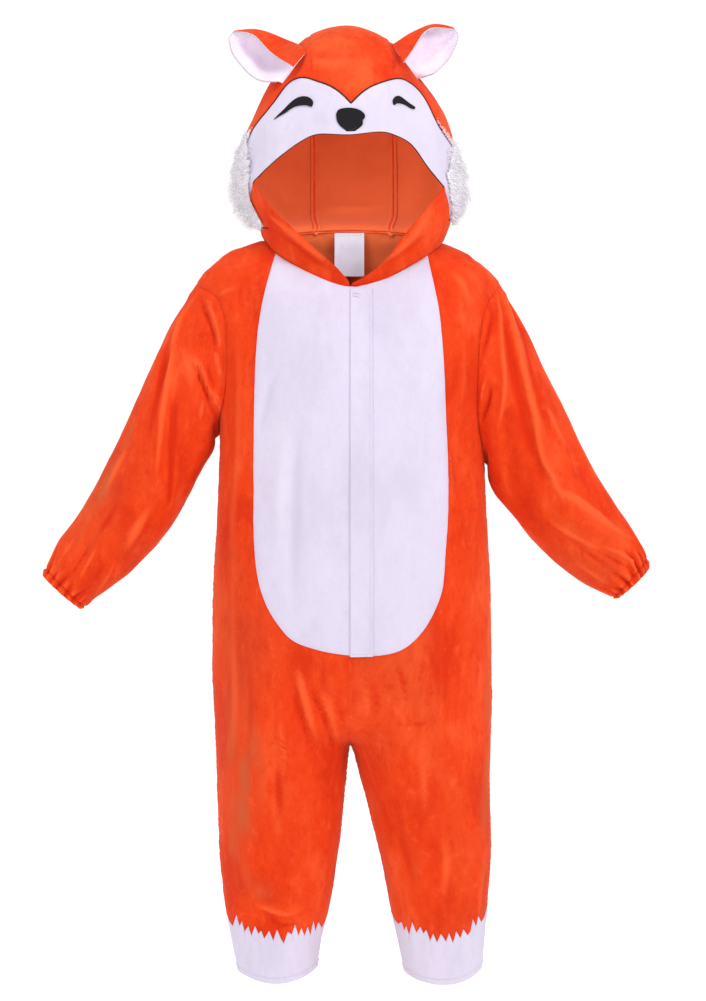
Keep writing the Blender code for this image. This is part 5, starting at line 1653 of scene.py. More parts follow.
# Creases on the back of a sleeve, by angle from the outer edge and share of the length.
FINE_SLEEVE_BACK = """
line angle   v wide high   p
   1   205 .02    4  0.8 1.5
   1   222 .10    5  3.6 1.5
   1   240 .19    6  3.2 1.5
   1   252 .28    5  0.6 1.5
   2   196 .06    4 -0.8 1.5
   2   212 .13    5 -3.2 1.5
   2   226 .22    5 -2.2 1.5
   2   236 .30    4 -0.4 1.5
   3   318 .03    4  0.6 1.5
   3   300 .12    5  3.2 1.5
   3   288 .24    6  3.4 1.5
   3   280 .36    5  0.6 1.5
   4   306 .05    4 -0.6 1.6
   4   286 .15    6 -2.6 1.6
   4   272 .26    6 -2.2 1.6
   4   262 .36    5 -0.4 1.6
   5   210 .40    5  0.4 1.8
   5   226 .52    7  2.6 1.8
   5   246 .64    6  2.2 1.8
   5   262 .74    5  0.4 1.8
   6   290 .48    5 -0.4 1.8
   6   280 .60    7 -2.4 1.8
   6   272 .72    5 -0.4 1.8
   7   318 .60    4  0.4 1.6
   7   308 .74    5  2.4 1.6
   7   300 .88    4  0.8 1.6
   8   236 .76    3 -0.4 1.5
   8   238 .85    4 -2.2 1.5
   8   240 .93    3 -0.6 1.5
"""
# Creases of the hood: on its front in drawing units.
FINE_HOOD = """
line   u    v wide high   p
   1 300   58    6  0.4   2
   1 318   63    8  1.6   2
   1 345   62    8  1.0   2
   1 372   60    6  0.3   2
   2 296   74    4 -0.5 1.6
   2 301   64    5 -2.2 1.6
   2 303   54    4 -0.6 1.6
   3 404   70    4 -0.5 1.6
   3 398   60    5 -2.2 1.6
   3 395   52    4 -0.6 1.6
   4 268  214    3  0.8 1.5
   4 290  232    4  2.8 1.5
   4 314  253    4  2.8 1.5
   4 334  269    3  0.8 1.5
   5 262  222    3 -0.5 1.6
   5 285  240    4 -2.2 1.6
   5 310  260    4 -2.4 1.6
   5 330  272    3 -0.6 1.6
   6 430  210    4  0.6 1.6
   6 416  232    5  2.4 1.6
   6 397  251    5  2.6 1.6
   6 376  266    4  0.6 1.6
   7 432  228    4 -0.4 1.7
   7 412  248    5 -2.0 1.7
   7 390  263    4 -0.6 1.7
"""
# and on its sides and back: width, depth and height of points outside it, mm
FINE_HOOD_BACK = """
line    x    y    z wide high   p
   1 -130   40  150    8 -0.4   2
   1 -140   60  100   10 -2.6   2
   1 -130   60   60    8 -0.4   2
   2  130   30  160    8 -0.4   2
   2  140   60  112   10 -2.8   2
   2  126   70   66    8 -0.4   2
   3  -60  130  170    9  0.4   2
   3  -80  140  110   12  2.4   2
   3  -70  120   60    9  0.4   2
   4   50  130  176    9  0.4   2
   4   76  140  120   12  2.2   2
   4   72  120   66    9  0.4   2
   5    0  140  150   10 -0.4   2
   5   10  150  100   12 -1.8   2
   5    6  130   60    9 -0.4   2
   6 -105    0   52    5 -0.5 1.6
   6 -116   20   40    6 -3.0 1.6
   6  -96   60   36    5 -0.5 1.6
   7  105    0   52    5 -0.5 1.6
   7  116   20   42    6 -3.0 1.6
   7   96   62   38    5 -0.5 1.6
   8  -40  100   48    6 -0.4 1.7
   8    0  110   42    7 -2.4 1.7
   8   44  100   50    6 -0.4 1.7
"""


class Creases:
    """Height of the creases at points p, given each crease's line on the surface."""

    def __init__(self):
        self.lines = []

    def add(self, text, lay, wider=1.0, higher=1.0):
        t = table(text)
        at = lay(t)
        for k in np.unique(t["line"]):
            rows = t["line"] == k
            knots = np.arange(rows.sum(), dtype=float)
            fine = np.linspace(0, knots[-1], int(6 * knots[-1]) + 1)
            curve = spline(knots, at[rows])(fine) if rows.sum() > 2 else at[rows][:1] + fine[:, None] * (
                at[rows][1] - at[rows][0])
            high = (spline(knots, t["high"][rows])(fine) if rows.sum() > 2
                    else np.interp(fine, knots, t["high"][rows]))
            self.lines.append((curve, np.interp(fine, knots, t["wide"][rows]) * wider, high * higher,
                               t["p"][rows][0]))
        return self

    def __call__(self, p):
        """Height of the creases, and each one's painted light, -1 to 1: a painted highlight on ridges above 0, painted
        shade in troughs below 0.
        """
        total, painted_shading = np.zeros(len(p)), np.zeros(len(p))
        for at, wide, high, power in self.lines:
            reach = 3.2 * wide.max()
            near = np.nonzero(((p > at.min(0) - reach) & (p < at.max(0) + reach)).all(1))[0]
            if not len(near):
                continue
            q = p[near]
            best, height = np.full(len(q), 1e9), np.zeros(len(q))
            for i in range(len(at) - 1):
                ab = at[i + 1] - at[i]
                t = np.clip((q - at[i]) @ ab / max(ab @ ab, 1e-9), 0, 1)
                d = np.linalg.norm(q - at[i] - t[:, None] * ab, axis=1)
                w, h = wide[i] + (wide[i + 1] - wide[i]) * t, high[i] + (high[i + 1] - high[i]) * t
                nearer = d / w < best
                best, height = np.where(nearer, d / w, best), np.where(nearer, h, height)
            total[near] += height * np.exp(-best**power)
            # painted highlight along a ridge, painted shade along a trough
            painted_shading[near] += np.clip(height / 2.6, -1, 1) * np.exp(-(1.15 * best) ** power)
        return total, painted_shading


def on_front(t):
    out = np.zeros((len(t["u"]), 3))
    uv = np.stack([t["u"], t["v"]], 1)
    for half in "RL":
        mine = (uv[:, 0] < 350.5) == (half == "R")
        sz = body_seen(half, uv[mine])
        out[mine] = body(half, "front", sz[:, 0], sz[:, 1])
    return out


def on_back(t):
    out = np.zeros((len(t["u"]), 3))
    uv = np.stack([t["u"], t["v"]], 1)
    p = at_depth(uv, np.full(len(uv), 80.0))
    for half in "RL":
        mine = (p[:, 0] < 0) == (half == "R")
        out[mine] = body(half, "back", share(half, p[mine, 0], p[mine, 2]), p[mine, 2])
    return out


def on_sleeve(half):
    rings = SLEEVES[half][2]
    front = rings[:, :rings.shape[1] // 2 + 2].reshape(-1, 3)
    f = 1 + front[:, 1] / -SIGHT[1]
    u = ((front[:, 0] - SIGHT[0]) / f) / UNIT + SHEET_MID[0]
    v = SHEET_MID[1] - ((front[:, 2] - SIGHT[2]) / f) / UNIT

    def lay(t):
        return np.array([front[np.argmin((u - a) ** 2 + (v - b) ** 2)] for a, b in zip(t["u"], t["v"])])
    return lay


def on_sleeve_back(half, turn):
    sleeve = SLEEVES[half][0]

    def lay(t):
        return np.concatenate([sleeve(np.array([math.radians(a + turn)]), v) for a, v in zip(t["angle"], t["v"])])
    return lay


def on_hood(t):
    return hood(hood_seen(np.stack([t["u"], t["v"]], 1)))


def on_hood_back(t):
    return hood(unit(np.stack([t["x"], t["y"], t["z"]], 1) - MID))


CREASED = {
    "body": Creases().add(FINE_FRONT, on_front, 0.85, 1.15).add(FINE_BACK, on_back, 0.9, 1.1),
    "sleeve R": Creases().add(FINE_SLEEVE_R, on_sleeve("R"), 0.72, 1.1).add(FINE_SLEEVE_BACK, on_sleeve_back("R", 0)),
    "sleeve L": Creases().add(FINE_SLEEVE_L, on_sleeve("L"), 0.72, 1.1).add(FINE_SLEEVE_BACK, on_sleeve_back("L", 9)),
    "hood": Creases().add(FINE_HOOD, on_hood).add(FINE_HOOD_BACK, on_hood_back),
}

# Painted highlight and painted shade along lines: high is how much lighter (above 0) or darker (below 0) the cloth is
# painted along a line.
PAINTED_LIGHT_FRONT = """
line   u    v wide  high   p
   1 293  668    5   0.3   2
   1 303  695    6   0.8   2
   1 312  722    5   0.4   2
   2 327  664    6   0.4   2
   2 333  698    7   0.8   2
   2 337  726    5   0.4   2
   3 357  668    4   0.3   2
   3 360  700    5   0.6   2
   3 358  730    4   0.3   2
   4 372  785    8   0.2   2
   4 385  850   10   0.6   2
   4 397  905    8   0.3   2
   5 408  768    7   0.2   2
   5 415  800    8   0.5   2
   5 421  832    7   0.1   2
   6 258  904    4   0.2   2
   6 276  906    5   0.7   2
   6 300  908    4   0.2   2
   7 398  905    5   0.2   2
   7 418  912    5   0.5   2
   7 444  918    4   0.2   2
   8 262  700   13  -0.2   2
   8 282  742   14  -0.5   2
   8 290  775   13  -0.2   2
   9 275  800   12  -0.2   2
   9 284  850   14  -0.5   2
   9 280  900   12  -0.2   2
  10 420  700   14  -0.2   2
  10 432  750   18  -0.5   2
  10 440  815   18  -0.5   2
  10 436  895   14  -0.3   2
  11 318  662    5  -0.3   2
  11 345  665    6  -0.6   2
  11 378  663    5  -0.3   2
  12 243  310    8  -0.2   2
  12 242  380   10  -0.5   2
  12 238  470    9  -0.2   2
  13 459  310    8  -0.2   2
  13 462  400   10  -0.4   2
  13 462  500    9  -0.2   2
  14 231  520    6   0.2   2
  14 233  590    8   0.5   2
  14 238  650    7   0.1   2
  15 472  520    6   0.2   2
  15 470  590    8   0.5   2
  15 468  650    6   0.1   2
  16 228  268    6   0.3   2
  16 246  262    7   0.5   2
  16 258  256    5   0.2   2
  17 455  262    6   0.3   2
  17 472  276    8   0.7   2
  17 486  292    5   0.3   2
  18 470  640    5   0.1   2
  18 474  690    7   0.4   2
  18 470  745    6   0.1   2
  19 312  770    7   0.1   2
  19 308  820    9   0.4   2
  19 300  875    7   0.1   2
"""
# dull brown of painted sheen and shade in bands along some edges and folds: high is how much
PAINTED_SHEEN_FRONT = """
line   u    v wide  high   p
   1 237  645    6   0.3   2
   1 243  695    8   0.7   2
   1 247  745    8   1.0   2
   1 247  795    8   0.9   2
   1 242  845    8   0.7   2
   1 239  890    6   0.3   2
   2 224  600    5   0.3   2
   2 226  680    6   0.6   2
   2 229  760    6   0.7   2
   2 231  850    5   0.4   2
   3 487  650    4   0.3   2
   3 487  740    5   0.6   2
   3 484  830    5   0.6   2
   3 481  895    4   0.3   2
   4 250  878    5   0.4   2
   4 260  892    7   0.8   2
   4 268  902    5   0.3   2
   5 217  440    3   0.2   2
   5 216  520    4   0.5   2
   5 219  580    4   0.2   2
   6 356  690    4   0.1   2
   6 352  715    4   0.3   2
   6 349  735    3   0.1   2
   7 404  820    5   0.1   2
   7 412  860    7   0.4   2
   7 420  895    5   0.1   2
"""
PAINTED_SHEEN_SLEEVE_R = """
line   u    v wide  high   p
   1 141  404    4   0.3   2
   1 130  432    5   0.8   2
   1 117  460    6   1.0   2
   1 105  488    6   0.9   2
   1  91  516    5   0.6   2
   1  76  541    4   0.3   2
   2 104  520    5   0.2   2
   2  88  548    6   0.5   2
   2  76  568    4   0.2   2
   3 222  318    4   0.2   2
   3 223  350    4   0.5   2
   3 222  390    3   0.2   2
"""
PAINTED_SHEEN_SLEEVE_L = """
line   u    v wide  high   p
   1 533  480    5   0.1   2
   1 562  520    7   0.4   2
   1 590  545    5   0.1   2
   2 500  330    3   0.1   2
   2 506  370    4   0.4   2
   2 508  410    3   0.1   2
"""
PAINTED_LIGHT_SLEEVE_R = """
line   u    v wide  high   p
   1 200  292    5  -0.2   2
   1 196  330    9  -0.5   2
   1 188  380   12  -0.6   2
   1 186  440   12  -0.5   2
   1 178  490    9  -0.2   2
   2 140  450    8  -0.2   2
   2 134  480   10  -0.4   2
   2 122  505    8  -0.2   2
   3 205  360    5   0.2   2
   3 198  372    6   0.7   2
   3 192  360    5   0.2   2
   4 190  330    5   0.2   2
   4 189  350    6   0.5   2
   4 194  372    5   0.2   2
   5 150  505    8   0.1   2
   5 134  530   10   0.2   2
   5 112  556    8   0.1   2
   7 200  292    2   0.4   2
   7 183  318    2   1.0   2
   7 176  339  2.2   1.0   2
   7 170  360  2.2   1.0   2
   7 166  384  2.2   1.0   2
   7 163  413  2.2   0.9   2
   7 160  441    2   0.4   2
   8 195  297    2  -0.5   2
   8 178  325  2.4  -1.3   2
   8 166  351  2.6  -1.3   2
   8 160  377  2.6  -1.3   2
   8 156  413  2.4  -1.2   2
   8 155  450  2.2  -0.7   2
   8 154  474    2  -0.3   2
   9 172  392    2  -0.5   2
   9 172  437  2.4  -1.2   2
   9 171  475  2.4  -1.2   2
   9 170  499  2.2  -0.9   2
   9 164  522    2  -0.3   2
  10 192  356    3   0.4   2
  10 202  365    3   1.2   2
  10 207  378  2.8   1.2   2
  10 211  394  2.8   1.0   2
  10 220  406  2.5   0.5   2
  11 206  384    2  -0.6   2
  11 209  400  2.2  -1.4   2
  11 213  412  2.4  -1.4   2
  11 219  422    2  -0.7   2
  12 215  351    2   0.4   2
  12 219  372  2.2   0.9   2
  12 223  389    2   0.3   2
   6 176  470    6   0.2   2
   6 180  486    6   0.5   2
   6 170  510    5   0.2   2
"""
PAINTED_LIGHT_SLEEVE_L = """
line   u    v wide  high   p
   1 508  420    8  -0.2   2
   1 516  470   12  -0.5   2
   1 534  520   12  -0.5   2
   1 560  552    9  -0.2   2
   2 500  300    4   0.3   2
   2 516  330    5   0.8   2
   2 528  372    5   0.9   2
   2 538  412    5   0.9   2
   2 547  446    5   0.7   2
   2 556  478    5   0.4   2
   3 566  492    6   0.3   2
   3 586  510    8   0.8   2
   3 606  530    7   0.7   2
   3 622  546    5   0.3   2
   4 530  350    7   0.1   2
   4 546  400    9   0.4   2
   4 560  440    7   0.1   2
"""
PAINTED_LIGHT_HOOD = """
line   u    v wide  high   p
   1 300   62    8   0.2   2
   1 345   66   12   0.6   2
   1 392   62    8   0.3   2
   2 278   90    6  -0.2   2
   2 290   80    8  -0.4   2
   2 306   76    6  -0.2   2
   3 335   86    6   0.1   2
   3 352   90    8   0.4   2
   3 368   86    6   0.1   2
   4 272  215    4   0.3   2
   4 300  240    5   0.7   2
   4 322  260    4   0.3   2
   5 430  200    6   0.3   2
   5 420  228    8   0.8   2
   5 398  250    6   0.4   2
"""


def painted_bands(text, lay, wider=1.2, higher=0.55):
    return Creases().add(text, lay, wider, higher)


# painted highlight and shade along lines, and dull brown painted sheen and shade in bands, for each family of pieces
PAINTED_LIGHT = {"body": painted_bands(PAINTED_LIGHT_FRONT, on_front), "sleeve R": painted_bands(PAINTED_LIGHT_SLEEVE_R, on_sleeve("R")),
       "sleeve L": painted_bands(PAINTED_LIGHT_SLEEVE_L, on_sleeve("L")), "hood": painted_bands(PAINTED_LIGHT_HOOD, on_hood)}
PAINTED_SHEEN = {"body": painted_bands(PAINTED_SHEEN_FRONT, on_front, 2.1, 0.95), "sleeve R": painted_bands(PAINTED_SHEEN_SLEEVE_R, on_sleeve("R"), 1.3, 1.0),
        "sleeve L": painted_bands(PAINTED_SHEEN_SLEEVE_L, on_sleeve("L"), 1.3, 1.0)}


# ------------------------------------------------------------------ unevenness of worn cloth
def lattice(ix, iy, iz, seed):
    h = (ix * 374761393 + iy * 668265263 + iz * 2147483647 + seed * 974634777) & 0xFFFFFFFF
    h = ((h ^ (h >> 13)) * 1274126177) & 0xFFFFFFFF
    return ((h ^ (h >> 16)) & 0xFFFF) / 32767.5 - 1.0


def swell(p, size, seed):
    """Smooth random height between -1 and 1, with bumps of this size."""
    q = p / size
    i = np.floor(q).astype(np.int64)
    f = q - i
    f = f * f * f * (f * (6 * f - 15) + 10)
    total = np.zeros(len(p))
    for dx in (0, 1):
        for dy in (0, 1):
            for dz in (0, 1):
                w = (np.where(dx, f[:, 0], 1 - f[:, 0]) * np.where(dy, f[:, 1], 1 - f[:, 1])
                     * np.where(dz, f[:, 2], 1 - f[:, 2]))
                total += w * lattice(i[:, 0] + dx, i[:, 1] + dy, i[:, 2] + dz, seed)
    return total


def uneven(p):
    """Slow swells, longer down the cloth than across it, and small dents."""
    tall = p * (1, 1, 0.45)
    return 1.5 * swell(tall, 46.0, 3) + 0.75 * swell(tall, 21.0, 5) + 0.3 * swell(p, 11.0, 8)


def nearest(p, points):
    """Distance from each point of p to the nearest of points."""
    if not len(points):
        return np.full(len(p), 1e9)
    tree = KDTree(len(points))
    for i, q in enumerate(points):
        tree.insert(q, i)
    tree.balance()
    return np.array([tree.find(q)[2] for q in p])


# ------------------------------------------------------------------ materials
def kept(tree, name):
    """A number that each point of the mesh carries."""
    node = tree.nodes.new("ShaderNodeAttribute")
    node.attribute_type, node.attribute_name = "GEOMETRY", name
    return node.outputs["Fac"]


def noise(tree, where, scale, detail=3.0, rough=0.55, twist=0.0, stretch=(1, 1, 1)):
    place_node = tree.nodes.new("ShaderNodeMapping")
    place_node.inputs["Scale"].default_value = stretch
    tree.links.new(where, place_node.inputs["Vector"])
    node = tree.nodes.new("ShaderNodeTexNoise")
    node.inputs["Scale"].default_value = scale
    node.inputs["Detail"].default_value = detail
    node.inputs["Roughness"].default_value = rough
    node.inputs["Distortion"].default_value = twist
    tree.links.new(place_node.outputs["Vector"], node.inputs["Vector"])
    return node.outputs["Fac"]


def mixed(tree, a, b, factor, how="MIX"):
    node = tree.nodes.new("ShaderNodeMix")
    node.data_type, node.blend_type, node.clamp_factor = "RGBA", how, True
    for socket, value in ((node.inputs[6], a), (node.inputs[7], b)):
        if isinstance(value, tuple):
            socket.default_value = (*value, 1)
        else:
            tree.links.new(value, socket)
    if isinstance(factor, (int, float)):
        node.inputs[0].default_value = factor
    else:
        tree.links.new(factor, node.inputs[0])
    return node.outputs[2]


def scaled(tree, value, low, high, to_low=0.0, to_high=1.0):
    node = tree.nodes.new("ShaderNodeMapRange")
    node.interpolation_type = "SMOOTHSTEP"
    for name, x in (("From Min", low), ("From Max", high), ("To Min", to_low), ("To Max", to_high)):
        node.inputs[name].default_value = x
    tree.links.new(value, node.inputs["Value"])
    return node.outputs["Result"]


def bumped(tree, shader, heights):
    """Bumps laid over each other: (height, strength, depth in metres)."""
    last = None
    for height, strength, deep in heights:
        node = tree.nodes.new("ShaderNodeBump")
        node.inputs["Strength"].default_value = strength
        node.inputs["Distance"].default_value = deep
        tree.links.new(height, node.inputs["Height"])
        if last:
            tree.links.new(last, node.inputs["Normal"])
        last = node.outputs["Normal"]
    tree.links.new(last, shader.inputs["Normal"])


def new_material(name, rough, sheen=0.0, sheen_rough=0.4, tint=(1, 1, 1), specular=0.2):
    m = bpy.data.materials.new(name)
    m.use_nodes = True
    tree = m.node_tree
    shader = tree.nodes["Principled BSDF"]
    shader.inputs["Roughness"].default_value = rough
    shader.inputs["Specular IOR Level"].default_value = specular
    shader.inputs["Sheen Weight"].default_value = sheen
    shader.inputs["Sheen Roughness"].default_value = sheen_rough
    shader.inputs["Sheen Tint"].default_value = (*tint, 1)
    where = tree.nodes.new("ShaderNodeTexCoord").outputs["Object"]
    return m, tree, shader, where


def velour(name, dark, main, light, dusty_and_sheen, sheen, tint, patch=1.0):
    """Short pile whose nap lies this way and that: brushed patches, long soft streaks and a fine grain, with painted
    highlights, shade and sheen laid on from the mesh.
    """
    m, tree, shader, where = new_material(name, 0.85, sheen, 0.38, tint, 0.10)
    broad = noise(tree, where, 5.5, 3.0, 0.5, 0.3, (1.0, 1.0, 0.42))
    brushed = noise(tree, where, 17.0, 5.0, 0.55, 0.25, (1.0, 1.0, 0.5))
    streak = noise(tree, where, 40.0, 4.0, 0.55, 0.2, (1.0, 1.0, 0.14))
    crushed = noise(tree, where, 120.0, 4.0, 0.62, 0.4, (1.0, 1.0, 0.6))
    speck = noise(tree, where, 520.0, 3.0, 0.7, 0.0, (1.0, 1.0, 0.7))
    grain = noise(tree, where, 1700.0, 2.0, 0.6, 0.0)
    base = mixed(tree, main, dark, scaled(tree, brushed, 0.50, 0.34, 0.0, 0.80 * patch))
    base = mixed(tree, base, light, scaled(tree, brushed, 0.52, 0.70, 0.0, 0.55 * patch))
    base = mixed(tree, base, dusty_and_sheen, scaled(tree, broad, 0.50, 0.34, 0.0, 0.32 * patch))
    base = mixed(tree, base, dark, scaled(tree, broad, 0.52, 0.70, 0.0, 0.30 * patch))
    base = mixed(tree, base, light, scaled(tree, streak, 0.54, 0.76, 0.0, 0.40 * patch))
    base = mixed(tree, base, dark, scaled(tree, streak, 0.46, 0.26, 0.0, 0.35 * patch))
    base = mixed(tree, base, dark, scaled(tree, crushed, 0.50, 0.74, 0.0, 0.55 * patch))
    base = mixed(tree, base, light, scaled(tree, crushed, 0.46, 0.24, 0.0, 0.35 * patch))
    base = mixed(tree, base, light, scaled(tree, speck, 0.54, 0.80, 0.0, 0.35))
    base = mixed(tree, base, dark, scaled(tree, speck, 0.46, 0.20, 0.0, 0.35))
    # painted light from the mesh: dull brown painted sheen and shade in a few bands, a painted highlight on ridges, and
    # painted shade in hollows and along the seams
    base = mixed(tree, base, dusty_and_sheen, scaled(tree, kept(tree, "dust"), 0.02, 1.0, 0.0, 0.95))
    base = mixed(tree, base, light, scaled(tree, kept(tree, "nap"), 0.02, 1.0, 0.0, 0.75))
    base = mixed(tree, base, dark, scaled(tree, kept(tree, "nap"), -0.02, -1.0, 0.0, 0.95))
    tree.links.new(base, shader.inputs["Base Color"])
    bumped(tree, shader, [(brushed, 0.25, 0.003), (crushed, 0.30, 0.0010), (speck, 0.40, 0.0006), (grain, 0.3, 0.0003)])
    return m


def knit_back(name, dark, main, sheen=0.15, rib=2600.0):
    """Reverse of the cloth: fine courses of a knitted ground."""
    m, tree, shader, where = new_material(name, 0.9, sheen, 0.5, (1, 0.9, 0.85), 0.1)
    broad = noise(tree, where, 14.0, 3.0, 0.5, 0.3)
    speck = noise(tree, where, 520.0, 3.0, 0.6)
    courses = tree.nodes.new("ShaderNodeTexWave")
    courses.wave_type, courses.bands_direction = "BANDS", "Z"
    courses.inputs["Scale"].default_value = rib / (2 * math.pi)
    courses.inputs["Distortion"].default_value = 1.2
    courses.inputs["Detail"].default_value = 1.0
    tree.links.new(where, courses.inputs["Vector"])
    base = mixed(tree, dark, main, scaled(tree, broad, 0.3, 0.62))
    base = mixed(tree, base, dark, scaled(tree, speck, 0.5, 0.8, 0.0, 0.4))
    tree.links.new(base, shader.inputs["Base Color"])
    bumped(tree, shader, [(courses.outputs["Fac"], 0.12, 0.0003), (speck, 0.3, 0.0004)])
    return m


def satin(name, colour, lighter):
    """Dense satin stitch of the eyes, nose and threads."""
    m, tree, shader, where = new_material(name, 0.62, 0.0, 0.3, (1, 1, 1), 0.18)
    threads = tree.nodes.new("ShaderNodeTexWave")
    threads.wave_type, threads.bands_direction = "BANDS", "DIAGONAL"
    threads.inputs["Scale"].default_value = 420.0
    threads.inputs["Distortion"].default_value = 0.8
    tree.links.new(where, threads.inputs["Vector"])
    speck = noise(tree, where, 700.0, 3.0, 0.6)
    base = mixed(tree, colour, lighter, scaled(tree, threads.outputs["Fac"], 0.2, 1.0, 0.0, 0.6))
    base = mixed(tree, base, lighter, scaled(tree, speck, 0.5, 0.8, 0.0, 0.4))
    tree.links.new(base, shader.inputs["Base Color"])
    bumped(tree, shader, [(threads.outputs["Fac"], 0.35, 0.0005), (speck, 0.2, 0.0003)])
    return m


def tape(name, colour, darker):
    """Woven ribbon of the bare label."""
    m, tree, shader, where = new_material(name, 0.55, 0.1, 0.4, (1, 1, 1), 0.35)
    weave = []
    for axis in "XZ":
        w = tree.nodes.new("ShaderNodeTexWave")
        w.wave_type, w.bands_direction = "BANDS", axis
        w.inputs["Scale"].default_value = 480.0
        tree.links.new(where, w.inputs["Vector"])
        weave.append(w.outputs["Fac"])
    soft = noise(tree, where, 60.0, 3.0, 0.5, 0.3)
    base = mixed(tree, darker, colour, scaled(tree, soft, 0.3, 0.6))
    base = mixed(tree, base, darker, scaled(tree, weave[1], 0.5, 1.0, 0.0, 0.3))
    tree.links.new(base, shader.inputs["Base Color"])
    bumped(tree, shader, [(weave[0], 0.2, 0.0002), (weave[1], 0.2, 0.0002)])
    return m


def fur_material(name, root, tip, warm):
    m, tree, shader, where = new_material(name, 0.75, 0.2, 0.5, (1, 1, 1), 0.15)
    # the fur glows a little: painted light, standing in for light that passes between and through the strands
    shader.inputs["Emission Color"].default_value = (0.90, 0.87, 0.95, 1)
    shader.inputs["Emission Strength"].default_value = 0.14
    clump = noise(tree, where, 60.0, 4.0, 0.6, 0.6)
    strand = noise(tree, where, 700.0, 2.0, 0.5)
    base = mixed(tree, root, tip, scaled(tree, clump, 0.32, 0.6))
    base = mixed(tree, base, warm, scaled(tree, noise(tree, where, 26.0, 2.0), 0.56, 0.75, 0.0, 0.35))
    base = mixed(tree, base, root, scaled(tree, strand, 0.5, 0.8, 0.0, 0.35))
    tree.links.new(base, shader.inputs["Base Color"])
    bumped(tree, shader, [(strand, 0.2, 0.0003)])
    return m


ORANGE = velour("orange_velour_pile", (0.62, 0.024, 0.003), (0.76, 0.048, 0.006), (0.90, 0.118, 0.030),
                (0.56, 0.094, 0.030), 0.20, (1.0, 0.55, 0.28))
WHITE = velour("white_velour_pile", (0.585, 0.53, 0.655), (0.66, 0.60, 0.735), (0.73, 0.675, 0.79),
               (0.64, 0.575, 0.69), 0.10, (1, 1, 1), 0.7)
PINKISH = velour("white_ear_pile", (0.80, 0.69, 0.80), (0.84, 0.75, 0.85), (0.88, 0.80, 0.89),
                 (0.93, 0.72, 0.88), 0.12, (1, 0.95, 1), 0.9)
ORANGE_BACK = knit_back("orange_reverse", (0.68, 0.125, 0.036), (0.78, 0.155, 0.048))
WHITE_BACK = knit_back("white_reverse", (0.62, 0.58, 0.66), (0.70, 0.66, 0.74))
# the inner ear pile glows a little: painted light, standing in for light that reaches into the hollow of the ear
for glowing, much in ((PINKISH, 0.05),):
    body_of = glowing.node_tree.nodes["Principled BSDF"]
    body_of.inputs["Emission Color"].default_value = (0.93, 0.80, 0.94, 1)
    body_of.inputs["Emission Strength"].default_value = much
BLACK = satin("black_satin_stitch", (0.0045, 0.0035, 0.005), (0.012, 0.010, 0.014))
PIPING = satin("dark_piping", (0.060, 0.007, 0.006), (0.11, 0.014, 0.010))
RIM = satin("ear_rim_thread", (0.56, 0.53, 0.57), (0.66, 0.63, 0.67))
TAPE = tape("label_ribbon", (0.64, 0.66, 0.78), (0.57, 0.585, 0.70))
FUR_WHITE = fur_material("white_fur_pile", (0.75, 0.71, 0.75), (0.84, 0.815, 0.84), (0.84, 0.79, 0.77))
THREAD_WHITE = satin("white_thread", (0.60, 0.56, 0.66), (0.72, 0.68, 0.77))
THREAD_GREY = satin("grey_thread", (0.20, 0.19, 0.22), (0.30, 0.29, 0.33))
THREAD_ORANGE = satin("orange_thread", (0.45, 0.030, 0.008), (0.62, 0.055, 0.015))
PAIRS = {"orange velour": (ORANGE, ORANGE_BACK, "orange_velour"), "white velour": (WHITE, WHITE_BACK, "white_velour"),
         "black satin": (BLACK, BLACK, "black_applique"), "white tape": (TAPE, TAPE, "label_tape")}


# ------------------------------------------------------------------ shells
SURFACE = {"sleeve": "sleeve", "hood": "hood", "face": "hood", "ear": None, "eye": None, "nose": None,
           "placket": None, "care": None}
FAMILY = {"sleeve_right": "sleeve R", "sleeve_left": "sleeve L", "hood": "hood", "face": "hood",
          "front": "body", "back": "body", "belly": "body", "leg": "body", "placket": "body",
          "eye": "hood", "nose": "hood"}
seen, parted = {}, {}
for piece in pieces:
    surface = SURFACE.get(piece.name.split("_")[0], "body")
    if surface:
        for at, way in drawn_back(piece).items():
            key = spot(piece.pts[at])
            seen.setdefault(key, {}).setdefault(surface, []).append(piece.normals[at])
            parted.setdefault(key, []).append((piece.name, way))
turned = {key: unit(sum(unit(sum(n)) for n in found.values())) for key, found in seen.items()}


def family_of(name):
    for key, value in FAMILY.items():
        if name.startswith(key):
            return value
    return None


SHOULDER_AT = np.concatenate([body(half, "front", np.array([1.0]), np.array([float(SHOULDER_TIP)])) for half in "RL"])


UNDER_ARM = {"R": (-156.0, -6.0, -221.0), "L": (163.0, -6.0, -283.0)}


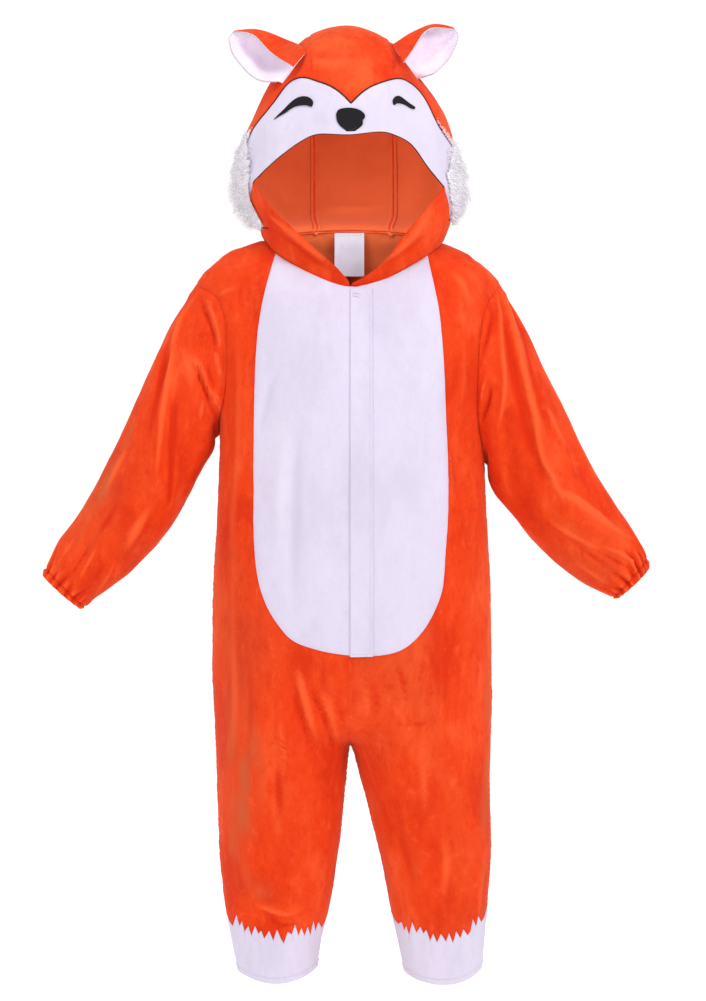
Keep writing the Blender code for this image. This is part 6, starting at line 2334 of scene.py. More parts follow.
def rises(piece, pts, sewn, free):
    """How far each point of a skin is pushed out (or, below 0, in), and the painted light and painted sheen laid on it.
    """
    family = family_of(piece.name)
    to_seam, to_edge = nearest(pts, sewn), nearest(pts, free)
    up = uneven(pts) * {"hood": 0.55, "body": 1.0}.get(family, 0.8 if family else 0.0)
    nap, dust = np.zeros(len(pts)), np.zeros(len(pts))
    if family and family.startswith("sleeve"):
        up *= 1 - 0.7 * np.exp(-((to_edge / 22.0) ** 2))
    if family:
        high, painted_shading = CREASED[family](pts)
        inside = 1 - np.exp(-((to_seam / 3.5) ** 2))
        up += high * inside
        # painted highlight on the ridges of the creases and painted shade in their troughs
        nap += {"hood": 0.9, "body": 1.0}.get(family, 1.05) * painted_shading * inside
        # painted highlight and shade along the listed lines
        if family in PAINTED_LIGHT:
            nap += PAINTED_LIGHT[family](pts)[0]
        # dull brown painted sheen and shade in bands
        if family in PAINTED_SHEEN:
            dust += PAINTED_SHEEN[family](pts)[0] * (0.75 + 0.5 * swell(pts * (1, 1, 0.3), 12.0, 77))
        # the seam is drawn in, with small puckers beside it
        tip = np.minimum(*(np.linalg.norm(pts - q, axis=1) for q in SHOULDER_AT))
        pucker = 0.5 * swell(pts, 6.5, 21) * np.exp(-(((to_seam - 5.0) / 5.0) ** 2))
        groove = np.full(len(pts), {"hood": 0.9, "body": 0.55}.get(family, 0.4))
        if family == "hood":
            crown = 1 / (1 + np.exp((pts[:, 1] + 40) / 8)) / (1 + np.exp((150 - pts[:, 2]) / 8))
            groove *= 1 - 0.75 * crown
            pucker = pucker * (1 - 0.6 * crown)
        if piece.name.startswith("belly"):
            groove *= 1 - 0.75 * np.exp(-((pts[:, 0] / 6.0) ** 2))
        if family != "hood":
            groove *= 1 - 0.8 * np.exp(-((tip / 14.0) ** 2))
            up += 2.6 * np.exp(-((tip / 8.0) ** 2))
            if family.startswith("sleeve"):
                up += 2.2 * np.exp(-(((tip - 14.0) / 8.0) ** 2)) * (1 - np.exp(-((to_seam / 5.0) ** 2)))
                # the sleeve reaches over to the side of the body under the arm
                under = np.linalg.norm(pts - UNDER_ARM[family[-1]], axis=1)
                up += {"R": 5.4, "L": 2.4}[family[-1]] * np.exp(-((under / 20.0) ** 2))
        if piece.name.startswith("face"):
            pucker = pucker * 0.5
        up += pucker - groove * np.exp(-((to_seam / 2.3) ** 2)) + 0.35 * np.exp(-(((to_seam - 5.0) / 2.6) ** 2))
        # painted shade along each seam, darker where its groove is deeper
        nap -= 0.5 * np.exp(-((to_seam / 1.8) ** 2)) * np.minimum(groove / 0.5, 1)
        # a turned hem along a free edge
        if not family.startswith("sleeve"):
            hem_high = 0.15 if family == "hood" else 1.0
            up += hem_high * (0.45 / (1 + np.exp((to_edge - 9.5) / 0.7))
                              - 0.35 * np.exp(-(((to_edge - 9.5) / 1.2) ** 2)))
        else:
            # painted shade and highlight of the gathers at the wrist
            nap += np.concatenate(PAINTED_LIGHT_AT_WRIST["R" if family.endswith("R") else "L"])
    return up, np.clip(nap, -1, 1), np.clip(dust, 0, 1)


def build_mesh(name, pts, faces, slots, materials, smooth=True, crisp=55.0):
    mesh = bpy.data.meshes.new(name)
    faces = np.asarray(faces, np.int32)
    mesh.vertices.add(len(pts))
    mesh.vertices.foreach_set("co", (np.asarray(pts, np.float64) * 0.001).astype(np.float32).ravel())
    width = faces.shape[1]
    mesh.loops.add(faces.size)
    mesh.loops.foreach_set("vertex_index", faces.ravel())
    mesh.polygons.add(len(faces))
    mesh.polygons.foreach_set("loop_start", np.arange(0, faces.size, width, dtype=np.int32))
    mesh.polygons.foreach_set("loop_total", np.full(len(faces), width, np.int32))
    for m in materials:
        mesh.materials.append(m)
    mesh.polygons.foreach_set("material_index", np.asarray(slots, np.int32))
    mesh.update(calc_edges=True)
    mesh.validate()
    if smooth:
        mesh.shade_smooth()
        if crisp:
            mesh.set_sharp_from_angle(angle=math.radians(crisp))
    obj = bpy.data.objects.new(name, mesh)
    bpy.context.scene.collection.objects.link(obj)
    return obj


SKINS = {}      # outer skin of each piece after its creases, for what lies on it


JOINED_AT = {}


def shell_of(piece):
    """Closed thin shell: outer skin, reverse, and rims."""
    pts, tris = piece.pts.copy(), np.asarray(piece.tris)
    n = piece.normals.copy()
    sewn, free = [], []
    joined_at = JOINED_AT.setdefault(piece.name, set())
    for at, way in drawn_back(piece).items():
        key = spot(piece.pts[at])
        n[at] = turned.get(key, n[at])
        others = [w for other, w in parted.get(key, ()) if other != piece.name]
        if others:
            sewn.append(piece.pts[at])
            joined_at.add(int(at))
            way = unit(unit(way) - unit(sum(unit(w) for w in others))) * min(np.linalg.norm(way), 1.5)
        else:
            free.append(piece.pts[at])
        pts[at] += way * piece.trim
    up, nap, dust = rises(piece, piece.pts, sewn, free)
    if piece.name == "face_mask" or piece.name.startswith("hood_side"):
        up += lifts(piece, piece.pts)
    outer = pts + n * (piece.rise + up)[:, None]
    inner = outer - n * piece.wall
    SKINS[piece.name] = (outer, tris, n)
    count = len(pts)
    directed = {}
    for t in tris:
        for i in range(3):
            directed[t[i], t[(i + 1) % 3]] = True
    rims = []
    for loop in piece.loops:
        for a, b in zip(loop, loop[1:] + loop[:1]):
            if (a, b) not in directed:
                a, b = b, a
            rims += [(b, a, a + count), (b, a + count, b + count)]
    faces = np.concatenate([tris, tris[:, ::-1] + count, np.array(rims)])
    slots = np.r_[np.zeros(len(tris)), np.ones(len(tris)), np.zeros(len(rims))]
    return np.concatenate([outer, inner]), faces, slots, np.tile(nap, 2), np.tile(dust, 2)


def lifts(piece, pts):
    """The free edges of the hood: the face opening turns out a little, the lower front bands roll."""
    edge = KDTree(len(FACE_LINE))
    for i, q in enumerate(FACE_LINE):
        edge.insert(q, i)
    edge.balance()
    d = np.array([edge.find(q)[2] for q in pts])
    return 1.6 * np.exp(-((d / 7.0) ** 2))


FACE_LINE = hood(np.concatenate([D["face edge"], D["band R"], D["band L"]]))


def add_piece(obj, node=None, slot=None):
    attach(obj, "root")
    if node:
        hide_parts(node)
    return obj


EAR_TINT = {"ear_inner_right": PINKISH, "ear_inner_left": PINKISH}
for piece in pieces:
    pts, faces, slots, nap, dust = shell_of(piece)
    outside, reverse, slot = PAIRS[piece.cloth]
    outside = EAR_TINT.get(piece.name, outside)
    if piece.name.startswith(("eye", "nose", "ear_inner")):
        reverse = outside
    obj = build_mesh(piece.name + "_cloth", pts, faces, slots, [outside, reverse])
    # each point carries its painted light and painted sheen for the velour's colour
    for word, values in (("nap", nap), ("dust", dust)):
        obj.data.attributes.new(word, "FLOAT", "POINT").data.foreach_set("value", values.astype(np.float32))
    add_piece(obj, piece.name, slot)


# ------------------------------------------------------------------ threads, piping and ridges
def framed(line, normals):
    """Along, across and outward directions at each point of a line."""
    ahead = unit(np.gradient(line, axis=0))
    out = unit(normals - ahead * (normals * ahead).sum(1, keepdims=True))
    return ahead, np.cross(out, ahead), out


def rope(line, normals, wide, high, sides=8, closed=False):
    """A thin solid line, wide across the surface and high above it. Ends are capped."""
    line = np.asarray(line, float)
    if closed:
        ahead = unit(np.roll(line, -1, 0) - np.roll(line, 1, 0))
        out = unit(normals - ahead * (normals * ahead).sum(1, keepdims=True))
        across = np.cross(out, ahead)
    else:
        ahead, across, out = framed(line, normals)
    a = np.linspace(0, 2 * math.pi, sides, endpoint=False)
    wide, high = np.broadcast_to(wide, len(line)), np.broadcast_to(high, len(line))
    ring = (line[:, None] + across[:, None] * (np.cos(a)[None, :] * wide[:, None])[..., None]
            + out[:, None] * (np.sin(a)[None, :] * high[:, None])[..., None])
    m, faces = len(line), []
    pts = ring.reshape(-1, 3)
    last = m if closed else m - 1
    for i in range(last):
        for j in range(sides):
            p, q = i * sides + j, i * sides + (j + 1) % sides
            r, s_ = ((i + 1) % m) * sides + (j + 1) % sides, ((i + 1) % m) * sides + j
            faces += [(p, q, r), (p, r, s_)]
    if not closed:
        pts = np.concatenate([pts, line[:1], line[-1:]])
        for j in range(sides):
            k = (j + 1) % sides
            faces += [(k, j, m * sides), ((m - 1) * sides + j, (m - 1) * sides + k, m * sides + 1)]
    return pts, np.array(faces)


def joined(parts):
    pts, faces, at = [], [], 0
    for p, f in parts:
        pts.append(p)
        faces.append(f + at)
        at += len(p)
    return np.concatenate(pts), np.concatenate(faces)


def skin_at(names, points, lift=0.0):
    """The nearest places on the finished skins of some pieces, and their normals."""
    pts = np.concatenate([SKINS[n][0] for n in names])
    nor = np.concatenate([SKINS[n][2] for n in names])
    tree = KDTree(len(pts))
    for i, q in enumerate(pts):
        tree.insert(q, i)
    tree.balance()
    where, out = [], []
    for q in points:
        found = tree.find_n(q, 6)
        w = np.array([1 / (d + 0.3) ** 2 for _, _, d in found])
        k = np.array([i for _, i, _ in found])
        w /= w.sum()
        n = unit((nor[k] * w[:, None]).sum(0))
        base = (pts[k] * w[:, None]).sum(0)
        where.append(q + n * ((base - q) @ n + lift))
        out.append(n)
    return np.array(where), np.array(out)


def smooth_line(line, times=3):
    line = line.copy()
    for _ in range(times):
        line[1:-1] = 0.25 * line[:-2] + 0.5 * line[1:-1] + 0.25 * line[2:]
    return line


def stitches(line, normals, length=2.6, gap=1.1, thick=0.32):
    """A row of stitches along a line, each a short thread that dips into the cloth at both ends."""
    step = np.r_[0, np.cumsum(np.linalg.norm(np.diff(line, axis=0), axis=1))]
    count = int(step[-1] / (length + gap))
    parts = []
    for i in range(count):
        t = i * (length + gap) + np.linspace(0.0, length, 4)
        at = np.stack([np.interp(t, step, line[:, c]) for c in range(3)], 1)
        n = unit(np.stack([np.interp(t, step, normals[:, c]) for c in range(3)], 1))
        at = at + n * (np.array([-0.25, 0.28, 0.28, -0.25]) * thick / 0.32)[:, None]
        parts.append(rope(at, n, thick, thick * 0.8, 5))
    return parts


def add_lines(name, parts, material, slot, sides_slot=0):
    pts, faces = joined(parts)
    obj = build_mesh(name, pts, faces, np.zeros(len(faces)), [material], crisp=0)
    return add_piece(obj, None, slot)


def neat(line, count):
    return even(np.asarray(line, float), count)


# dark satin cord in the seam between forehead and face
top_line = hood(np.concatenate([D["top r side"], D["top r mid"][1:], D["top l mid"][1:], D["top l side"][1:]]))
halves = [top_line[:len(D["top r side"]) + len(D["top r mid"]) - 1],
          top_line[len(D["top r side"]) + len(D["top r mid"]) - 2:]]
parts = []
for line in halves:
    line = neat(line, pieces_of(line, 1.6))
    at, n = skin_at(["face_mask", "hood_center", "hood_side_right", "hood_side_left"], line)
    at = smooth_line(at + n * 0.35)
    parts.append(rope(at, n, 0.85, 0.75, 8))
add_lines("face_piping", parts, PIPING, "black_applique")

# placket: topstitch down its free edge and across its foot, bar tack at the top
z = np.linspace(belly_low + 1.5, neck_low - 6.0, 220)
x = np.full(220, PLACKET[1] - 2.6)
foot_x = np.linspace(PLACKET[0] + 2.5, PLACKET[1] - 2.6, 20)
down = body("L", "front", share("L", x, z), z)
foot = body("L", "front", share("L", foot_x, np.full(20, belly_low + 1.5)), np.full(20, belly_low + 1.5))
parts = []
for line in (down, foot):
    at, n = skin_at(["placket_"] if "placket_" in SKINS else ["placket"], line, 0.1)
    at = smooth_line(at)
    parts += stitches(at, n, 2.5, 1.0, 0.26)
tack_x = np.linspace(3.0, 11.5, 15)
for k in range(2):
    tz = neck_low - 9.0 - 3.4 * k + 0.5 * np.sin(tack_x * 0.4)
    line = body("L", "front", share("L", tack_x, tz), tz)
    at, n = skin_at(["placket"], line, 0.35)
    parts.append(rope(at, n, 0.55, 0.5, 6))
add_lines("placket_stitches", parts, THREAD_WHITE, "white_velour")

# hems of the legs and casings of the wrists
parts = []
for half, word in (("R", "right"), ("L", "left")):
    ring = []
    t = np.linspace(0, 1, 150)
    for face, line in (("front", t), ("back", t[::-1])):
        ring.append(body(half, face, line, hem(half, face, line) + 6.5))
    line = np.concatenate(ring)
    at, n = skin_at(["leg_cuff_" + word], line, 0.1)
    parts += stitches(smooth_line(at, 2), n, 2.6, 1.1, 0.3)
add_lines("leg_hem_stitches", parts, THREAD_WHITE, "white_velour")
parts = []
for half, word in (("R", "right"), ("L", "left")):
    rings = SLEEVES[half][2]
    row = int(np.argmin(np.abs(np.concatenate([np.linspace(0, .8, 92), np.linspace(.8, 1, 48)[1:]])
                               - (1 - CASING / SLEEVE_LONG))))
    outer = SKINS["sleeve_" + word][0].reshape(len(rings), -1, 3)
    nor = SKINS["sleeve_" + word][2].reshape(len(rings), -1, 3)
    line = np.concatenate([outer[row], outer[row][:1]])
    n = np.concatenate([nor[row], nor[row][:1]])
    dense = neat(line, 260)
    idx = np.linspace(0, len(line) - 1, 260)
    nn = unit(np.stack([np.interp(idx, np.arange(len(n)), n[:, c]) for c in range(3)], 1))
    parts += stitches(dense, nn, 2.0, 0.8, 0.28)
add_lines("wrist_stitches", parts, THREAD_ORANGE, "orange_velour")

# seam allowances inside the hood: a pair of ridges along each gusset seam, one along the neck seam
parts = []
for half in "RL":
    line = hood(D["gusset " + half])
    line = neat(line, pieces_of(line, 3.0))
    n = hood_normal(unit(line - MID))
    ahead, across, out = framed(line, n)
    for side_of in (-1, 1):
        at = line + across * 2.6 * side_of - out * 1.9
        parts.append(rope(smooth_line(at), -out, 1.9, 0.9, 8))
for half in "RL":
    line = np.concatenate([neck_at[half, "nape"], neck_at[half, "neck back"][1:]])
    line = neat(line, pieces_of(line, 3.0))
    n = hood_normal(unit(line - MID))
    parts.append(rope(smooth_line(line - n * 1.9 + (0, 0, 2.0)), -n, 1.0, 1.9, 8))
add_lines("hood_seam_allowances", parts, ORANGE_BACK, "orange_velour")

# stitches at the head of the label
lx = np.linspace(LABEL[0] + 1.0, LABEL[1] - 1.0, 40)
f_line = np.stack([lx, np.full(40, LABEL[2] - 2.0)], 1)
line = label_at(f_line)
parts = stitches(line - (0, 0.35, 0), np.tile((0.0, -1.0, 0.0), (40, 1)), 2.2, 1.0, 0.24)
add_lines("label_stitches", parts, THREAD_WHITE, "label_tape")

# seam allowances: a turned edge of cloth lies along the inner side of every seam of the body and the hood
parts = []
for piece in pieces:
    if not piece.name.startswith(("front", "back", "hood_side")):
        continue
    outer, _, normals = SKINS[piece.name]
    for loop in piece.loops:
        kept_at = [int(i) in JOINED_AT[piece.name] for i in loop]
        start = kept_at.index(False) if False in kept_at else 0
        order = list(loop[start:]) + list(loop[:start + 1])
        run = []
        for i in order + [None]:
            if i is not None and int(i) in JOINED_AT[piece.name]:
                run.append(int(i))
                continue
            if len(run) > 5:
                n = normals[run]
                parts.append(rope(outer[run] - n * 1.15, n, 1.0, 0.8, 6))
            run = []
add_lines("seam_allowances", parts, ORANGE, "orange_velour")

# folded edge of the placket, which fills the join down the centre front
z = np.linspace(belly_low - 1.0, neck_low - 4.0, 160)
line = body("L", "front", share("L", 0 * z + PLACKET[0] - 0.2, z), z)
out = np.tile((0.0, -1.0, 0.0), (160, 1))
line, n = skin_at(["belly_right", "placket"], line, -0.55)
far_line = body("L", "front", share("L", 0 * z + PLACKET[1] + 0.2, z), z)
far_line, far_n = skin_at(["belly_left", "placket"], far_line, -0.55)
add_lines("placket_folds", [rope(smooth_line(line, 4), n, 1.4, 0.8, 10),
                            rope(smooth_line(far_line, 4), far_n, 1.4, 0.8, 10)], WHITE, "white_velour")

# dark binding along the edge of the face, on its inner side, which also stands for painted shadow under the edge
line = hood(D["face edge"])
line, n = skin_at(["face_mask"], line, -1.0)
line = neat(smooth_line(line, 2), 200)
n = unit(line - MID)
add_lines("face_binding", [rope(line - n * 0.3, n, 0.75, 0.7, 8)], PIPING, "black_applique")

# turned edge round the open margin of each ear, from the rolled side over the tip to the lower side
parts = []
for half, word in (("R", "right"), ("L", "left")):
    rim = EAR_RIMS[half]
    count_w = 67
    line = rim[count_w - 1 + 9:-8]
    line = neat(smooth_line(line, 4), 190)
    centre = line.mean(0)
    n = unit(line - centre)
    parts.append(rope(line, n, 0.9, 0.9, 8))
add_lines("ear_piping", parts, RIM, "white_velour")

# dark tacks where the face meets the lower bands of the hood
parts = []
for uv in (((257.5, 229.6), (260.5, 229.8), (264, 229.0), (267, 229.3)),
           ((448.5, 220.3), (450, 219.6), (451.4, 220.2), (452.6, 218.6))):
    d = hood_seen(np.array(uv))
    line = neat(hood(d), 12)
    at, n = skin_at(["hood_side_right", "hood_side_left", "face_mask"], line, 0.35)
    parts.append(rope(at, n, 0.75, 0.6, 6))
add_lines("corner_tacks", parts, PIPING, "black_applique")

# a row of small stitches across the foot of the nose
uv = through([(341.0, 126.6), (345.0, 129.3), (350.5, 129.9), (355.5, 128.0), (358.0, 125.2)], 40)
line = neat(hood(hood_seen(uv)), 60)
at, n = skin_at(["nose"], line, 0.05)
add_lines("nose_stitches", stitches(smooth_line(at, 2), n, 0.9, 1.3, 0.13), THREAD_GREY, "black_applique")

# seam allowances inside the centre seams, between the belly and the crotch in front and up the back
parts = []
for face, top in (("front", belly_low - 2.0), ("back", -330.0)):
    z = np.linspace(CROTCH + 0.5, top, 60)
    line = body("R", face, np.zeros(60), z)
    out = np.tile((0.0, -1.0 if face == "front" else 1.0, 0.0), (60, 1))
    parts.append(rope(line - out * 1.0, out, 3.0, 0.8, 8))
add_lines("centre_seam_allowances", parts, ORANGE, "orange_velour")


# ------------------------------------------------------------------ fur
FUR_COUNT = 6500
EDGE_COUNT = 1500
WISP_COUNT = 260
FUR_STEPS = 4                      # pieces along each strand
FUR_LEAN = {"R": 0.20, "L": 0.10}
# reach of the strands beyond the hood, mm, and how far their roots come forward over the cheek, mm
FUR_REACH = """
   at  reachR  reachL  overR  overL
    0       3       5     18     22
  .08       5       8     32     36
  .2       10      12     40     42
  .35      15      14     40     44
  .5       19      16     36     42
  .65      19      15     29     36
  .8       16      11     20     26
  .9       11       7     14     16
    1       5       4      8      8
"""


def fur_frame(half, at, off):
    """Places on the hood by share down the side of the face and distance forward of it, mm."""
    line = side[half]
    p_line = hood(line)
    t = np.r_[0, np.cumsum(np.linalg.norm(np.diff(p_line, axis=0), axis=1))]
    t /= t[-1]

    def on_line(a):
        return unit(np.stack([np.interp(np.clip(a, 0, 1), t, line[:, i]) for i in range(3)], 1))
    d = on_line(at)
    lengthwise = unit(hood(on_line(at + 0.03)) - hood(on_line(at - 0.03)))
    n = hood_normal(d)
    b = unit(np.cross(n, lengthwise))
    b = b * np.where(b[:, 1:2] < 0, 1.0, -1.0)          # towards the front
    r = np.linalg.norm(hood(d) - MID, axis=1)
    turn = (off / r)[:, None]
    q = unit(d * np.cos(turn) + unit(b - d * (b * d).sum(1, keepdims=True)) * np.sin(turn))
    n = hood_normal(q)
    forward = unit(b - n * (b * n).sum(1, keepdims=True))
    return hood(q), n, forward, unit(lengthwise - n * (lengthwise * n).sum(1, keepdims=True))


def strand_fur(half):
    rng = np.random.default_rng({"R": 11, "L": 23}[half])
    f = table(FUR_REACH)
    reach, over = steady(f["at"], f["reach" + half]), steady(f["at"], f["over" + half])
    count = FUR_COUNT
    at = rng.random(count)
    far = np.where(rng.random(count) < 0.55, np.abs(rng.normal(0, 0.15, count)), rng.random(count) ** 1.5)
    far = np.minimum(far, 1.0)
    behind = rng.random(count) < 0.12
    off = np.where(behind, -rng.uniform(0, 7, count), far * over(at))
    root, normal, forward, down = fur_frame(half, at, off)
    root = root + normal * 1.2
    long_ = (reach(at) * (1.0 - 0.45 * far) + 2.0) * rng.uniform(0.5, 1.08, count)
    # strands lean outwards over the edge and down, flatter on the cheek; neighbours lean alike
    clump = np.stack([swell(root, 8.0, 31), swell(root, 8.0, 37), swell(root, 8.0, 41)], 1)
    wild = rng.normal(0, 1, (count, 3))
    lift = np.interp(far, (0, .25, .6, 1), (1.0, 0.62, 0.30, 0.12))
    back = np.interp(far, (0, .25, .6, 1), (0.10, 0.45, 0.85, 1.0))
    lean = np.interp(at, (0, .12, .8, 1), (0.10, 0.25 + FUR_LEAN[half], 0.20 + FUR_LEAN[half], -0.15))
    way = unit(normal * lift[:, None] - forward * back[:, None] + down * lean[:, None]
               + np.array((0, 0, -0.06)) + 0.34 * clump + 0.15 * wild)
    fall = np.array((0.0, 0.0, -1.0)) * (rng.uniform(0.06, 0.32, count)
                                         * np.interp(at, (0, .7, 1), (1, 1, 0.1)))[:, None]
    curl = 0.22 * np.stack([swell(root, 4.0, 51), swell(root, 4.0, 53), swell(root, 4.0, 57)], 1)
    u = np.linspace(0, 1, FUR_STEPS + 1)
    line_pts = (root[:, None] + way[:, None] * u[None, :, None] * long_[:, None, None]
                + (fall + curl)[:, None] * (u**2)[None, :, None] * long_[:, None, None])
    # keep every strand outside the hood
    flat_pts = line_pts.reshape(-1, 3)
    d_all = unit(flat_pts - MID)
    r_all = np.linalg.norm(flat_pts - MID, axis=1)
    r_skin = np.linalg.norm(hood(d_all) - MID, axis=1) + 2.5 + 1.3 * np.tile(u, count)
    # and outside the finished face and hood, which stand a little proud of the plain form
    word = {"R": "right", "L": "left"}[half]
    skin = np.concatenate([SKINS[n][0] for n in ("face_mask", "hood_side_" + word)])
    tree = KDTree(len(skin))
    for i, q in enumerate(skin):
        tree.insert(q, i)
    tree.balance()
    near = [tree.find(q) for q in flat_pts]
    r_near = np.linalg.norm(np.array([q for q, _, _ in near]) - MID, axis=1)
    gap = np.array([g for _, _, g in near])
    r_skin = np.maximum(r_skin, np.where(gap < 14, r_near + 1.3 + 1.3 * np.tile(u, count), 0))
    flat_pts = MID + d_all * np.maximum(r_all, r_skin)[:, None]
    line_pts = flat_pts.reshape(count, FUR_STEPS + 1, 3)
    return strands_of(line_pts, rng.uniform(0.27, 0.46, count), normal + 0.3 * wild)


def strands_of(line_pts, thick, normal):
    """Three-sided tapering strands along these lines."""
    count = len(line_pts)
    ahead = unit(line_pts[:, -1] - line_pts[:, 0])
    side_a = unit(np.cross(ahead, normal))
    side_b = np.cross(ahead, side_a)
    taper = np.linspace(1.0, 0.45, FUR_STEPS)
    rings = []
    for k in range(FUR_STEPS):
        for a in (0, 2 * math.pi / 3, 4 * math.pi / 3):
            rings.append(line_pts[:, k] + (side_a * math.cos(a) + side_b * math.sin(a))
                         * (thick * taper[k])[:, None])
    rings.append(line_pts[:, -1])
    pts = np.stack(rings, 1)                 # strand, point, coordinate
    per = pts.shape[1]
    tris = [(0, 2, 1)]
    for k in range(FUR_STEPS - 1):
        for j in range(3):
            a, c = 3 * k + j, 3 * k + (j + 1) % 3
            tris += [(a, c, c + 3), (a, c + 3, a + 3)]
    k = 3 * (FUR_STEPS - 1)
    for j in range(3):
        tris.append((k + j, k + (j + 1) % 3, per - 1))
    tris = np.array(tris)
    faces = (tris[None] + (np.arange(count) * per)[:, None, None]).reshape(-1, 3)
    return pts.reshape(-1, 3), faces


def wisps(half):
    """Loose strands from the upper end of the trim, which lie back over the orange side of the hood."""
    rng = np.random.default_rng({"R": 71, "L": 83}[half])
    line = hood(D["top r side"])[::-1] if half == "R" else hood(D["top l side"])
    count = WISP_COUNT * 2 // 3 if half == "L" else WISP_COUNT // 9
    t = np.r_[0, np.cumsum(np.linalg.norm(np.diff(line, axis=0), axis=1))]
    first = {"R": 0.86, "L": 0.62}[half]
    a = t[-1] * (first + (1 - first) * rng.random(count) ** 0.7)
    root = np.stack([np.interp(a, t, line[:, c]) for c in range(3)], 1)
    along_it = unit(np.stack([np.interp(a + 2, t, line[:, c]) - np.interp(a - 4, t, line[:, c]) for c in range(3)], 1))
    d = unit(root - MID)
    n = hood_normal(d)
    out = unit(np.cross(n, along_it))
    out = out * np.where(out[:, 1:2] < 0, -1.0, 1.0)      # backwards, over the orange
    root = root - out * rng.uniform(0, 5, count)[:, None] + n * 1.7
    clump = np.stack([swell(root, 5.0, 91), swell(root, 5.0, 93), swell(root, 5.0, 97)], 1)
    wild = rng.normal(0, 1, (count, 3))
    way = unit(out + 0.30 * along_it + 0.10 * n + 0.30 * clump + 0.14 * wild)
    share_on = (a / t[-1] - first) / (1 - first)
    long_ = (4.0 + 8.0 * share_on) * rng.uniform(0.6, 1.1, count)
    u = np.linspace(0, 1, FUR_STEPS + 1)
    line_pts = (root[:, None] + way[:, None] * u[None, :, None] * long_[:, None, None]
                + (np.array((0, 0, -0.25)) + 0.2 * clump)[:, None] * (u**2)[None, :, None] * long_[:, None, None])
    flat_pts = line_pts.reshape(-1, 3)
    d_all = unit(flat_pts - MID)
    r_all = np.linalg.norm(flat_pts - MID, axis=1)
    r_skin = np.linalg.norm(hood(d_all) - MID, axis=1) + 2.2 + 1.0 * np.tile(u, count)
    line_pts = (MID + d_all * np.maximum(r_all, r_skin)[:, None]).reshape(count, FUR_STEPS + 1, 3)
    return strands_of(line_pts, rng.uniform(0.12, 0.20, count), n + 0.3 * wild)


def edge_fur(half):
    """Strands rooted along the side edge of the face, which lie outwards over the edge and hide it."""
    rng = np.random.default_rng({"R": 101, "L": 113}[half])
    s = -1.0 if half == "R" else 1.0
    low, high = {"R": (54.0, 116.0), "L": (26.0, 113.0)}[half]
    pts, _, normals = SKINS["face_mask"]
    out_x = s * pts[:, 0]
    levels = np.arange(low - 4, high + 8, 3.0)
    reach_x = np.array([out_x[np.abs(pts[:, 2] - z) < 3.5].max() for z in levels])
    inward = np.interp(pts[:, 2], levels, reach_x) - out_x
    near = np.flatnonzero((pts[:, 2] > low) & (pts[:, 2] < high) & (out_x > 40) & (inward < 12))
    chance = np.exp(-inward[near] / 3.6)
    i = rng.choice(near, EDGE_COUNT, p=chance / chance.sum())
    n = normals[i]
    root = pts[i] + rng.normal(0, 0.9, (EDGE_COUNT, 3)) * (1 - np.abs(n)) + n * 0.8
    clump = np.stack([swell(root, 6.0, 121), swell(root, 6.0, 127), swell(root, 6.0, 131)], 1)
    wild = rng.normal(0, 1, (EDGE_COUNT, 3))
    top = np.clip((high - root[:, 2]) / 14.0, 0, 1)
    way = unit(np.array((s, 0.10, -0.22)) + 0.42 * n + 0.26 * clump + 0.14 * wild)
    long_ = (4.0 + 8.5 * top) * rng.uniform(0.6, 1.1, EDGE_COUNT)
    u = np.linspace(0, 1, FUR_STEPS + 1)
    line_pts = (root[:, None] + way[:, None] * u[None, :, None] * long_[:, None, None]
                + (np.array((0, 0.25, -0.22)) + 0.2 * clump)[:, None] * (u**2)[None, :, None] * long_[:, None, None])
    return strands_of(line_pts, rng.uniform(0.20, 0.36, EDGE_COUNT), n + 0.3 * wild)


def fur_ground(half):
    """Matted base of the fur: thin over the cheek, thicker at the edge of the face."""
    f = table(FUR_REACH)
    over = steady(f["at"], f["over" + half])
    rows_at, cols = np.linspace(0, 1, 90), 26
    rows = []
    for a in rows_at:
        wide = float(over(np.array([a]))[0])
        off = np.linspace(-8.0, 1.2, cols)
        root, n, _, _ = fur_frame(half, np.full(cols, a), off)
        e = (off + 8.0) / 9.2
        shape = np.sin(math.pi * e) ** 0.6 * math.sin(math.pi * (0.06 + 0.88 * a)) ** 0.6
        high = 0.15 + 2.2 * shape
        rows.append(np.concatenate([root + n * high[:, None], (root - n * 0.6)[::-1]]))
    pts = np.concatenate(rows)
    m = 2 * cols
    pts = pts + 0.45 * np.stack([swell(pts, 4.0, 61), swell(pts, 4.0, 67), swell(pts, 4.0, 71)], 1)
    faces = []
    for i in range(len(rows_at) - 1):
        for j in range(m):
            a, c = i * m + j, i * m + (j + 1) % m
            faces += [(a, c, c + m), (a, c + m, a + m)]
    last = (len(rows_at) - 1) * m
    for j in range(cols - 1):
        k = m - 1 - j
        faces += [(j, k - 1, j + 1), (j, k, k - 1)] if k - 1 > j + 1 else [(j, k, j + 1)]
        faces += ([(last + j, last + j + 1, last + k - 1), (last + j, last + k - 1, last + k)]
                  if k - 1 > j + 1 else [(last + j, last + j + 1, last + k)])
    faces = np.array(faces)
    v = np.einsum("ij,ij->i", pts[faces[:, 0]], np.cross(pts[faces[:, 1]], pts[faces[:, 2]])).sum()
    return pts, faces if v > 0 else faces[:, ::-1]


for half, word in (("R", "right"), ("L", "left")):
    pts, faces = joined([fur_ground(half), strand_fur(half), edge_fur(half), wisps(half)])
    obj = build_mesh("fur_%s_strands" % word, pts, faces, np.zeros(len(faces)), [FUR_WHITE], crisp=0)
    add_piece(obj, "fur_" + word, "white_fur")


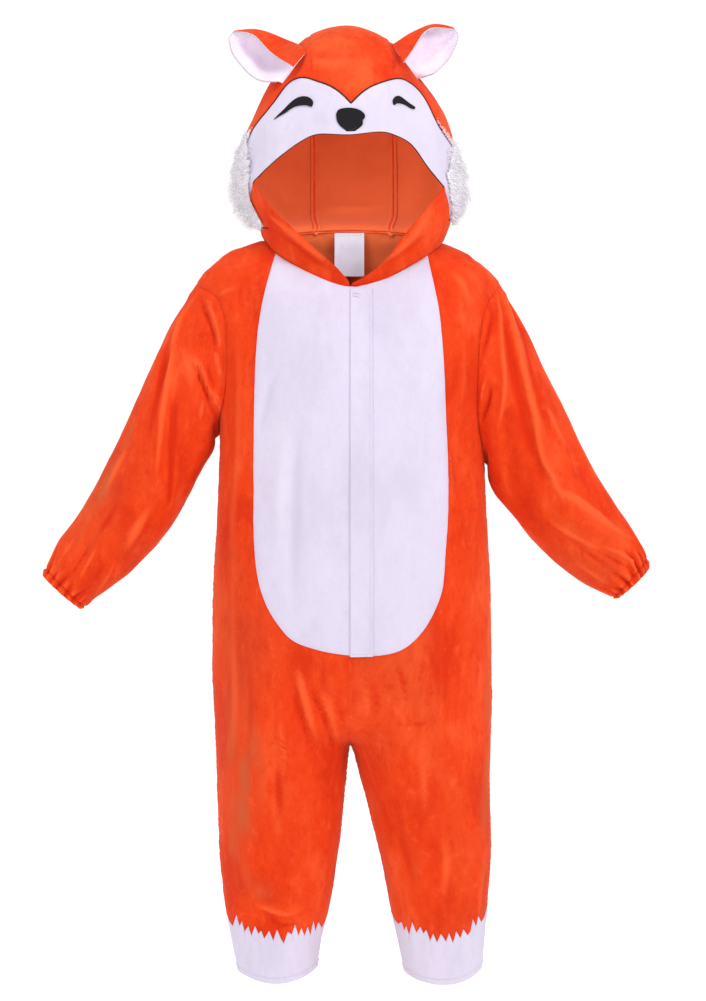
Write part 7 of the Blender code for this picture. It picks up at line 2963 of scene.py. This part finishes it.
# ------------------------------------------------------------------ what each sheet was cut to
# width and length of the cloth it was cut from, and the area of the cut, in metres
CUT = {
    "front_right": (0.248, 0.830, 0.1115), "front_left": (0.253, 0.830, 0.1117),
    "back_right": (0.265, 0.830, 0.1602), "back_left": (0.270, 0.830, 0.1613),
    "belly_right": (0.113, 0.455, 0.0452), "belly_left": (0.115, 0.455, 0.0458),
    "placket": (0.025, 0.415, None),
    "sleeve_right": (0.330, 0.400, 0.0973), "sleeve_left": (0.339, 0.400, 0.0946),
    "leg_cuff_right": (0.332, 0.076, 0.0184), "leg_cuff_left": (0.330, 0.076, 0.0185),
    "hood_center": (0.105, 0.480, 0.0440),
    "hood_side_right": (0.210, 0.310, 0.0472), "hood_side_left": (0.200, 0.305, 0.0430),
    "face_mask": (0.277, 0.165, 0.0232),
    "ear_back_right": (0.155, 0.134, 0.0092), "ear_back_left": (0.111, 0.103, 0.0064),
    "ear_inner_right": (0.152, 0.128, 0.0086), "ear_inner_left": (0.109, 0.099, 0.0060),
    "care_label": (0.034, 0.052, None),
}
for piece in pieces:
    if piece.name in CUT:
        w, l, area = CUT[piece.name]

# ------------------------------------------------------------------ light and camera
# plain white floor, a little below the hems
floor_mesh = bpy.data.meshes.new("floor")
floor_mesh.from_pydata([(-3, -3, -0.905), (3, -3, -0.905), (3, 3, -0.905), (-3, 3, -0.905)], [], [(0, 1, 2, 3)])
floor_white = bpy.data.materials.new("floor_white")
floor_white.use_nodes = True
shader = floor_white.node_tree.nodes["Principled BSDF"]
shader.inputs["Base Color"].default_value = (0.25, 0.25, 0.255, 1)
shader.inputs["Roughness"].default_value = 0.9
shader.inputs["Emission Color"].default_value = (1, 1, 1, 1)
shader.inputs["Emission Strength"].default_value = 0.95
floor_mesh.materials.append(floor_white)
floor = bpy.data.objects.new("floor", floor_mesh)
bpy.context.scene.collection.objects.link(floor)

world = bpy.data.worlds.new("studio")
bpy.context.scene.world = world
world.use_nodes = True
tree = world.node_tree
back = tree.nodes["Background"]
back.inputs["Color"].default_value = (0.97, 0.97, 1.0, 1)
back.inputs["Strength"].default_value = 0.52
seen_white = tree.nodes.new("ShaderNodeBackground")
seen_white.inputs["Color"].default_value = (1, 1, 1, 1)
seen_white.inputs["Strength"].default_value = 1.05
path = tree.nodes.new("ShaderNodeLightPath")
mix = tree.nodes.new("ShaderNodeMixShader")
tree.links.new(path.outputs["Is Camera Ray"], mix.inputs["Fac"])
tree.links.new(back.outputs["Background"], mix.inputs[1])
tree.links.new(seen_white.outputs["Background"], mix.inputs[2])
tree.links.new(mix.outputs["Shader"], tree.nodes["World Output"].inputs["Surface"])


def lamp(name, at, aim, size, watts, colour=(1, 1, 1)):
    data = bpy.data.lights.new(name, "AREA")
    data.shape, data.size, data.size_y = "RECTANGLE", size[0], size[1]
    data.energy, data.color = watts, colour
    obj = bpy.data.objects.new(name, data)
    obj.location = at
    obj.rotation_euler = (Vector(aim) - Vector(at)).to_track_quat("-Z", "Y").to_euler()
    bpy.context.scene.collection.objects.link(obj)
    return obj


lamp("key", (1.9, -2.2, 1.3), (0, 0, -0.25), (1.0, 1.0), 39.5)
lamp("fill", (-1.6, -2.7, 0.2), (0, 0, -0.2), (1.6, 2.0), 17.5)
lamp("top", (-0.2, -0.9, 1.9), (0, 0, 0.1), (1.2, 0.9), 18)
lamp("edge_left", (-2.0, 0.5, 0.3), (0, 0, -0.3), (0.8, 2.2), 12, (1, 0.97, 0.93))
lamp("edge_right", (2.2, 0.5, 0.3), (0, 0, -0.3), (0.8, 2.2), 10)
lamp("behind", (0.3, 2.6, 1.0), (0, 0, -0.3), (2.0, 1.6), 22)
# small lamp in the face opening, so that the inside of the hood is lit as by a light at the camera
inside = lamp("hood_inside", (0.0, -0.060, 0.062), (0.0, 0.2, 0.045), (0.12, 0.08), 0.13)
inside.visible_camera = False

camera = bpy.data.cameras.new("camera")
camera.sensor_width, camera.sensor_fit = 36.0, "AUTO"
camera.lens = 36.0 * 3.0 / 1.15115
camera.clip_end = 50
eye = bpy.data.objects.new("camera", camera)
eye.location = (SIGHT[0] / 1000, SIGHT[1] / 1000, SIGHT[2] / 1000)
eye.rotation_euler = (math.radians(90), 0, 0)
bpy.context.scene.collection.objects.link(eye)
bpy.context.scene.camera = eye
bpy.context.scene.view_settings.view_transform = "Standard"
